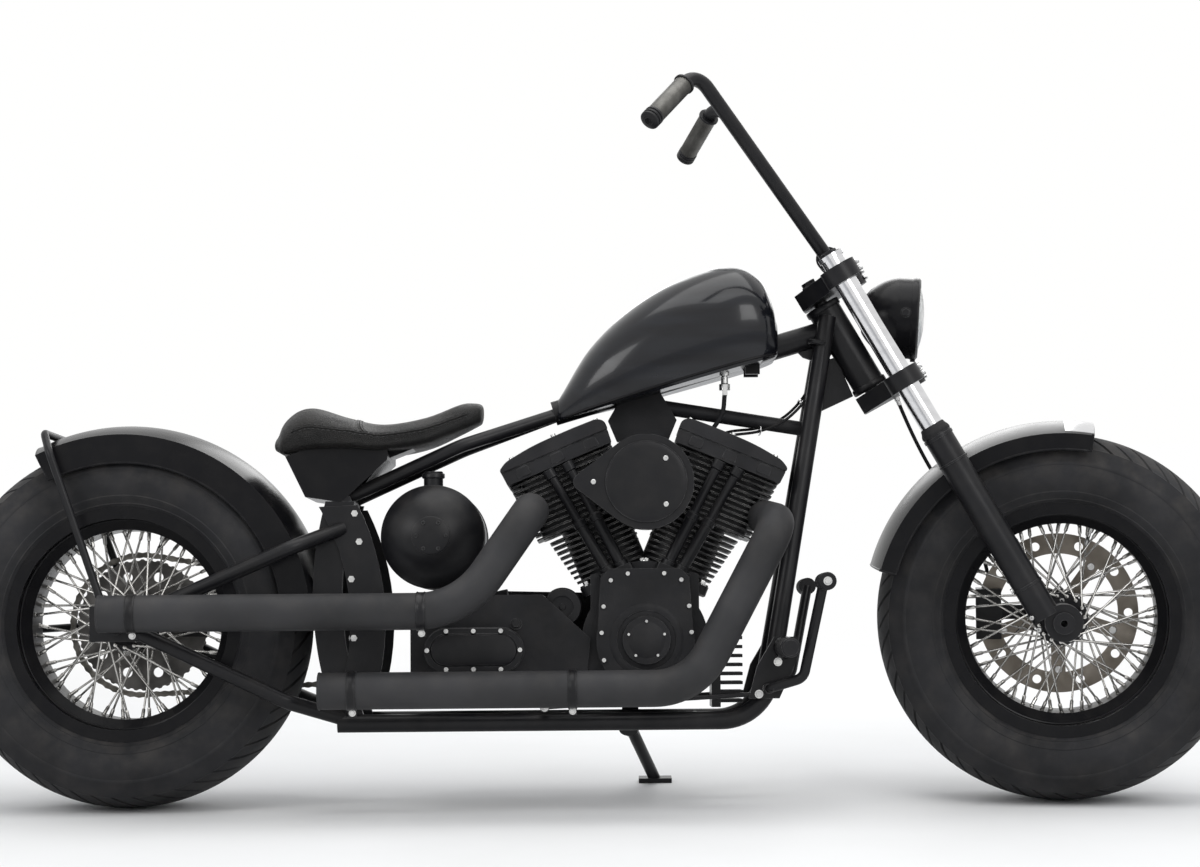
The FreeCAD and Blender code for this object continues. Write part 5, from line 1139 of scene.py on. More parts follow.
# ------------------------------------------------------------------ wheels
@dataclass
class Tyre:
    """A fat tyre with a chevron tread and ribbed walls."""

    radius: float = 327.6
    tread_half: float = 95.0
    tread_drop: float = 23.0
    pitches: int = 26
    groove_depth: float = 5.5
    sweep: float = 0.17

    def wall_profile(self) -> list[Flat]:
        """The outer wall from the tread's edge to the bead, as (radius, side).

        Returns:
            The places in millimetres.
        """
        return [(305.0, 95.2), (299.0, 99.0), (290.0, 104.4), (282.0, 108.0), (280.5, 109.6), (276.0, 110.9),
                (274.0, 110.4), (266.0, 113.4), (257.0, 114.6), (247.0, 114.2), (238.0, 112.4), (229.0, 108.8),
                (227.0, 109.4), (223.0, 107.6), (221.0, 106.0), (215.0, 102.2), (213.4, 102.6), (210.0, 99.2),
                (206.0, 94.6), (200.0, 90.4), (194.0, 88.0)]

    def tread_rows(self) -> list[tuple[float, float]]:
        """Places across one half of the tread, as (side, radius), from the middle groove out.

        Returns:
            The places in millimetres.
        """
        sides = [0.0, 2.6, 4.2, 12.0, 20.0, 28.0, 36.0, 44.0, 52.0, 60.0, 68.0, 76.0, 84.0, 90.0, 94.0]
        arch = (self.tread_half ** 2 + self.tread_drop ** 2) / (2 * self.tread_drop)
        return [(s, self.radius - arch + math.sqrt(arch ** 2 - s ** 2)) for s in sides]

    def depth(self, side: float, share: float) -> float:
        """How deep the tread is cut.

        Args:
            side: how far from the middle.
            share: how far along one pitch, from 0 to 1.

        Returns:
            The cut in millimetres.
        """
        if side < 3.0:
            return 4.0
        fade = min(1.0, max(0.0, (side - 8.0) / 10.0)) * min(1.0, max(0.0, (98.0 - side) / 6.0))
        if 0.02 <= share <= 0.09:
            return self.groove_depth * fade
        if 0.53 <= share <= 0.58 and side > 40.0:
            return self.groove_depth * 0.8 * min(1.0, (side - 40.0) / 14.0) * fade
        return 0.0

    def build(self, end: str, body: Body, turn: Matrix) -> None:
        """Make the tyre.

        Args:
            end: front or rear.
            body: its wheel's body.
            turn: the wheel's frame, its Z along the axle.
        """
        shares = [0.0, 0.02, 0.055, 0.09, 0.11, 0.24, 0.38, 0.51, 0.53, 0.58, 0.60, 0.74, 0.88]
        half = self.tread_rows()
        rows = []
        for pitch in range(self.pitches):
            for share in shares:
                row = []
                for side, radius in half:
                    ahead = self.sweep * (side / self.tread_half) ** 1.5
                    row.append((2 * math.pi * (pitch + share) / self.pitches + ahead, side,
                                radius - self.depth(side, share)))
                for radius, side in self.wall_profile():
                    row.append((2 * math.pi * (pitch + share) / self.pitches + self.sweep, side, radius))
                row += [(row[-1][0], side, radius) for side, radius in ((76.0, 194.0), (101.0, 257.0), (84.0, 293.0),
                                                                         (0.0, 314.0))]
                row += [(angle, -side, radius) for angle, side, radius in row[:0:-1] if side > 0]
                rows.append([(radius * math.cos(angle), radius * math.sin(angle), side)
                             for angle, side, radius in row])
        mesh = Shell().grid(rows, True, True, False, turn).mesh(end + "_tyre_skin", 0.02)
        piece(end + "_tyre_skin", mesh, body, Paint.TYRE, [end + "_tyre"], 32)


@dataclass
class SpokeSet:
    """Laced spokes with their nipples and bent heads."""

    radius: float = 2.0
    count: int = 60
    hub_radius: float = 41.0
    rim_radius: float = 171.0
    cross: float = 50.0
    flange: float = 56.0
    stagger: float = 6.0
    rim_place: float = 20.0
    rim_stagger: float = 4.0

    def lines(self) -> list[tuple[Vector, Vector]]:
        """Each spoke's ends in the wheel's own frame, hub end first.

        Returns:
            A start and an end for each spoke.
        """
        found = []
        half = self.count // 2
        step = 360 / half
        for side in (-1, 1):
            for number in range(half):
                lead = 1 if number % 2 else -1
                rim = math.radians(number * step + (step / 2 if side > 0 else 0))
                hub = rim + lead * math.radians(self.cross)
                start = Vector((self.hub_radius * math.sin(hub), side * (self.flange + lead * self.stagger),
                                self.hub_radius * math.cos(hub)))
                end = Vector((self.rim_radius * math.sin(rim), side * (self.rim_place + lead * self.rim_stagger),
                              self.rim_radius * math.cos(rim)))
                found.append((start, end))
        return found

    def build(self, end: str, body: Body, centre: Vector) -> None:
        """Make the spokes, nipples and heads.

        Args:
            end: front or rear.
            body: its wheel's body.
            centre: the axle's middle.
        """
        lines = [(a + centre, b + centre) for a, b in self.lines()]
        seed = bpy.data.meshes.new("lacing")
        seed.from_pydata([list(p) for pair in lines for p in pair], [(2 * i, 2 * i + 1) for i in range(len(lines))],
                         [])
        mesh = grow(end + "_laced_spokes", TREES.rods, seed, Paint.SPOKE, radius=self.radius, sides=8)
        piece(end + "_laced_spokes", mesh, body, Paint.SPOKE, [end + "_spokes"], 60)
        nipple = Shell().lathe([(0.01, -2.0), (4.6, -2.0), (4.6, 3.0), (3.4, 4.0), (3.4, 17.0), (2.3, 19.0),
                                (0.01, 19.0)], 8, False)
        scatter(end + "_nipples", nipple, [facing(b, a - b) for a, b in lines], body, Paint.SPOKE)
        head = Shell().lathe([(0.01, -3.0), (3.4, -2.6), (4.0, 0.0), (2.6, 2.6), (0.01, 3.0)], 8, False)
        scatter(end + "_spoke_heads", head, [facing(a, (0, 1, 0)) for a, _ in lines], body, Paint.SPOKE)


@dataclass
class Wheel:
    """One wheel: tyre, rim, hub, lacing and small fittings."""

    end: str
    body: Body
    tyre: Tyre = field(default_factory=Tyre)
    spokes: SpokeSet = field(default_factory=SpokeSet)

    def centre(self) -> Vector:
        """The axle's middle."""
        return STANCE.axle(1 if self.end == "front" else -1)

    def build(self) -> None:
        """Make every piece of the wheel."""
        centre = self.centre()
        axle = facing(centre, (0, 1, 0))
        self.tyre.build(self.end, self.body, axle)
        self.spokes.build(self.end, self.body, centre)
        self.rim(axle)
        self.hub(axle)

    def rim(self, axle: Matrix) -> None:
        """Rolled edges and a rib on the rim, and the valve.

        Args:
            axle: the frame whose Z runs along the wheel's axle.
        """
        shell = Shell()
        for side in (-1, 1):
            lip = [(205.4 + 2.6 * math.cos(a), side * (95.5 + 2.4 * math.sin(a)))
                   for a in (2 * math.pi * k / 10 for k in range(10))]
            shell.lathe(lip, 160, True, axle)
            rib = [(186.2, side * 66.0), (184.2, side * 66.8), (184.2, side * 71.2), (186.2, side * 72.0),
                   (188.0, side * 69.0)]
            shell.lathe(rib, 160, True, axle)
        piece(self.end + "_rim_edges", shell, self.body, Paint.GLOSS, (), 50)
        valve = Shell().lathe([(0.01, 136.0), (2.6, 136.0), (3.8, 138.0), (3.8, 148.0), (3.0, 149.0), (3.0, 160.0),
                               (5.2, 162.0), (5.6, 168.0), (0.01, 169.5)], 14, False,
                              facing(self.centre(), (math.sin(0.35), 0, math.cos(0.35))))
        piece(self.end + "_valve", valve, self.body, Paint.BOLT, (), 50)

    def hub(self, axle: Matrix) -> None:
        """Ribs on the hub's barrel and bolts round its faces.

        Args:
            axle: the frame whose Z runs along the wheel's axle.
        """
        shell = Shell()
        for place in (-34, -24, 24, 34):
            shell.lathe([(26.5, place - 3.0), (31.0, place - 2.2), (31.0, place + 2.2), (26.5, place + 3.0)], 40, True,
                        axle)
        for side in (-1, 1):
            shell.lathe([(27.0, side * 60.0), (38.0, side * 60.5), (36.0, side * 64.0), (29.0, side * 72.0),
                         (27.0, side * 72.0)], 48, True, axle)
        piece(self.end + "_hub_ribs", shell, self.body, Paint.FRAME, (), 40)
        places = [axle @ Matrix.Translation((x, y, -64.0)) @ Matrix.Rotation(math.pi, 4, "X")
                  for x, y in circle(33.0, 5, 20.0)]
        scatter(self.end + "_hub_bolts", cap_screw(4.6, 5.0), places, self.body, Paint.BOLT)


@dataclass
class FrontDisc:
    """The drilled front brake disc with its rivets."""

    place: float = 112.0
    half: float = 2.5
    outer: float = 146.0
    inner: float = 109.0
    seat: float = 52.0

    def build(self) -> None:
        """Make the buttons that join the disc to its carrier, and its bolts."""
        axle = facing(STANCE.axle(1), (0, 1, 0))
        buttons = Shell().lathe([(0.01, -1.6), (6.4, -1.6), (7.4, -0.4), (7.4, 0.0), (0.01, 0.0)], 14, False)
        places = []
        for number in range(5):
            angle = math.radians(72 * number + 18)
            x, y = 104.0 * math.cos(angle), 104.0 * math.sin(angle)
            centre = STANCE.axle(1) + Vector((x, self.place - self.half, -y))
            places.append(facing(centre, (0, 1, 0)))
            places.append(facing(centre + Vector((0, 2 * self.half, 0)), (0, -1, 0)))
        scatter("front_disc_buttons", buttons, places, Body.FRONT_WHEEL, Paint.BOLT)
        bolts = [axle @ Matrix.Translation((x, y, self.place + self.half)) for x, y in circle(30.0, 5, 9.0)]
        scatter("front_disc_bolts", cap_screw(4.2, 4.0), bolts, Body.FRONT_WHEEL, Paint.BOLT)


@dataclass
class RearSprocket:
    """The toothed sprocket whose drilled web is the rear brake's disc."""

    place: float = 135.0
    half: float = 3.5
    pitch_radius: float = 129.0
    teeth: int = 50

    def build(self) -> None:
        """Make the ring of teeth and the bolts."""
        axle = facing(STANCE.axle(-1), (0, 1, 0))
        root, tip = self.pitch_radius - 10.5, self.pitch_radius - 7.7
        teeth = Shell()
        outline = [(x * tip / root, y * tip / root) if i % 4 in (1, 2) else (x, y)
                   for i, (x, y) in enumerate(circle(root, self.teeth * 4))]
        rows = [[(x * k, y * k, z) for x, y in outline] for k, z in
                ((0.93, self.place - 2.4), (1.0, self.place - 2.4), (1.0, self.place + 2.4), (0.93, self.place + 2.4))]
        teeth.grid(rows, True, True, False, axle)
        piece("rear_sprocket_teeth", teeth, Body.REAR_WHEEL, Paint.DARK_DISC, (), 30)
        bolts = [axle @ Matrix.Translation((x, y, self.place + side * self.half)) @
                 Matrix.Rotation(0 if side > 0 else math.pi, 4, "X")
                 for side in (-1, 1) for x, y in circle(58.0, 5, 12.0)]
        scatter("rear_sprocket_bolts", hex_head(5.2, 5.0), bolts, Body.REAR_WHEEL, Paint.BOLT)


# ------------------------------------------------------------------ engine
def rounded(corners: Sequence[tuple[float, float, float]], steps: int = 5) -> list[Flat]:
    """Round the corners of a flat outline.

    Args:
        corners: (x, y, radius) places.
        steps: how many steps each round has.

    Returns:
        The outline's places.
    """
    outline = []
    for i, (x, y, radius) in enumerate(corners):
        here = Vector((x, y))
        back = (Vector(corners[i - 1][:2]) - here)
        ahead = (Vector(corners[(i + 1) % len(corners)][:2]) - here)
        reach = min(radius, back.length * 0.49, ahead.length * 0.49)
        start, end = here + back.normalized() * reach, here + ahead.normalized() * reach
        if radius <= 0:
            outline.append((x, y))
            continue
        for k in range(steps + 1):
            t = k / steps
            spot = start * (1 - t) ** 2 + here * (2 * t * (1 - t)) + end * t * t
            outline.append((spot.x, spot.y))
    return outline


@dataclass
class Bank:
    """One finned cylinder with its head, rocker cover and pushrod tubes."""

    name: str
    sign: int
    fin: float = 3.0
    pitch: float = 10.3
    barrel: Flat = (131.0, 62.0)
    head: tuple[float, float, float] = (-82.0, 115.0, 79.0)
    cover: tuple[float, float, float] = (-86.0, 120.0, 104.0)

    def turn(self) -> Matrix:
        """The bank's frame."""
        return STANCE.bank(self.sign)

    def right(self) -> int:
        """The sign of this bank's own Y on the machine's right side."""
        return -1 if self.sign > 0 else 1

    def build(self) -> bpy.types.Mesh:
        """Make the fins and core of barrel and head in one mesh, in upright millimetres.

        Returns:
            The joined mesh.
        """
        turn = self.turn()
        low, core = self.barrel
        back, out, half = self.head
        plate = Shell().prism(rounded([(-70, -76, 30), (88, -76, 26), (88, 76, 26), (-70, 76, 30)]), 0, self.fin)
        barrel = grow(self.name + "_barrel", TREES.fins, plate.mesh("fin"), Paint.FIN, turn, count=10,
                      pitch=self.pitch, low=low, narrow=0.78)
        plate = Shell().prism(rounded([(back, -half, 10), (out, -half, 14), (out, half, 14), (back, half, 10)]), 0,
                              self.fin)
        head = grow(self.name + "_head", TREES.fins, plate.mesh("fin"), Paint.FIN, turn, count=11,
                    pitch=self.pitch, low=238.0, narrow=0.93)
        cores = Shell().lathe([(0.01, 118.0), (core, 118.0), (core, 236.0), (0.01, 236.0)], 40, False, turn)
        cores.prism(rounded([(-60, -60, 16), (96, -62, 18), (96, 62, 18), (-60, 60, 16)]), 236, 347, turn)
        cores.prism(rounded([(-62, -66, 18), (70, -66, 18), (70, 66, 18), (-62, 66, 18)]), 114, 131, turn)
        return merged(self.name + "_bank", (barrel, head, cores.mesh("core")))

    def covers(self, shell: Shell) -> None:
        """Add the rocker cover: a base, a lid with an arched top and raised bolt bosses.

        Args:
            shell: the shell that it is added to.
        """
        turn = self.turn() @ Matrix.Rotation(math.pi / 2, 4, "X")
        left, right, half = self.cover
        base = rounded([(left + 3, 347.5, 3), (right - 3, 347.5, 3), (right - 1, 371, 2), (left + 1, 371, 2)])
        shell.prism(base, -half + 3, half - 3, turn)
        lid = rounded([(left, 373, 2), (right, 373, 2), (right - 1, 379, 8), (right - 15, 388, 16),
                       (right - 70, 396.5, 60), (left + 60, 397.8, 50), (left + 12, 396.5, 12), (left, 388, 8)], 6)
        shell.prism(lid, -half, half, turn)
        seam = rounded([(left + 4, 370, 2), (right - 4, 370, 2), (right - 4, 374, 2), (left + 4, 374, 2)])
        shell.prism(seam, -half + 4, half - 4, turn)
        for x in (-48, 17, 82):
            rib = rounded([(x - 13, 352, 4), (x + 13, 352, 4), (x + 11, 369, 4), (x - 11, 369, 4)])
            shell.prism(rib, -half + 1.2, half - 1.2, turn)

    def screws(self) -> list[Matrix]:
        """The rocker cover's screws: three along each side, heads up.

        Returns:
            Each screw's frame.
        """
        turn = self.turn()
        spots = ((-72.0, 393.0), (8.0, 397.0), (92.0, 388.0))
        return [turn @ Matrix.Translation((x, side * 94.0, z)) for side in (-1, 1) for x, z in spots]

    def rods(self, shell: Shell) -> None:
        """Add the pushrod tubes on the right side, with their collars and the blocks they stand on.

        Args:
            shell: the shell that they are added to.
        """
        turn = self.turn()
        far = self.right() * 96.0
        for foot, top in ((-14.0, 4.0), (12.0, 40.0)):
            start, end = Vector((foot, far, 138.0)), Vector((top, far, 346.0))
            way = facing(start, end - start)
            length = (end - start).length
            shell.lathe([(0.01, 0.0), (13.5, 0.0), (13.5, 9.0), (10.4, 12.0), (10.4, 92.0), (12.2, 94.0),
                         (12.2, 104.0), (8.4, 107.0), (8.4, length - 18.0), (11.4, length - 15.0), (11.4, length),
                         (0.01, length)], 20, False, turn @ way)
        block = rounded([(-32, far - 17, 6), (30, far - 17, 6), (30, far + 15, 6), (-32, far + 15, 6)])
        shell.prism(block, 118, 139, turn)


@dataclass
class Engine:
    """The V-twin: two finned banks, case, cam cover, intake and spark plugs."""

    cleaner: tuple[float, float, float] = (91.0, -202.0, 567.0)
    cap: tuple[float, float, float] = (90.0, -136.0, 292.0)

    def build(self) -> None:
        """Make every piece of the engine."""
        banks = [Bank("rear", -1), Bank("front", 1)]
        covers, rods = Shell(), Shell()
        screws: list[Matrix] = []
        fins = []
        for bank in banks:
            fins.append(bank.build())
            bank.covers(covers)
            bank.rods(rods)
            screws += bank.screws()
        piece("finned_cylinders", merged("finned_cylinders", fins), Body.FRAME, Paint.FIN, ["cylinders"], 30)
        piece("rocker_lids", covers, Body.FRAME, Paint.CASE, ["rocker_covers"], 28, 1.4)
        piece("pushrod_sleeves", rods, Body.FRAME, Paint.FRAME, ["pushrod_tubes"], 35)
        scatter("rocker_screws", cap_screw(4.6, 5.0), screws, Body.FRAME, Paint.BOLT)
        self.case()
        self.cam()
        self.air_cleaner()
        self.plugs()

    def case(self) -> None:
        """Ribs and cylinder base nuts on the crankcase."""
        x, z = STANCE.crank
        nuts = []
        for sign in (-1, 1):
            turn = STANCE.bank(sign)
            nuts += [turn @ Matrix.Translation((a, b, 131.0)) for a, b in ((56, -60), (56, 60), (-52, 60), (-52, -60))]
        scatter("base_nuts", hex_head(6.0, 8.0), nuts, Body.FRAME, Paint.BOLT)
        ribs = Shell()
        for side in (-1, 1):
            for place in (-74, -46, 46, 74):
                outline = rounded([(x + place - 2.5, z - 70, 2), (x + place + 2.5, z - 70, 2),
                                   (x + place + 2.5, z + 96, 2), (x + place - 2.5, z + 96, 2)])
                turn = Matrix.Rotation(math.pi / 2, 4, "X")
                ribs.prism(outline, side * 90.5 - 3.0, side * 90.5 + 3.0, turn)
        piece("case_ribs", ribs, Body.FRAME, Paint.CASE, (), 30)

    def cam(self) -> None:
        """The cam cover's step, domed cap and screws."""
        x, _, z = self.cap
        face = facing((x, -124.0, z), (0, -1, 0))
        dome = Shell().lathe([(0.01, 16.2), (8.0, 16.0), (16.0, 15.4), (24.0, 14.2), (31.0, 12.4), (37.0, 9.8),
                              (41.0, 6.6), (43.0, 3.0), (43.4, 0.0), (47.0, -0.5), (47.0, -2.0)], 72, False, face)
        piece("cam_cap_dome", dome, Body.FRAME, Paint.CASE, (), 40)
        places = [facing((x + a, -136.4, z + b), (0, -1, 0)) for a, b in circle(33.0, 5, 90.0)]
        scatter("cap_screws", cap_screw(2.8, 2.4), places, Body.FRAME, Paint.BOLT)
        ring = Shell().lathe([(51.0, -1.0), (52.0, 1.6), (58.0, 2.2), (64.0, 1.2), (66.0, -1.0)], 72, True, face)
        piece("cam_cover_step", ring, Body.FRAME, Paint.CASE, (), 40)
        rim = [(-84, 14), (-80, -36), (-56, -66), (56, -66), (80, -36), (84, 14), (80, 62), (66, 110), (34, 122),
               (-34, 122), (-66, 110), (-80, 62)]
        screws = [facing((x + a * 0.94, -124.0, z + b * 0.96), (0, -1, 0)) for a, b in rim]
        scatter("cam_cover_screws", cap_screw(4.4, 4.4), screws, Body.FRAME, Paint.BOLT)

    def air_cleaner(self) -> None:
        """The bare disc on the air cleaner with a rolled edge and its screws."""
        x, y, z = self.cleaner
        face = facing((x, y, z), (0, -1, 0))
        disc = Shell().lathe([(0.01, 4.6), (60.0, 4.6), (68.0, 4.4), (70.4, 3.4), (71.4, 1.6), (71.6, -2.0)], 96,
                             False, face)
        piece("cleaner_disc", disc, Body.FRAME, Paint.FRAME, (), 40)
        screws = [facing((x + 34.0, y - 4.2, z + b), (0, -1, 0)) for b in (40.0, -40.0)]
        screws.append(facing((x - 92.0, -202.0, z), (0, -1, 0)))
        scatter("cleaner_screws", cap_screw(4.6, 2.6), screws, Body.FRAME, Paint.BOLT)
        throat = Shell().lathe([(33.0, 0.0), (39.0, 1.0), (39.0, 7.0), (33.0, 8.0)], 48, True,
                               facing((x, -158.0, z), (0, 1, 0)))
        piece("intake_band", throat, Body.FRAME, Paint.CASE, (), 40)

    def plugs(self) -> None:
        """Spark plugs with their caps and leads on the left of each head."""
        caps, leads, metal = Shell(), Shell(), Shell()
        for sign in (-1, 1):
            turn = STANCE.bank(sign)
            side = 1 if sign > 0 else -1
            foot = turn @ Vector((-6.0, side * 76.0, 296.0))
            way = Vector((-0.1 * sign, 0.8, 0.35)).normalized()
            metal.lathe([(0.01, -6.0), (8.0, -6.0), (8.0, 6.0), (5.0, 8.0), (5.0, 20.0), (0.01, 20.0)], 12, False,
                        facing(foot, way))
            caps.lathe([(6.0, 12.0), (9.0, 14.0), (8.6, 40.0), (7.0, 46.0), (0.01, 46.0)], 16, False,
                       facing(foot, way))
            top = foot + way * 44
            route = smooth_route([tuple(top), tuple(top + way * 14), (88 + 52 * sign, 66, 612),
                                  (88 + 12 * sign, 34, 640), (88 + 6 * sign, 12, 650)])
            leads.tube(route, 3.6, 10)
        piece("plug_bodies", metal, Body.FRAME, Paint.BOLT, (), 40)
        piece("plug_caps", caps, Body.FRAME, Paint.RUBBER, (), 40)
        piece("plug_leads", leads, Body.FRAME, Paint.RUBBER, (), 60)


# ------------------------------------------------------------------ tank and seat
def arched(section: Sequence[float], across: int, inset: float = 0.0) -> list[Place]:
    """Draw one section of a tank or seat: a flat bottom, short sides and an arched top.

    Args:
        section: x, low, high, half width and the height of the side.
        across: how many points the top has.
        inset: how far it is drawn in.

    Returns:
        The section's places, from the right-hand bottom corner over the top.
    """
    x, low, high, half, side = section
    low, high, half = low + inset, high - inset, max(half - inset, 1.0)
    shoulder = low + side
    places = [(x, -half * 0.86, low), (x, -half * 0.97, low + side * 0.3)]
    for i in range(across):
        turn = math.pi * i / (across - 1)
        places.append((x, -half * math.cos(turn), shoulder + (high - shoulder) * math.sin(turn) ** ARCH_POWER))
    return places + [(x, half * 0.97, low + side * 0.3), (x, half * 0.86, low)]


def domed(rows: list[list[Place]], swell: float) -> list[list[Place]]:
    """Round off both ends of a run of sections.

    Args:
        rows: the sections, from back to front.
        swell: how far each end bulges.

    Returns:
        The sections with their rounded ends.
    """
    tips = []
    for row, way in ((rows[0], -1), (rows[-1], 1)):
        spots = np.array(row)
        centre = spots.mean(0)
        tips.append([[tuple(p) for p in centre + (spots - centre) * share + np.array((way * swell * out, 0, 0))]
                     for share, out in ((0.94, 0.45), (0.8, 0.75), (0.55, 0.93), (0.2, 1.0))])
    return tips[0][::-1] + rows + tips[1]


@dataclass
class FuelTank:
    """The fuel tank: a smooth skin, a rolled seam, its tap and its screw cap."""

    sections: tuple = ((-62, 688, 729, 27, 12), (-5, 703, 820, 65, 42), (70, 723, 891, 94, 64),
                       (160, 748, 945, 112, 77), (250, 773, 969, 117, 78), (300, 787, 947, 108, 66),
                       (322, 794, 902, 92, 46), (329, 797, 866, 78, 36))
    across: int = 33
    base: float = 703.0
    slope: float = 0.277
    tap: tuple = (236.0, -40.0)
    cap: tuple = (205.0, 46.0, 951.0)
    cap_radius: float = 28.0

    def build(self) -> None:
        """Make the skin, the seam, the tap and the cap."""
        rows = [arched(row, self.across) for row in blend(self.sections, 7)]
        skin = Shell().grid(domed(rows, 3.0), False, True, True)
        piece("tank_skin", skin, Body.FRAME, Paint.TANK, ("fuel_tank",), 55)
        self.seam()
        self.fittings()

    def floor_at(self, x: float) -> float:
        """The height of the tank's bottom at a place along it."""
        return self.base + self.slope * x

    def seam(self) -> None:
        """The rolled seam round the tank's bottom edge, with its two front lugs."""
        rows = blend(self.sections, 4)
        route = [(x, -half * 0.90, low + side * 0.10) for x, low, _, half, side in rows[1:-2]]
        route += [(x, -y, z) for x, y, z in route[::-1]]
        shell = Shell().tube(route, 2.6, 8, True)
        for side in (-1, 1):
            low = self.floor_at(286)
            shell.box((274, side * 30 - 5, low - 14), (300, side * 30 + 5, low + 6))
        piece("tank_seam", shell, Body.FRAME, Paint.GLOSS, bevel=0.8)

    def fittings(self) -> None:
        """The tap with its lever and hose, and the ribbed cap on its ring."""
        x, y = self.tap
        top = self.floor_at(x) + 4
        down = facing((x, y, top), (0, 0, -1))
        tap = Shell().lathe([(0.1, 0), (9, 0), (9, 8), (6.5, 9), (6.5, 22), (10, 23), (10, 34), (4, 35), (4, 44),
                             (0.1, 44)], 24, False, down)
        tap.tube([(x, y, top - 28), (x, y - 15, top - 28), (x, y - 17, top - 29)], 3.4, 10)
        tap.box((x - 4, y - 19, top - 44), (x + 4, y - 14, top - 24))
        piece("fuel_tap", tap, Body.FRAME, Paint.BOLT, bevel=0.5)
        hose = smooth_route(((x, y, top - 42), (x - 6, y + 1, top - 78), (x - 34, y - 8, top - 116),
                             (x - 74, y - 22, top - 148), (118, -86, 596)), 8)
        piece("fuel_hose", Shell().tube(hose, 4.2, 12), Body.FRAME, Paint.RUBBER)
        cx, cy, cz = self.cap
        lean = facing((cx, cy, cz - 22), (-0.10, 0.30, 1.0))
        ring = Shell().lathe([(20, 0), (33, 8), (33, 11), (30, 13), (20, 13)], 48, True, lean)
        piece("cap_ring", ring, Body.FRAME, Paint.GLOSS, bevel=0.5)
        edge = [(x, y) if i % 2 else (x * 0.945, y * 0.945)
                for i, (x, y) in enumerate(circle(self.cap_radius, 48))]
        rows = [[(a * s, b * s, z) for a, b in edge] for s, z in
                ((0.9, 12), (1, 14), (1, 20), (0.93, 23), (0.70, 24), (0.66, 22.5), (0.3, 23.5), (0.02, 24))]
        cap = Shell().grid(rows, False, True, True, lean)
        piece("tank_cap", cap, Body.FRAME, Paint.GLOSS, ("fuel_cap",), 30)


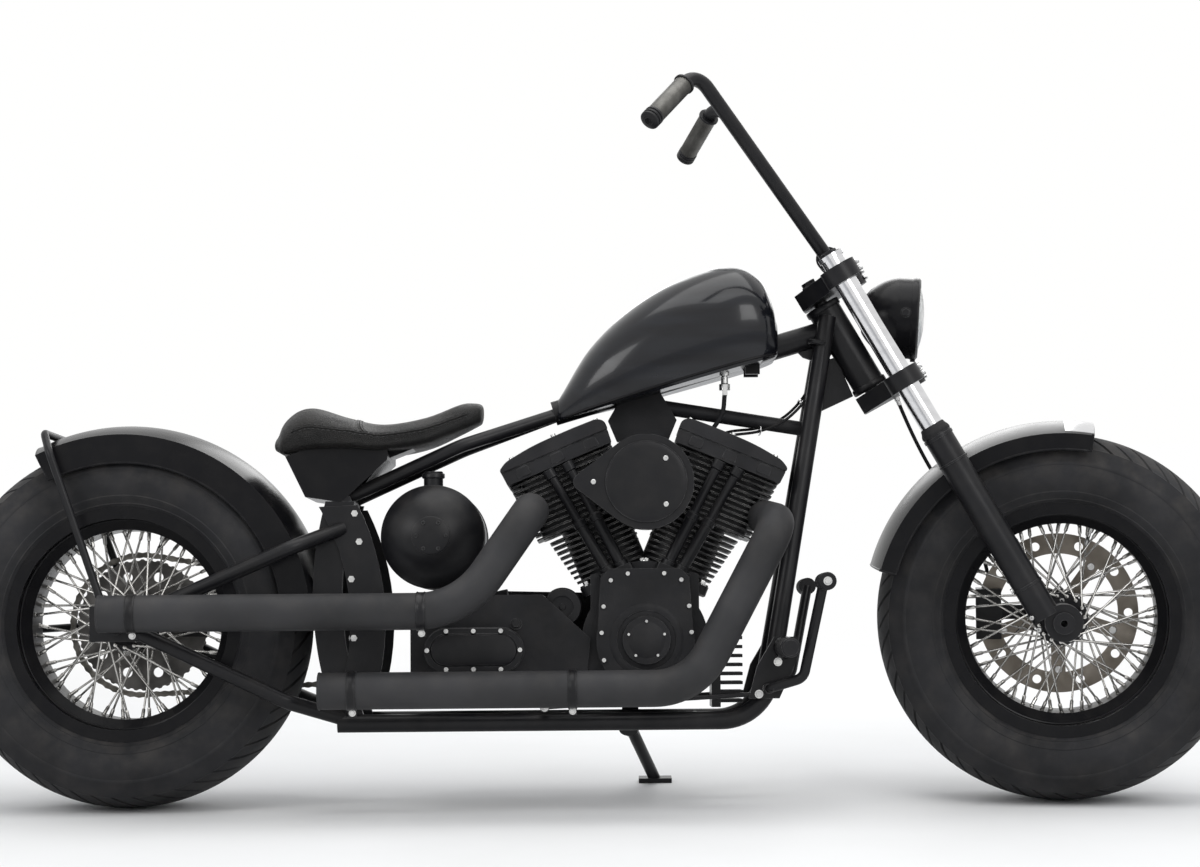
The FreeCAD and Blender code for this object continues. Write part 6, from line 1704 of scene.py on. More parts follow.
@dataclass
class Saddle:
    """The padded solo saddle: a cover settled over its foam, its welt and its stitches."""

    sections: tuple = ((-566, 634, 658, 76, 9), (-548, 626, 693, 110, 22), (-506, 634, 712, 134, 26),
                       (-440, 636, 692, 140, 24), (-376, 632, 679, 130, 22), (-300, 644, 692, 96, 22),
                       (-240, 668, 716, 62, 20), (-206, 684, 721, 44, 15))
    voxel: float = 0.0048
    press: float = 4.0
    frames: int = 20
    room: float = 4.0
    held_up_to: float = 7.0
    stitch_every: float = 8.0
    stitch_aside: float = 4.2
    seat: Optional[bpy.types.Object] = None

    def build(self) -> None:
        """Make the cover, settle it, then sew it."""
        rows = domed([arched(row, 19) for row in blend(self.sections, 5)], 7.0)
        mesh = Shell().grid(rows, False, True, True).mesh("saddle_cover")
        self.seat = piece("saddle_cover", mesh, Body.FRAME, Paint.HIDE, ("seat",), 60)
        self.settle(self.seat)
        self.sew()

    def settle(self, seat: bpy.types.Object) -> None:
        """Let the cover swell over its foam as cloth, and keep each point near where it started.

        Args:
            seat: the cover.
        """
        bpy.context.view_layer.objects.active = seat
        seat.select_set(True)
        grid = seat.modifiers.new("Even", "REMESH")
        grid.mode = "VOXEL"
        grid.voxel_size = self.voxel
        bpy.ops.object.modifier_apply(modifier=grid.name)
        start = np.array([vertex.co[:] for vertex in seat.data.vertices])
        held = []
        for index, place in enumerate(start):
            back = UPRIGHT.inverted() @ Vector(place)
            table = np.interp(back.x, *np.array(self.sections).T[:2])
            if back.z < table + self.held_up_to:
                held.append(index)
        log.info("saddle: %d of %d points held", len(held), len(start))
        seat.vertex_groups.new(name="base").add(held, 1.0, "REPLACE")
        cloth = seat.modifiers.new("Cover", "CLOTH")
        cloth.settings.use_pressure = True
        cloth.settings.uniform_pressure_force = self.press
        cloth.settings.vertex_group_mass = "base"
        cloth.settings.quality = 5
        cloth.settings.tension_stiffness = 25
        cloth.settings.compression_stiffness = 25
        cloth.settings.bending_stiffness = 1.5
        cloth.settings.effector_weights.gravity = 0
        for number in range(1, self.frames + 1):
            bpy.context.scene.frame_set(number)
        bpy.ops.object.modifier_apply(modifier=cloth.name)
        now = np.array([vertex.co[:] for vertex in seat.data.vertices])
        move = now - start
        reach = np.linalg.norm(move, axis=1, keepdims=True)
        limit = self.room * MM
        now = start + move * np.minimum(1.0, limit / np.maximum(reach, 1e-9))
        seat.data.vertices.foreach_set("co", now.ravel())
        seat.vertex_groups.clear()
        smooth = seat.modifiers.new("Even out", "SMOOTH")
        smooth.iterations = 3
        bpy.ops.object.modifier_apply(modifier=smooth.name)
        for face in seat.data.polygons:
            face.use_smooth = True
        rounds = seat.modifiers.new("Rounds", "SUBSURF")
        rounds.levels = 1
        rounds.render_levels = 1
        bpy.context.scene.frame_set(1)
        seat.select_set(False)

    def surface(self, x: float, share: float, lift: float) -> tuple[Vector, Vector]:
        """Find a place on the settled cover.

        Args:
            x: how far along the machine.
            share: how far across, from -1 on the right to 1 on the left.
            lift: how far above the cover.

        Returns:
            The place and the way the cover faces there, in upright millimetres.
        """
        rows = np.array(self.sections)
        low, high, half, side = (float(np.interp(x, rows[:, 0], rows[:, k])) for k in (1, 2, 3, 4))
        turn = math.pi * (share + 1) / 2
        arch = math.sin(turn) ** ARCH_POWER
        guess = Vector((x, -half * math.cos(turn), low + side + (high - low - side) * arch))
        back = UPRIGHT.inverted()
        way = (Vector((0, -math.cos(turn) * 0.8, max(arch, 0.25)))).normalized()
        hit, spot, normal, _ = self.seat.closest_point_on_mesh(UPRIGHT @ (guess + way * 12))
        if not hit:
            return guess, way
        face = (back.to_3x3() @ normal).normalized()
        return back @ spot + face * lift, face

    def sew(self) -> None:
        """Two seams along and one across, each a shallow welt with stitches along it."""
        lines = []
        for share in (-0.86, 0.86):
            lines.append([(x, share) for x in np.linspace(-540, -222, 100)])
        lines.append([(-392 - 26 * (1 - s * s), s) for s in np.linspace(-0.86, 0.86, 60)])
        welt = Shell()
        stitches: list[Matrix] = []
        for line in lines:
            spots = [self.surface(x, s, 0.2) for x, s in line]
            welt.tube([spot for spot, _ in spots], 1.6, 8)
            run = 0.0
            for (a, up), (b, _) in zip(spots, spots[1:]):
                run += (b - a).length
                if run >= self.stitch_every:
                    run = 0.0
                    for side in (-1, 1):
                        aside = (b - a).normalized().cross(up) * side * self.stitch_aside
                        turn = Matrix((b - a, up.cross(b - a), up)).transposed().normalized().to_4x4()
                        stitches.append(Matrix.Translation(a + aside) @ turn)
        piece("saddle_welt", welt, Body.FRAME, Paint.HIDE)
        stitch = Shell().tube([(-2.6, 0, -0.3), (-1.4, 0, 0.7), (1.4, 0, 0.7), (2.6, 0, -0.3)], 0.55, 5)
        scatter("saddle_stitches", stitch, stitches, Body.FRAME, Paint.THREAD)


# ------------------------------------------------------------------ the front end
@dataclass
class Headlight:
    """The lamp: a bright rim with its clamp screw, a fluted lens, a reflector bowl and two side bolts."""

    centre: Flat = (580.0, 868.0)
    radius: float = 73.0
    nod: float = 4.0
    flutes: int = 17

    def frame(self) -> Matrix:
        """The lamp's frame: Z ahead through the lens, X down, Y across."""
        turn = Matrix.Rotation(math.radians(90 + self.nod), 4, "Y")
        return Matrix.Translation((self.centre[0], 0, self.centre[1])) @ turn

    def build(self) -> None:
        """Make the rim, the lens, the bowl and the bolts."""
        turn = self.frame()
        r = self.radius
        rim = Shell().lathe([(r - 5, -2), (r + 0.5, -3), (r + 1.6, 2), (r + 1.2, 8), (r - 3, 11.4), (r - 9, 11.6),
                             (r - 9.5, 9)], 72, True, turn)
        rim.box((r - 1, -6, -1), (r + 5, 6, 8), turn)
        piece("lamp_rim", rim, Body.FORK, Paint.GLOSS, bevel=0.4)
        rows = []
        for share in np.linspace(1.0, 0.02, 15):
            rows.append([(r * 0.872 * share * math.cos(a), r * 0.872 * share * math.sin(a),
                          9.0 + 11.0 * (1 - share ** 2)
                          - 0.8 * abs(math.sin(self.flutes * math.pi * share * math.sin(a) / 2)) * min(1, 3 * share))
                         for a in (2 * math.pi * k / 96 for k in range(96))])
        back = [[(x, y, z - 3.0) for x, y, z in row] for row in rows[::-1]]
        lens = Shell().grid(back + rows, False, True, True, turn)
        piece("lamp_lens", lens, Body.FORK, Paint.GLASS, ("headlight_lens",), 30)
        bowl = [(r * 0.868 * s, 6.0 - 26.0 * (1 - s ** 2)) for s in np.linspace(1.0, 0.0, 13)]
        bowl = [(max(a, 0.1), b) for a, b in bowl] + [(0.1, -22.0)] + [(max(a, 0.1), b - 2) for a, b in bowl[::-1]]
        piece("lamp_bowl", Shell().lathe(bowl, 64, True, turn), Body.FORK, Paint.REFLECTOR)
        sides = [turn @ facing((-8, side * (r - 1), -12), (0, side, 0)) for side in (-1, 1)]
        scatter("lamp_bolts", hex_head(7, 7), sides, Body.FORK, Paint.FRAME)


@dataclass
class Bars:
    """The grips, their end caps, the riser clamps' screws and the trees' fittings."""

    top: Place = (212.0, 234.0, 1296.0)
    end: Place = (141.0, 334.0, 1203.0)
    grip_radius: float = 17.2
    grip_length: float = 112.0
    riser: float = 46.0
    spread: float = 165.0
    trees: Flat = (491.0, 706.0)
    thick: float = 31.0

    def build(self) -> None:
        """Make both grips and every fitting of the trees."""
        caps = Shell()
        sleeves = []
        for side in (-1, 1):
            top = Vector((self.top[0], side * self.top[1], self.top[2]))
            end = Vector((self.end[0], side * self.end[1], self.end[2]))
            along = (end - top).normalized()
            start = end - along * self.grip_length
            turn = facing(start, along)
            middle = facing(start + along * (self.grip_length - 16) / 2, along)
            sleeves.append(grow("grip", TREES.knurl, marks([Matrix.Identity(4)]), Paint.KNURL, middle,
                                radius=self.grip_radius, length=self.grip_length - 16, around=40, along=46,
                                depth=0.9))
            caps.lathe([(12.9, -4), (18.6, -4), (19.4, -3), (19.4, 0), (18.6, 1), (12.9, 1)], 40, True, turn)
            far = facing(end - along * 16, along)
            r = self.grip_radius
            rings = [(12.9, 0), (r + 0.4, 0), (r + 0.8, 1), (r + 0.8, 4), (r - 1.4, 5), (r - 1.4, 7), (r + 0.8, 8),
                     (r + 0.8, 11), (r - 1.4, 12), (r - 1.4, 14), (r + 0.8, 15), (r + 0.4, 18), (r - 4, 20.5),
                     (7, 21), (6.4, 18), (0.1, 18), (0.1, 16), (12.9, 16)]
            caps.lathe(rings, 48, True, far)
        whole = merged("grips_knurled", sleeves)
        whole.materials.append(FINISHES.material(Paint.KNURL))
        piece("grips_knurled", whole, Body.FORK, Paint.KNURL, ("grips",), 25)
        piece("grip_caps", caps, Body.FORK, Paint.FRAME, bevel=0.3)
        self.tree_fittings()

    def tree_fittings(self) -> None:
        """Pinch screws behind the collars, nuts on the tubes, the stem nut and the risers' screws."""
        fork = STANCE.fork()
        screws = []
        for bottom in self.trees:
            for side in (-1, 1):
                for up in (9, self.thick - 9):
                    screws.append(fork @ facing((-24, side * (self.spread - 33), bottom + up), (-0.5, -side, 0)))
                    screws.append(fork @ facing((33, side * (self.spread - 6), bottom + up), (1, 0, 0)))
        scatter("tree_screws", cap_screw(5.2, 6), screws, Body.FORK, Paint.BOLT)
        nuts = [fork @ facing((0, side * self.spread, 759), (0, 0, 1)) for side in (-1, 1)]
        nuts.append(fork @ facing((-STANCE.stem_offset, 0, self.trees[1] + self.thick), (0, 0, 1)))
        scatter("tube_nuts", hex_head(15, 8), nuts, Body.FORK, Paint.FRAME)
        clamps = [fork @ facing((-6, side * self.riser + aside, 784), (0, 0, 1))
                  for side in (-1, 1) for aside in (-10, 10)]
        scatter("riser_screws", cap_screw(4.4, 5), clamps, Body.FORK, Paint.BOLT)


@dataclass
class ForkLegs:
    """What sits on the legs: dust seals, bands, axle pinch screws, drain plugs and the fender's bolts."""

    spread: float = 165.0
    leg_radius: float = 26.0
    tube_radius: float = 20.5
    leg_top: float = 394.0
    mount_up: float = 318.0
    hose_radius: float = 3.5
    hose_route: tuple[Place, ...] = ((-30, 132, 491), (-38, 138, 438), (-44, 147, 362), (-43, 150, 285),
                                     (-47, 148, 220), (-40.1, 130, 141.8), (-65.1, 118, 102.8))

    def build(self) -> None:
        """Make the seals and bands, then the screws and the brake hose."""
        fork = STANCE.fork()
        seals, bands, screws = Shell(), Shell(), []
        for side in (-1, 1):
            base = fork @ Matrix.Translation((0, side * self.spread, 0))
            r, t, top = self.leg_radius, self.tube_radius, self.leg_top
            seals.lathe([(t + 0.2, top), (r + 0.4, top), (r + 1.0, top + 3), (r, top + 7), (t + 3, top + 12),
                         (t + 1.6, top + 17), (t + 0.2, top + 18)], 48, True, base)
            for up, high in ((top - 9, 7), (top - 58, 5), (84, 6)):
                bands.lathe([(r - 1, up), (r + 1.5, up + 0.6), (r + 1.5, up + high - 0.6), (r - 1, up + high)], 48,
                            True, base)
            for up in (12, 36):
                screws.append(base @ facing((-20, side * 17, up), (-0.6, side, 0)))
            screws.append(base @ facing((-r + 1, 0, 92), (-1, 0, 0)))
            for lean in (-9, 9):
                screws.append(base @ facing((lean, -side * (r - 2), self.mount_up), (0, -side, 0)))
        piece("fork_seals", seals, Body.FORK, Paint.RUBBER)
        piece("fork_bands", bands, Body.FORK, Paint.FRAME, bevel=0.3)
        scatter("leg_screws", cap_screw(4.6, 5.5), screws, Body.FORK, Paint.BOLT)
        self.hose(fork)

    def hose(self, fork: Matrix) -> None:
        """The brake hose from the bottom tree down behind the left leg to the caliper, with its ferrules.

        Args:
            fork: the fork's own frame.
        """
        route = [fork @ Vector(place) for place in self.hose_route]
        line = bpy.data.curves.new("front_hose", "CURVE")
        line.dimensions = "3D"
        line.bevel_depth = self.hose_radius * MM
        line.bevel_resolution = 4
        line.use_fill_caps = True
        spline = line.splines.new("NURBS")
        spline.points.add(len(route) - 1)
        for point, place in zip(spline.points, route):
            point.co = (*(STEERED @ place), 1.0)
        spline.use_endpoint_u = True
        spline.order_u = 3
        spline.resolution_u = 16
        line.materials.append(FINISHES.material(Paint.RUBBER))
        thing = placed("front_hose", line)
        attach(thing, Body.FORK.value)
        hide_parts("front_brake_hose")
        log.info("front_hose on fork: a curve through %d places", len(route))
        ends = Shell()
        for a, b in ((route[0], route[1]), (route[-1], route[-2])):
            turn = facing(a, b - a)
            ends.lathe([(1, -4), (5.4, -4), (5.4, 6), (4.3, 7), (4.3, 15), (1, 15)], 16, True, turn)
        piece("front_hose_ends", ends, Body.FORK, Paint.BOLT, bevel=0.2)


@dataclass
class FenderTrim:
    """Rolled edges of both fenders, and a chrome strip at the front fender's tip, put there as a painted highlight."""

    rows: tuple = (("front", 352.0, 122.0, 50.0, 10.0, -74.0), ("rear", 357.0, 122.0, 72.0, -26.5, 92.0))
    drop: float = 22.0

    def build(self) -> None:
        """Make both rims and the chrome strip, a painted highlight on the front fender."""
        for end, radius, half, flank, start, stop in self.rows:
            body = Body.FORK if end == "front" else Body.FRAME
            rim = Shell().tube(self.edge(end, radius, half, flank, start, stop), 2.4, 8, True)
            piece(f"{end}_fender_rim", rim, body, Paint.GLOSS)
        # Painted highlight: this chrome strip sits where the front fender's crown shows a bright highlight and stands
        # in for it; it also reflects as chrome.
        centre = STANCE.axle(1)
        _, radius, half, _, _, _ = self.rows[0]
        arch = (half ** 2 + self.drop ** 2) / (2 * self.drop)
        rows = []
        for angle in np.linspace(1.5, 10.2, 8):
            a = math.radians(angle)
            row = []
            for lift in (1.2, -0.6):
                for y in np.linspace(10 - half, half - 10, 15)[:: 1 if lift > 0 else -1]:
                    r = radius + math.sqrt(arch ** 2 - y ** 2) - arch + lift
                    row.append((centre.x + r * math.sin(a), y, centre.z + r * math.cos(a)))
            rows.append(row)
        strip = Shell().grid(rows, False, True, True)
        piece("front_fender_strip", strip, Body.FORK, Paint.CHROME, angle=50)

    def edge(self, end: str, radius: float, half: float, flank: float, start: float, stop: float) -> list[Place]:
        """Run round a fender's rim.

        Args:
            end: front or rear.
            radius: the crown's radius.
            half: half the fender's width.
            flank: how far the sides hang.
            start: the angle where the fender begins, from the wheel's top.
            stop: where it ends.

        Returns:
            The places of a closed loop.
        """
        centre = STANCE.axle(1 if end == "front" else -1)

        def at(angle: float, r: float, y: float) -> tuple:
            """A place on the fender."""
            a = math.radians(angle)
            return (centre.x + r * math.sin(a), y, centre.z + r * math.cos(a))

        low = radius - flank
        angles = np.linspace(start, stop, 60)
        loop = [at(a, low, half - 1.5) for a in angles]
        loop += [at(stop, radius - flank * t, half - 1.5) for t in (0.8, 0.6, 0.4)]
        arch = (half ** 2 + self.drop ** 2) / (2 * self.drop)
        crown = [(y, radius + math.sqrt(arch ** 2 - y ** 2) - arch - 1.5)
                 for y in np.linspace(half - 1.5, -half + 1.5, 17)]
        loop += [at(stop, r, y) for y, r in crown]
        loop += [at(stop, radius - flank * t, -half + 1.5) for t in (0.4, 0.6, 0.8)]
        loop += [at(a, low, -half + 1.5) for a in angles[::-1]]
        loop += [at(start, radius - flank * t, -half + 1.5) for t in (0.8, 0.6, 0.4)]
        loop += [at(start, r, -y) for y, r in crown]
        return loop + [at(start, radius - flank * t, half - 1.5) for t in (0.4, 0.6, 0.8)]


# ------------------------------------------------------------------ drive, exhaust and frame fittings
@dataclass
class Chain:
    """The drive chain, link by link round both sprockets."""

    wheel: tuple = (-836.0, 328.0, 129.0)
    drive: tuple = (-215.0, 290.0, 58.0)
    place: float = 135.0
    links: int = 118

    def route(self) -> list[tuple[float, float]]:
        """The pins' pitch line as (x, z) places, evenly spaced.

        Returns:
            The places in millimetres.
        """
        (ax, az, big), (bx, bz, small) = self.wheel, self.drive
        length = math.hypot(bx - ax, bz - az)
        along = math.atan2(bz - az, bx - ax)
        spread = math.acos((big - small) / length)
        line = [(ax + big * math.cos(t), az + big * math.sin(t))
                for t in np.linspace(along + spread, along + 2 * math.pi - spread, 90)]
        line += [(bx + small * math.cos(t), bz + small * math.sin(t))
                 for t in np.linspace(along - spread, along + spread, 50)]
        spots = np.array(line + [line[0]])
        run = np.concatenate([[0], np.cumsum(np.linalg.norm(np.diff(spots, axis=0), axis=1))])
        marks_at = np.linspace(0, run[-1], self.links, endpoint=False)
        return [(float(np.interp(m, run, spots[:, 0])), float(np.interp(m, run, spots[:, 1]))) for m in marks_at]

    def build(self) -> None:
        """Make inner and outer links in turn."""
        spots = self.route()
        for kind, offset, plates, half in (("inner", 0, (-3.9, 3.9), 1.0), ("outer", 1, (-6.1, 6.1), 1.0)):
            step = math.dist(spots[0], spots[1])
            shape = Shell()
            arc = circle(5.6, 10, 90)
            outline = [(x - step / 2, z) for x, z in arc[:6]] + [(0, -4.0)]
            outline += [(x + step / 2, z) for x, z in circle(5.6, 10, -90)[:6]] + [(0, 4.0)]
            for y in plates:
                shape.prism(outline, y - half, y + half, facing((0, 0, 0), (0, -1, 0)))
            for side in (-1, 1):
                pin = facing((side * step / 2, 0, 0), (0, 1, 0))
                if kind == "inner":
                    shape.prism(circle(4.2, 8), -2.9, 2.9, pin)
                else:
                    shape.prism(circle(2.4, 8), -7.3, 7.3, pin)
            places = []
            for i in range(offset, self.links, 2):
                (x0, z0), (x1, z1) = spots[i], spots[(i + 1) % self.links]
                turn = Matrix.Rotation(-math.atan2(z1 - z0, x1 - x0), 4, "Y")
                places.append(Matrix.Translation(((x0 + x1) / 2, self.place, (z0 + z1) / 2)) @ turn)
            scatter(f"chain_{kind}", shape, places, Body.FRAME, Paint.CHAIN,
                    replaces=("drive_chain",) if kind == "inner" else ())


@dataclass
class Exhausts:
    """Clamps and flanges on both pipes."""

    place: float = -222.0
    radius: float = 32.0
    bands: tuple = ((-420.0, 209.0), (-40.0, 209.0), (-800.0, 345.0), (-300.0, 345.0))

    def build(self) -> None:
        """Make the band clamps with their screws and the rolled mouths."""
        shell, screws = Shell(), []
        for x, z in self.bands:
            turn = facing((x, self.place, z), (1, 0, 0))
            r = self.radius
            shell.lathe([(r - 1, -8), (r + 1.5, -8), (r + 2.2, -6), (r + 1.2, -4), (r + 1.2, 4), (r + 2.2, 6),
                         (r + 1.5, 8), (r - 1, 8)], 64, True, turn)
            for side in (-1, 1):
                shell.box((x - 7, self.place + 18 + side * 4 - 1.5, z - r - 12),
                          (x + 7, self.place + 18 + side * 4 + 1.5, z - r + 6))
            screws.append(facing((x, self.place + 12.5, z - r - 6), (0, -1, 0)))
        piece("pipe_bands", shell, Body.FRAME, Paint.FRAME, bevel=0.4)
        scatter("pipe_screws", hex_head(4.6, 6), screws, Body.FRAME, Paint.BOLT)
        mouths = Shell()
        for x, z in ((-477.0, 209.0), (-857.0, 345.0)):
            r = self.radius
            mouths.lathe([(r - 3.4, -9), (r - 3.4, 0), (r - 1.8, 1.2), (r + 0.2, 0.6), (r + 0.9, -1.0), (r + 0.4, -3),
                          (r - 0.4, -3), (r - 2.4, -9)], 64, True, facing((x, self.place, z), (-1, 0, 0)))
        piece("pipe_mouths", mouths, Body.FRAME, Paint.EXHAUST)


@dataclass
class GearCover:
    """The gearbox's oval side cover, its screws, its filler plug and the starter's end."""

    centre: Flat = (-214.0, 277.0)
    half: float = 48.0
    radius: float = 40.0
    face: float = -124.0
    starter: Flat = (-58.0, 352.0)

    def outline(self, radius: float, steps: int = 20) -> list[Flat]:
        """The oval with a given end radius.

        Args:
            radius: the ends' radius.
            steps: how many steps each end has.

        Returns:
            The places round it.
        """
        x, z = self.centre
        ends = []
        for side in (1, -1):
            for k in range(steps + 1):
                a = math.pi * (k / steps - 0.5) + (0 if side > 0 else math.pi)
                ends.append((x + side * self.half + radius * math.cos(a), z + radius * math.sin(a)))
        return ends

    def build(self) -> None:
        """Make the raised cover and its screws."""
        rows = []
        for r, out in ((39.4, 2), (39.4, -4.5), (37.8, -6), (29, -6), (27.5, -7.5), (26, -10.5), (20, -11.4),
                       (2, -12)):
            rows.append([(x, self.face + out, z) for x, z in self.outline(r)])
        piece("gear_cover", Shell().grid(rows, False, True, True), Body.FRAME, Paint.FRAME)
        edge = self.outline(33.6, 4)
        spots = [edge[i] for i in (0, 2, 4, 5, 7, 9)] + [(self.centre[0], self.centre[1] + s * 33.6) for s in (-1, 1)]
        screws = [facing((x, self.face - 6, z), (0, -1, 0)) for x, z in spots]
        scatter("gear_screws", cap_screw(4.8, 5.5), screws, Body.FRAME, Paint.BOLT)
        x, z = self.starter
        end = Shell().lathe([(34.4, 6), (34.4, -1), (32, -4), (20, -5), (18, -3.5), (6, -3.5), (5, -6), (0.1, -6.4)],
                            48, False, facing((x, -78, z), (0, 1, 0)))
        piece("starter_end", end, Body.FRAME, Paint.FRAME)
        plugs = [facing((self.centre[0] + 74, self.face + 26, 322), (0, -1, 0.2)),
                 facing((-140, -98, 214), (0, -1, 0)), facing((-262, -98, 226), (0, -1, 0))]
        scatter("gear_plugs", hex_head(8, 8), plugs, Body.FRAME, Paint.FRAME)


@dataclass
class OilTank:
    """The round oil tank across the frame: straps, beads, filler neck, bayonet cap and hoses."""

    centre: Flat = (-287.0, 478.0)
    radius: float = 91.0
    half: float = 152.0

    def build(self) -> None:
        """Make the straps, the end beads, the neck with its cap, and the two hoses."""
        x, z = self.centre
        axis = facing((x, 0, z), (0, 1, 0))
        r = self.radius
        shell, screws = Shell(), []
        for y in (-66, 66):
            shell.lathe([(r - 1, y - 13), (r + 1.4, y - 13), (r + 1.4, y + 13), (r - 1, y + 13)], 96, True, axis)
        for y in (-96, 96):
            shell.lathe([(r - 2, y - 3), (r + 0.8, y - 1.5), (r + 0.8, y + 1.5), (r - 2, y + 3)], 96, True, axis)
        piece("oil_straps", shell, Body.FRAME, Paint.FRAME, bevel=0.4)
        for y in (-74, -58, 58, 74):
            screws.append(facing((x + (r + 1) * math.sin(0.9), y, z - (r + 1) * math.cos(0.9)),
                                 (math.sin(0.9), 0, -math.cos(0.9))))
        for k in range(6):
            a = math.pi * k / 3
            screws.append(facing((x + 26 * math.cos(a), -150, z + 26 * math.sin(a)), (0, -1, 0)))
        scatter("oil_screws", cap_screw(4.0, 4.0), screws, Body.FRAME, Paint.FRAME)
        ring = Shell().lathe([(34, -1), (34, -3.6), (32, -5), (10, -6), (0.1, -6)], 48, False,
                             facing((x, -147.5, z), (0, 1, 0)))
        piece("oil_end_plate", ring, Body.FRAME, Paint.FRAME)
        turn = facing((x, -60, z + r - 4), (0, 0, 1))
        cap = Shell().lathe([(0.1, 27), (8, 27), (9, 28), (19.4, 27), (20.4, 25.5), (20.4, 19), (18.5, 18), (17.2, 18),
                             (17.2, 0), (20, -2), (0.1, -2)], 40, False, turn)
        cap.box((-15, -2.2, 26), (15, 2.2, 31), turn)
        piece("oil_cap", cap, Body.FRAME, Paint.FRAME, bevel=0.5)
        hoses = Shell()
        for y, end in ((-36, (-186, -52, 372)), (22, (-158, 8, 380))):
            route = smooth_route(((x + 60, y, z - 62), (x + 82, y, z - 92), (x + 92, y - 6, z - 104), end), 8)
            hoses.tube(route, 6.2, 14)
        piece("oil_hoses", hoses, Body.FRAME, Paint.RUBBER)


@dataclass
class FootControls:
    """Ribbed rubbers on the pegs and pedals, rod ends, return springs and their bolts."""

    peg: Flat = (332.0, 277.0)
    start: float = 128.0
    end: float = 300.0
    pedal: Flat = (397.0, 390.0)

    def build(self) -> None:
        """Make both sides."""
        rubbers, metal, bolts = Shell(), Shell(), []
        for side in (-1, 1):
            turn = facing((self.peg[0], side * self.start, self.peg[1]), (0, side, 0))
            r, length = 16.0, self.end - self.start
            profile = [(r - 2, 18), (r + 1.6, 18)]
            for k in range(14):
                y = 24 + k * 9.2
                profile += [(r + 1.6, y), (r - 0.6, y + 1.6), (r - 0.6, y + 3.6), (r + 1.6, y + 5.2)]
            profile += [(r + 1.6, length - 10), (r - 0.6, length - 8), (r - 3, length - 8), (r - 2, length - 9)]
            rubbers.lathe(profile, 28, True, turn)
            metal.lathe([(0.1, length - 12), (14.4, length - 12), (14.4, length), (13, length + 1.6),
                         (0.1, length + 1.6)], 28, False, turn)
            metal.lathe([(10, -2), (20, 0), (20, 10), (17.5, 16), (10, 16)], 28, True, turn)
            pad = facing((self.pedal[0], side * 196, self.pedal[1]), (0, side, 0))
            ribs = [(12, -4), (15.6, -4)]
            for k in range(9):
                y = k * 9.4
                ribs += [(15.6, y), (13.6, y + 1.6), (13.6, y + 3.8), (15.6, y + 5.4)]
            ribs += [(15.6, 86), (14.6, 90.4), (12, 91)]
            rubbers.lathe(ribs, 24, True, pad)
            bolts += [facing((300, side * 128, 206), (0, side, 0)), facing((320, side * 128, 252), (0, side, 0)),
                      facing((self.pedal[0], side * 287, self.pedal[1]), (0, side, 0))]
            metal.tube([(302 + 8 * math.cos(t), side * (133 + t * 1.1), 206 + 8 * math.sin(t))
                        for t in np.linspace(0, 8 * math.pi, 96)], 1.3, 6)
            for x, z in ((286, 196), (-90, 176)):
                metal.lathe([(2, -6), (8, -6), (8.6, -4), (8.6, 4), (8, 6), (2, 6)], 20, True,
                            facing((x, side * 122, z), (0, 1, 0)))
                bolts.append(facing((x, side * 128.5, z), (0, side, 0)))
        piece("peg_rubbers", rubbers, Body.FRAME, Paint.RUBBER, angle=30)
        piece("peg_fittings", metal, Body.FRAME, Paint.FRAME, bevel=0.3)
        scatter("control_bolts", hex_head(5.6, 6), bolts, Body.FRAME, Paint.BOLT)


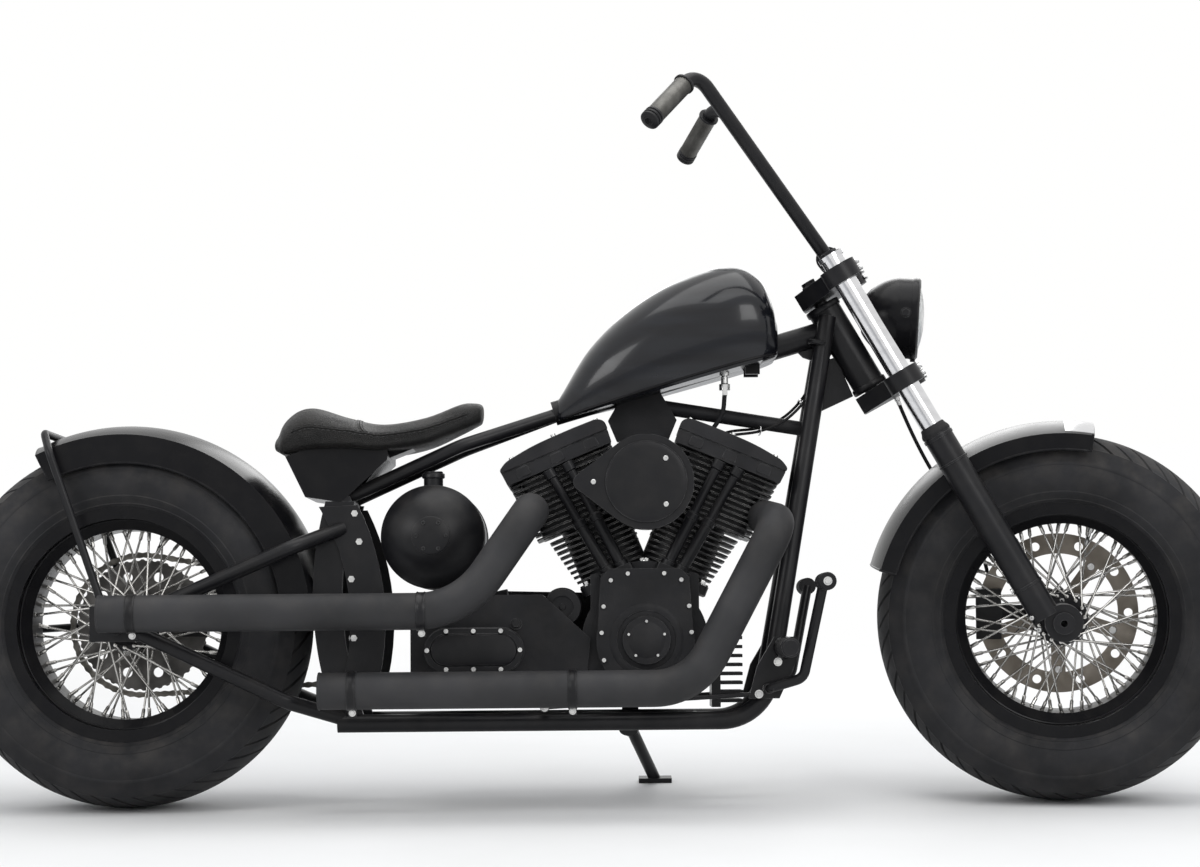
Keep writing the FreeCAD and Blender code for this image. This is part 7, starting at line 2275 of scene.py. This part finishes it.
@dataclass
class FrameFittings:
    """Frame bolts, gussets, neck rings and cables."""

    cable_radius: float = 2.6

    def build(self) -> None:
        """Make the rings, the gussets, the cables and the bolts."""
        fork = STANCE.fork()
        rings = Shell()
        stem = fork @ Matrix.Translation((-STANCE.stem_offset, 0, 0))
        for low, high in ((526, 538), (689, 701)):
            rings.lathe([(28, low), (31.5, low), (33, low + 2), (33, high - 2), (31.5, high), (28, high)], 48, True,
                        stem)
        piece("neck_rings", rings, Body.FRAME, Paint.FRAME, bevel=0.3)
        self.gussets()
        self.cables()
        self.bolts()

    def gussets(self) -> None:
        """Flat webs where the backbone and the downtubes meet the neck, and weld beads round the tubes."""
        shell = Shell()
        shell.prism([(470, 729), (440, 800), (404, 790), (385, 690)], -6, 6, facing((0, 0, 0), (0, -1, 0)))
        shell.prism([(404, 838), (436, 812), (420, 786), (380, 800), (352, 828)], -4, 4,
                    facing((0, 0, 0), (0, -1, 0)))
        self.regulator(shell)
        for side in (-1, 1):
            shell.lathe([(15.4, -5), (18.4, -3), (18.4, 3), (15.4, 5)], 28, True,
                        facing((405, side * 32, 822), (-0.24, side * 0.12, -1)))
            outline = [(-836 + r * math.cos(a), 328 + r * math.sin(a))
                       for r, run in ((404.0, np.linspace(-0.38, 0.53, 14)), (466.0, np.linspace(0.46, -0.34, 14)))
                       for a in run]
            shell.prism(outline, -3, 3, facing((0, side * 105.5, 0), (0, -1, 0)))
        piece("frame_gussets", shell, Body.FRAME, Paint.FRAME, bevel=0.6)

    def regulator(self, shell: Shell) -> None:
        """The finned block ahead of the crankcase, on a plate between the downtubes.

        Args:
            shell: the shell that it is added to.
        """
        shell.box((206, -54, 172), (222, 54, 322))
        for k in range(9):
            z = 180 + k * 16
            shell.box((220, -46, z), (262, 46, z + 6))
        shell.box((196, -70, 240), (214, 70, 256))

    def cables(self) -> None:
        """The clutch and throttle cables from the neck, and their clips."""
        fork = STANCE.fork()
        neck = fork @ Vector((-92, -14, 640))
        shell = Shell()
        for side, lift in ((-1, 0.0), (1, 9.0)):
            route = smooth_route((tuple(neck + Vector((0, side * 12, lift))), (394, side * 34, 742 + lift),
                                  (352, side * 30, 690 + lift), (300, side * 22, 666 + lift),
                                  (236, side * 20, 656 + lift), (186, side * 34, 628)), 9)
            shell.tube(route, self.cable_radius, 10)
        piece("frame_cables", shell, Body.FRAME, Paint.RUBBER)
        clips = Shell()
        for x, z in ((372, 716), (300, 668)):
            clips.tube([(x, 44 * math.cos(t), z + 7 * math.sin(t)) for t in np.linspace(0, 2 * math.pi, 32)], 1.5, 6)
        piece("cable_clips", clips, Body.FRAME, Paint.BOLT)

    def bolts(self) -> None:
        """Hexagon bolts on the engine mounts, the axle plates, the uprights and the seat."""
        rows = ((275, 13.5, 688, 1), (88, 14, 716, 1), (180, 108, 150, 1), (180, -108, 150, -1), (-60, -108, 150, -1),
                (-60, 108, 150, 1), (-424, -103.5, 520, -1), (-416, -103.5, 470, -1), (-430, -103.5, 404, -1),
                (-426, -103.5, 300, -1), (-424, 103.5, 520, 1), (-430, 103.5, 404, 1), (-426, 103.5, 300, 1),
                (-806, -168, 318, -1), (-806, 168, 318, 1), (388, -52, 669, -1), (388, 52, 669, 1))
        places = [facing((x, y, z), (0, way, 0)) for x, y, z, way in rows]
        scatter("frame_bolts", hex_head(6.6, 7), places, Body.FRAME, Paint.BOLT)
        nuts = Shell()
        for side in (-1, 1):
            turn = facing((-836, side * 178.5, 328), (0, side, 0))
            nuts.grid([[(x, y, z) for x, y in circle(r, 6)] for r, z in ((17.4, 0), (18.4, 1.2), (18.4, 8), (16.8, 10))]
                      + [[(x, y, z) for x, y in circle(6.2, 6)] for z in (10, -9)], False, True, True, turn)
        piece("rear_axle_nuts", nuts, Body.FRAME, Paint.FRAME, bevel=0.4)


@dataclass
class TailPlate:
    """The blank number plate on its carrier, its screws, and the tail lamp's ribbed lens."""

    middle: tuple = (-1112.0, 196.0, 318.0)
    wide: float = 108.0
    high: float = 172.0
    lamp: float = 24.0

    def build(self) -> None:
        """Make the plate, its screws, and the lens."""
        x, y, z = self.middle
        outline = rounded([(sx * (self.wide / 2 - 4), sz * (self.high / 2 - 4), 9.0)
                           for sx, sz in ((-1, -1), (1, -1), (1, 1), (-1, 1))])
        turn = facing((x, y + 3, z), (0, 1, 0))
        rows = [[(a * s, b * t, h) for a, b in outline]
                for s, t, h in ((1, 1, 0.4), (1, 1, 1.8), (0.985, 0.99, 2.2), (0.955, 0.97, 2.2), (0.945, 0.962, 1.7),
                                (0.4, 0.5, 1.7))]
        plate = Shell().grid(rows, False, True, True, turn)
        piece("blank_plate", plate, Body.FRAME, Paint.PLATE, bevel=0.2)
        screws = [turn @ facing((48 * math.cos(a), 48 * math.sin(a), 1.8), (0, 0, 1))
                  for a in (math.pi / 4 + math.pi / 2 * k for k in range(4))]
        scatter("plate_screws", cap_screw(4.2, 3.2), screws, Body.FRAME, Paint.BOLT)
        top = z + self.high / 2 + self.lamp
        back = facing((x + 12, y + 2, top), (-1, 0, 0))
        r = self.lamp
        lens = [(r - 2.2, 22), (r - 1.0, 27), (r - 2.4, 28.4), (r - 4, 27.4), (r - 6, 29), (r - 8, 28), (r - 10, 29.6),
                (r - 12, 28.6), (r - 14, 30), (r - 16, 29), (r - 18, 30.2), (0.1, 30.2), (0.1, 22)]
        piece("tail_lens", Shell().lathe(lens, 56, False, back), Body.FRAME, Paint.RED_GLASS)
        rim = Shell().lathe([(r - 3, 18), (r + 0.6, 18), (r + 1.2, 20), (r + 1.2, 25), (r - 0.4, 26.4), (r - 1.4, 25)],
                            56, True, back)
        piece("tail_rim", rim, Body.FRAME, Paint.GLOSS, bevel=0.2)


PARTS_IN_ORDER = (Wheel("rear", Body.REAR_WHEEL), Wheel("front", Body.FRONT_WHEEL), FrontDisc(), RearSprocket(),
                  Engine(), FuelTank(), Saddle(), Headlight(), Bars(), ForkLegs(), FenderTrim(), Chain(), Exhausts(),
                  GearCover(), OilTank(), FootControls(), FrameFittings(), TailPlate())


# ------------------------------------------------------------------ studio
@dataclass
class Studio:
    """A pale floor, soft lamps and the camera."""

    floor: float = 60.0
    lens: float = 85.6
    distance: float = 5.2
    height: float = 0.745
    across: float = 0.013
    tilt: float = 0.9
    roll: float = -0.5

    def build(self) -> None:
        """Set up everything round the machine."""
        self.ground()
        self.world()
        self.lamps()
        self.camera()
        bpy.context.scene.view_settings.view_transform = "Standard"

    def ground(self) -> None:
        """A pale floor that keeps the machine's shadow and meets the backdrop without a line."""
        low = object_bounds()[0].z
        mesh = bpy.data.meshes.new("floor")
        half = self.floor / 2
        mesh.from_pydata([(-half, -half, low), (half, -half, low), (half, half, low), (-half, half, low)], [],
                         [(0, 1, 2, 3)])
        thing = placed("floor", mesh)
        made = bpy.data.materials.new("pale_floor")
        made.use_nodes = True
        tree = made.node_tree
        shader = tree.nodes["Principled BSDF"]
        shader.inputs["Roughness"].default_value = 0.75
        shader.inputs["Specular IOR Level"].default_value = 0.1
        place = tree.nodes.new("ShaderNodeTexCoord").outputs["Object"]
        soft = ShaderKit.ramp(tree, ShaderKit.noise(tree, place, 1.5, 4.0), 0.3, 0.7)
        tree.links.new(Finishes.mix(tree, soft, (0.80, 0.80, 0.785), (0.84, 0.84, 0.83)),
                       shader.inputs["Base Color"])
        reach = tree.nodes.new("ShaderNodeVectorMath")
        reach.operation = "LENGTH"
        tree.links.new(place, reach.inputs[0])
        fade = ShaderKit.ramp(tree, reach.outputs["Value"], 1.55, 3.2)
        eye = tree.nodes.new("ShaderNodeLightPath").outputs["Is Camera Ray"]
        white = tree.nodes.new("ShaderNodeEmission")
        join = tree.nodes.new("ShaderNodeMixShader")
        tree.links.new(ShaderKit.times(tree, fade, eye), join.inputs[0])
        tree.links.new(shader.outputs[0], join.inputs[1])
        tree.links.new(white.outputs[0], join.inputs[2])
        tree.links.new(join.outputs[0], tree.nodes["Material Output"].inputs["Surface"])
        mesh.materials.append(made)
        thing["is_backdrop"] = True

    def world(self) -> None:
        """White where the camera, metal and glass look past the machine, plain grey light elsewhere."""
        sky = bpy.data.worlds.new("studio")
        bpy.context.scene.world = sky
        sky.use_nodes = True
        tree = sky.node_tree
        plain = tree.nodes["Background"]
        plain.inputs["Color"].default_value = (0.93, 0.95, 1.0, 1.0)
        plain.inputs["Strength"].default_value = 0.70
        white = tree.nodes.new("ShaderNodeBackground")
        white.inputs["Color"].default_value = (1.0, 1.0, 0.995, 1.0)
        white.inputs["Strength"].default_value = 1.0
        path = tree.nodes.new("ShaderNodeLightPath")
        seen = ShaderKit.times(tree, path.outputs["Is Camera Ray"], path.outputs["Is Glossy Ray"], "MAXIMUM")
        seen = ShaderKit.times(tree, seen, path.outputs["Is Transmission Ray"], "MAXIMUM")
        join = tree.nodes.new("ShaderNodeMixShader")
        tree.links.new(seen, join.inputs[0])
        tree.links.new(plain.outputs[0], join.inputs[1])
        tree.links.new(white.outputs[0], join.inputs[2])
        tree.links.new(join.outputs[0], tree.nodes["World Output"].inputs["Surface"])

    def lamps(self) -> None:
        """A broad lamp above and one to each side."""
        rows = (("overhead", (0.2, -0.3, 3.4), (0.0, 0.0, 0.4), 3.0, 60.0),
                ("near_side", (1.8, -3.2, 2.4), (0.2, 0.0, 0.5), 1.6, 34.0),
                ("rear_side", (-2.6, -2.2, 1.9), (-0.5, 0.0, 0.5), 1.3, 22.0),
                ("far_side", (0.5, 3.2, 2.2), (0.0, 0.0, 0.5), 2.0, 30.0))
        for name, place, aim, size, power in rows:
            lamp = bpy.data.lights.new(name, "AREA")
            lamp.shape = "SQUARE"
            lamp.size = size
            lamp.energy = power
            thing = placed(name, lamp)
            thing.location = place
            thing.rotation_euler = (Vector(aim) - Vector(place)).to_track_quat("-Z", "Y").to_euler()

    def camera(self) -> None:
        """The camera, on the machine's right."""
        eye = bpy.data.cameras.new("camera")
        eye.lens = self.lens
        eye.sensor_width = 36.0
        thing = placed("camera", eye)
        thing.location = (self.across, -self.distance, self.height)
        aim = Matrix.Rotation(math.radians(90.0 - self.tilt), 4, "X") @ Matrix.Rotation(math.radians(self.roll), 4, "Z")
        thing.rotation_euler = aim.to_euler()
        bpy.context.scene.camera = thing


# ------------------------------------------------------------------ the whole machine
CAD_PAINTS: dict[Paint, tuple[str, ...]] = {
    Paint.FRAME: ("steering_neck", "backbone_tube", "cradle_right", "cradle_left", "seat_rails", "rear_uprights",
                  "cross_tubes", "rear_stay_right", "rear_stay_left", "rear_axle", "fender_strut", "stand_bracket",
                  "foot_controls", "foot_pegs", "rear_brake_caliper", "plate_bracket", "tail_lamp", "top_tree",
                  "bottom_tree", "fork_legs", "front_axle", "handlebar", "front_brake_caliper", "front_brake_hose",
                  "front_hub", "rear_hub", "side_stand", "air_cleaner", "oil_tank", "fuel_cap", "grips"),
    Paint.GLOSS: ("rear_fender", "front_fender", "headlight_shell", "front_rim", "rear_rim", "seat_pan"),
    Paint.TANK: ("fuel_tank",),
    Paint.CASE: ("crankcase", "cam_cover", "engine_mount", "carburettor", "gearbox", "primary_cover",
                 "rocker_covers"),
    Paint.FIN: ("cylinders", "pushrod_tubes"),
    Paint.EXHAUST: ("front_exhaust_pipe", "rear_exhaust_pipe"),
    Paint.TYRE: ("front_tyre", "rear_tyre"),
    Paint.CHROME: ("fork_tubes",),
    Paint.SPOKE: ("front_spokes", "rear_spokes"),
    Paint.DISC: ("front_brake_disc",),
    Paint.DARK_DISC: ("rear_sprocket", "drive_chain"),
    Paint.HIDE: ("seat",),
    Paint.GLASS: ("headlight_lens",),
}


def main() -> None:
    """Build the machine and its studio."""
    logging.basicConfig(level=logging.INFO, format="%(message)s")
    for paint, nodes in CAD_PAINTS.items():
        FINISHES.repaint(nodes, paint)
    for part in PARTS_IN_ORDER:
        log.info("building %s", type(part).__name__)
        part.build()
    Studio().build()


if __name__ == "__main__":
    main()
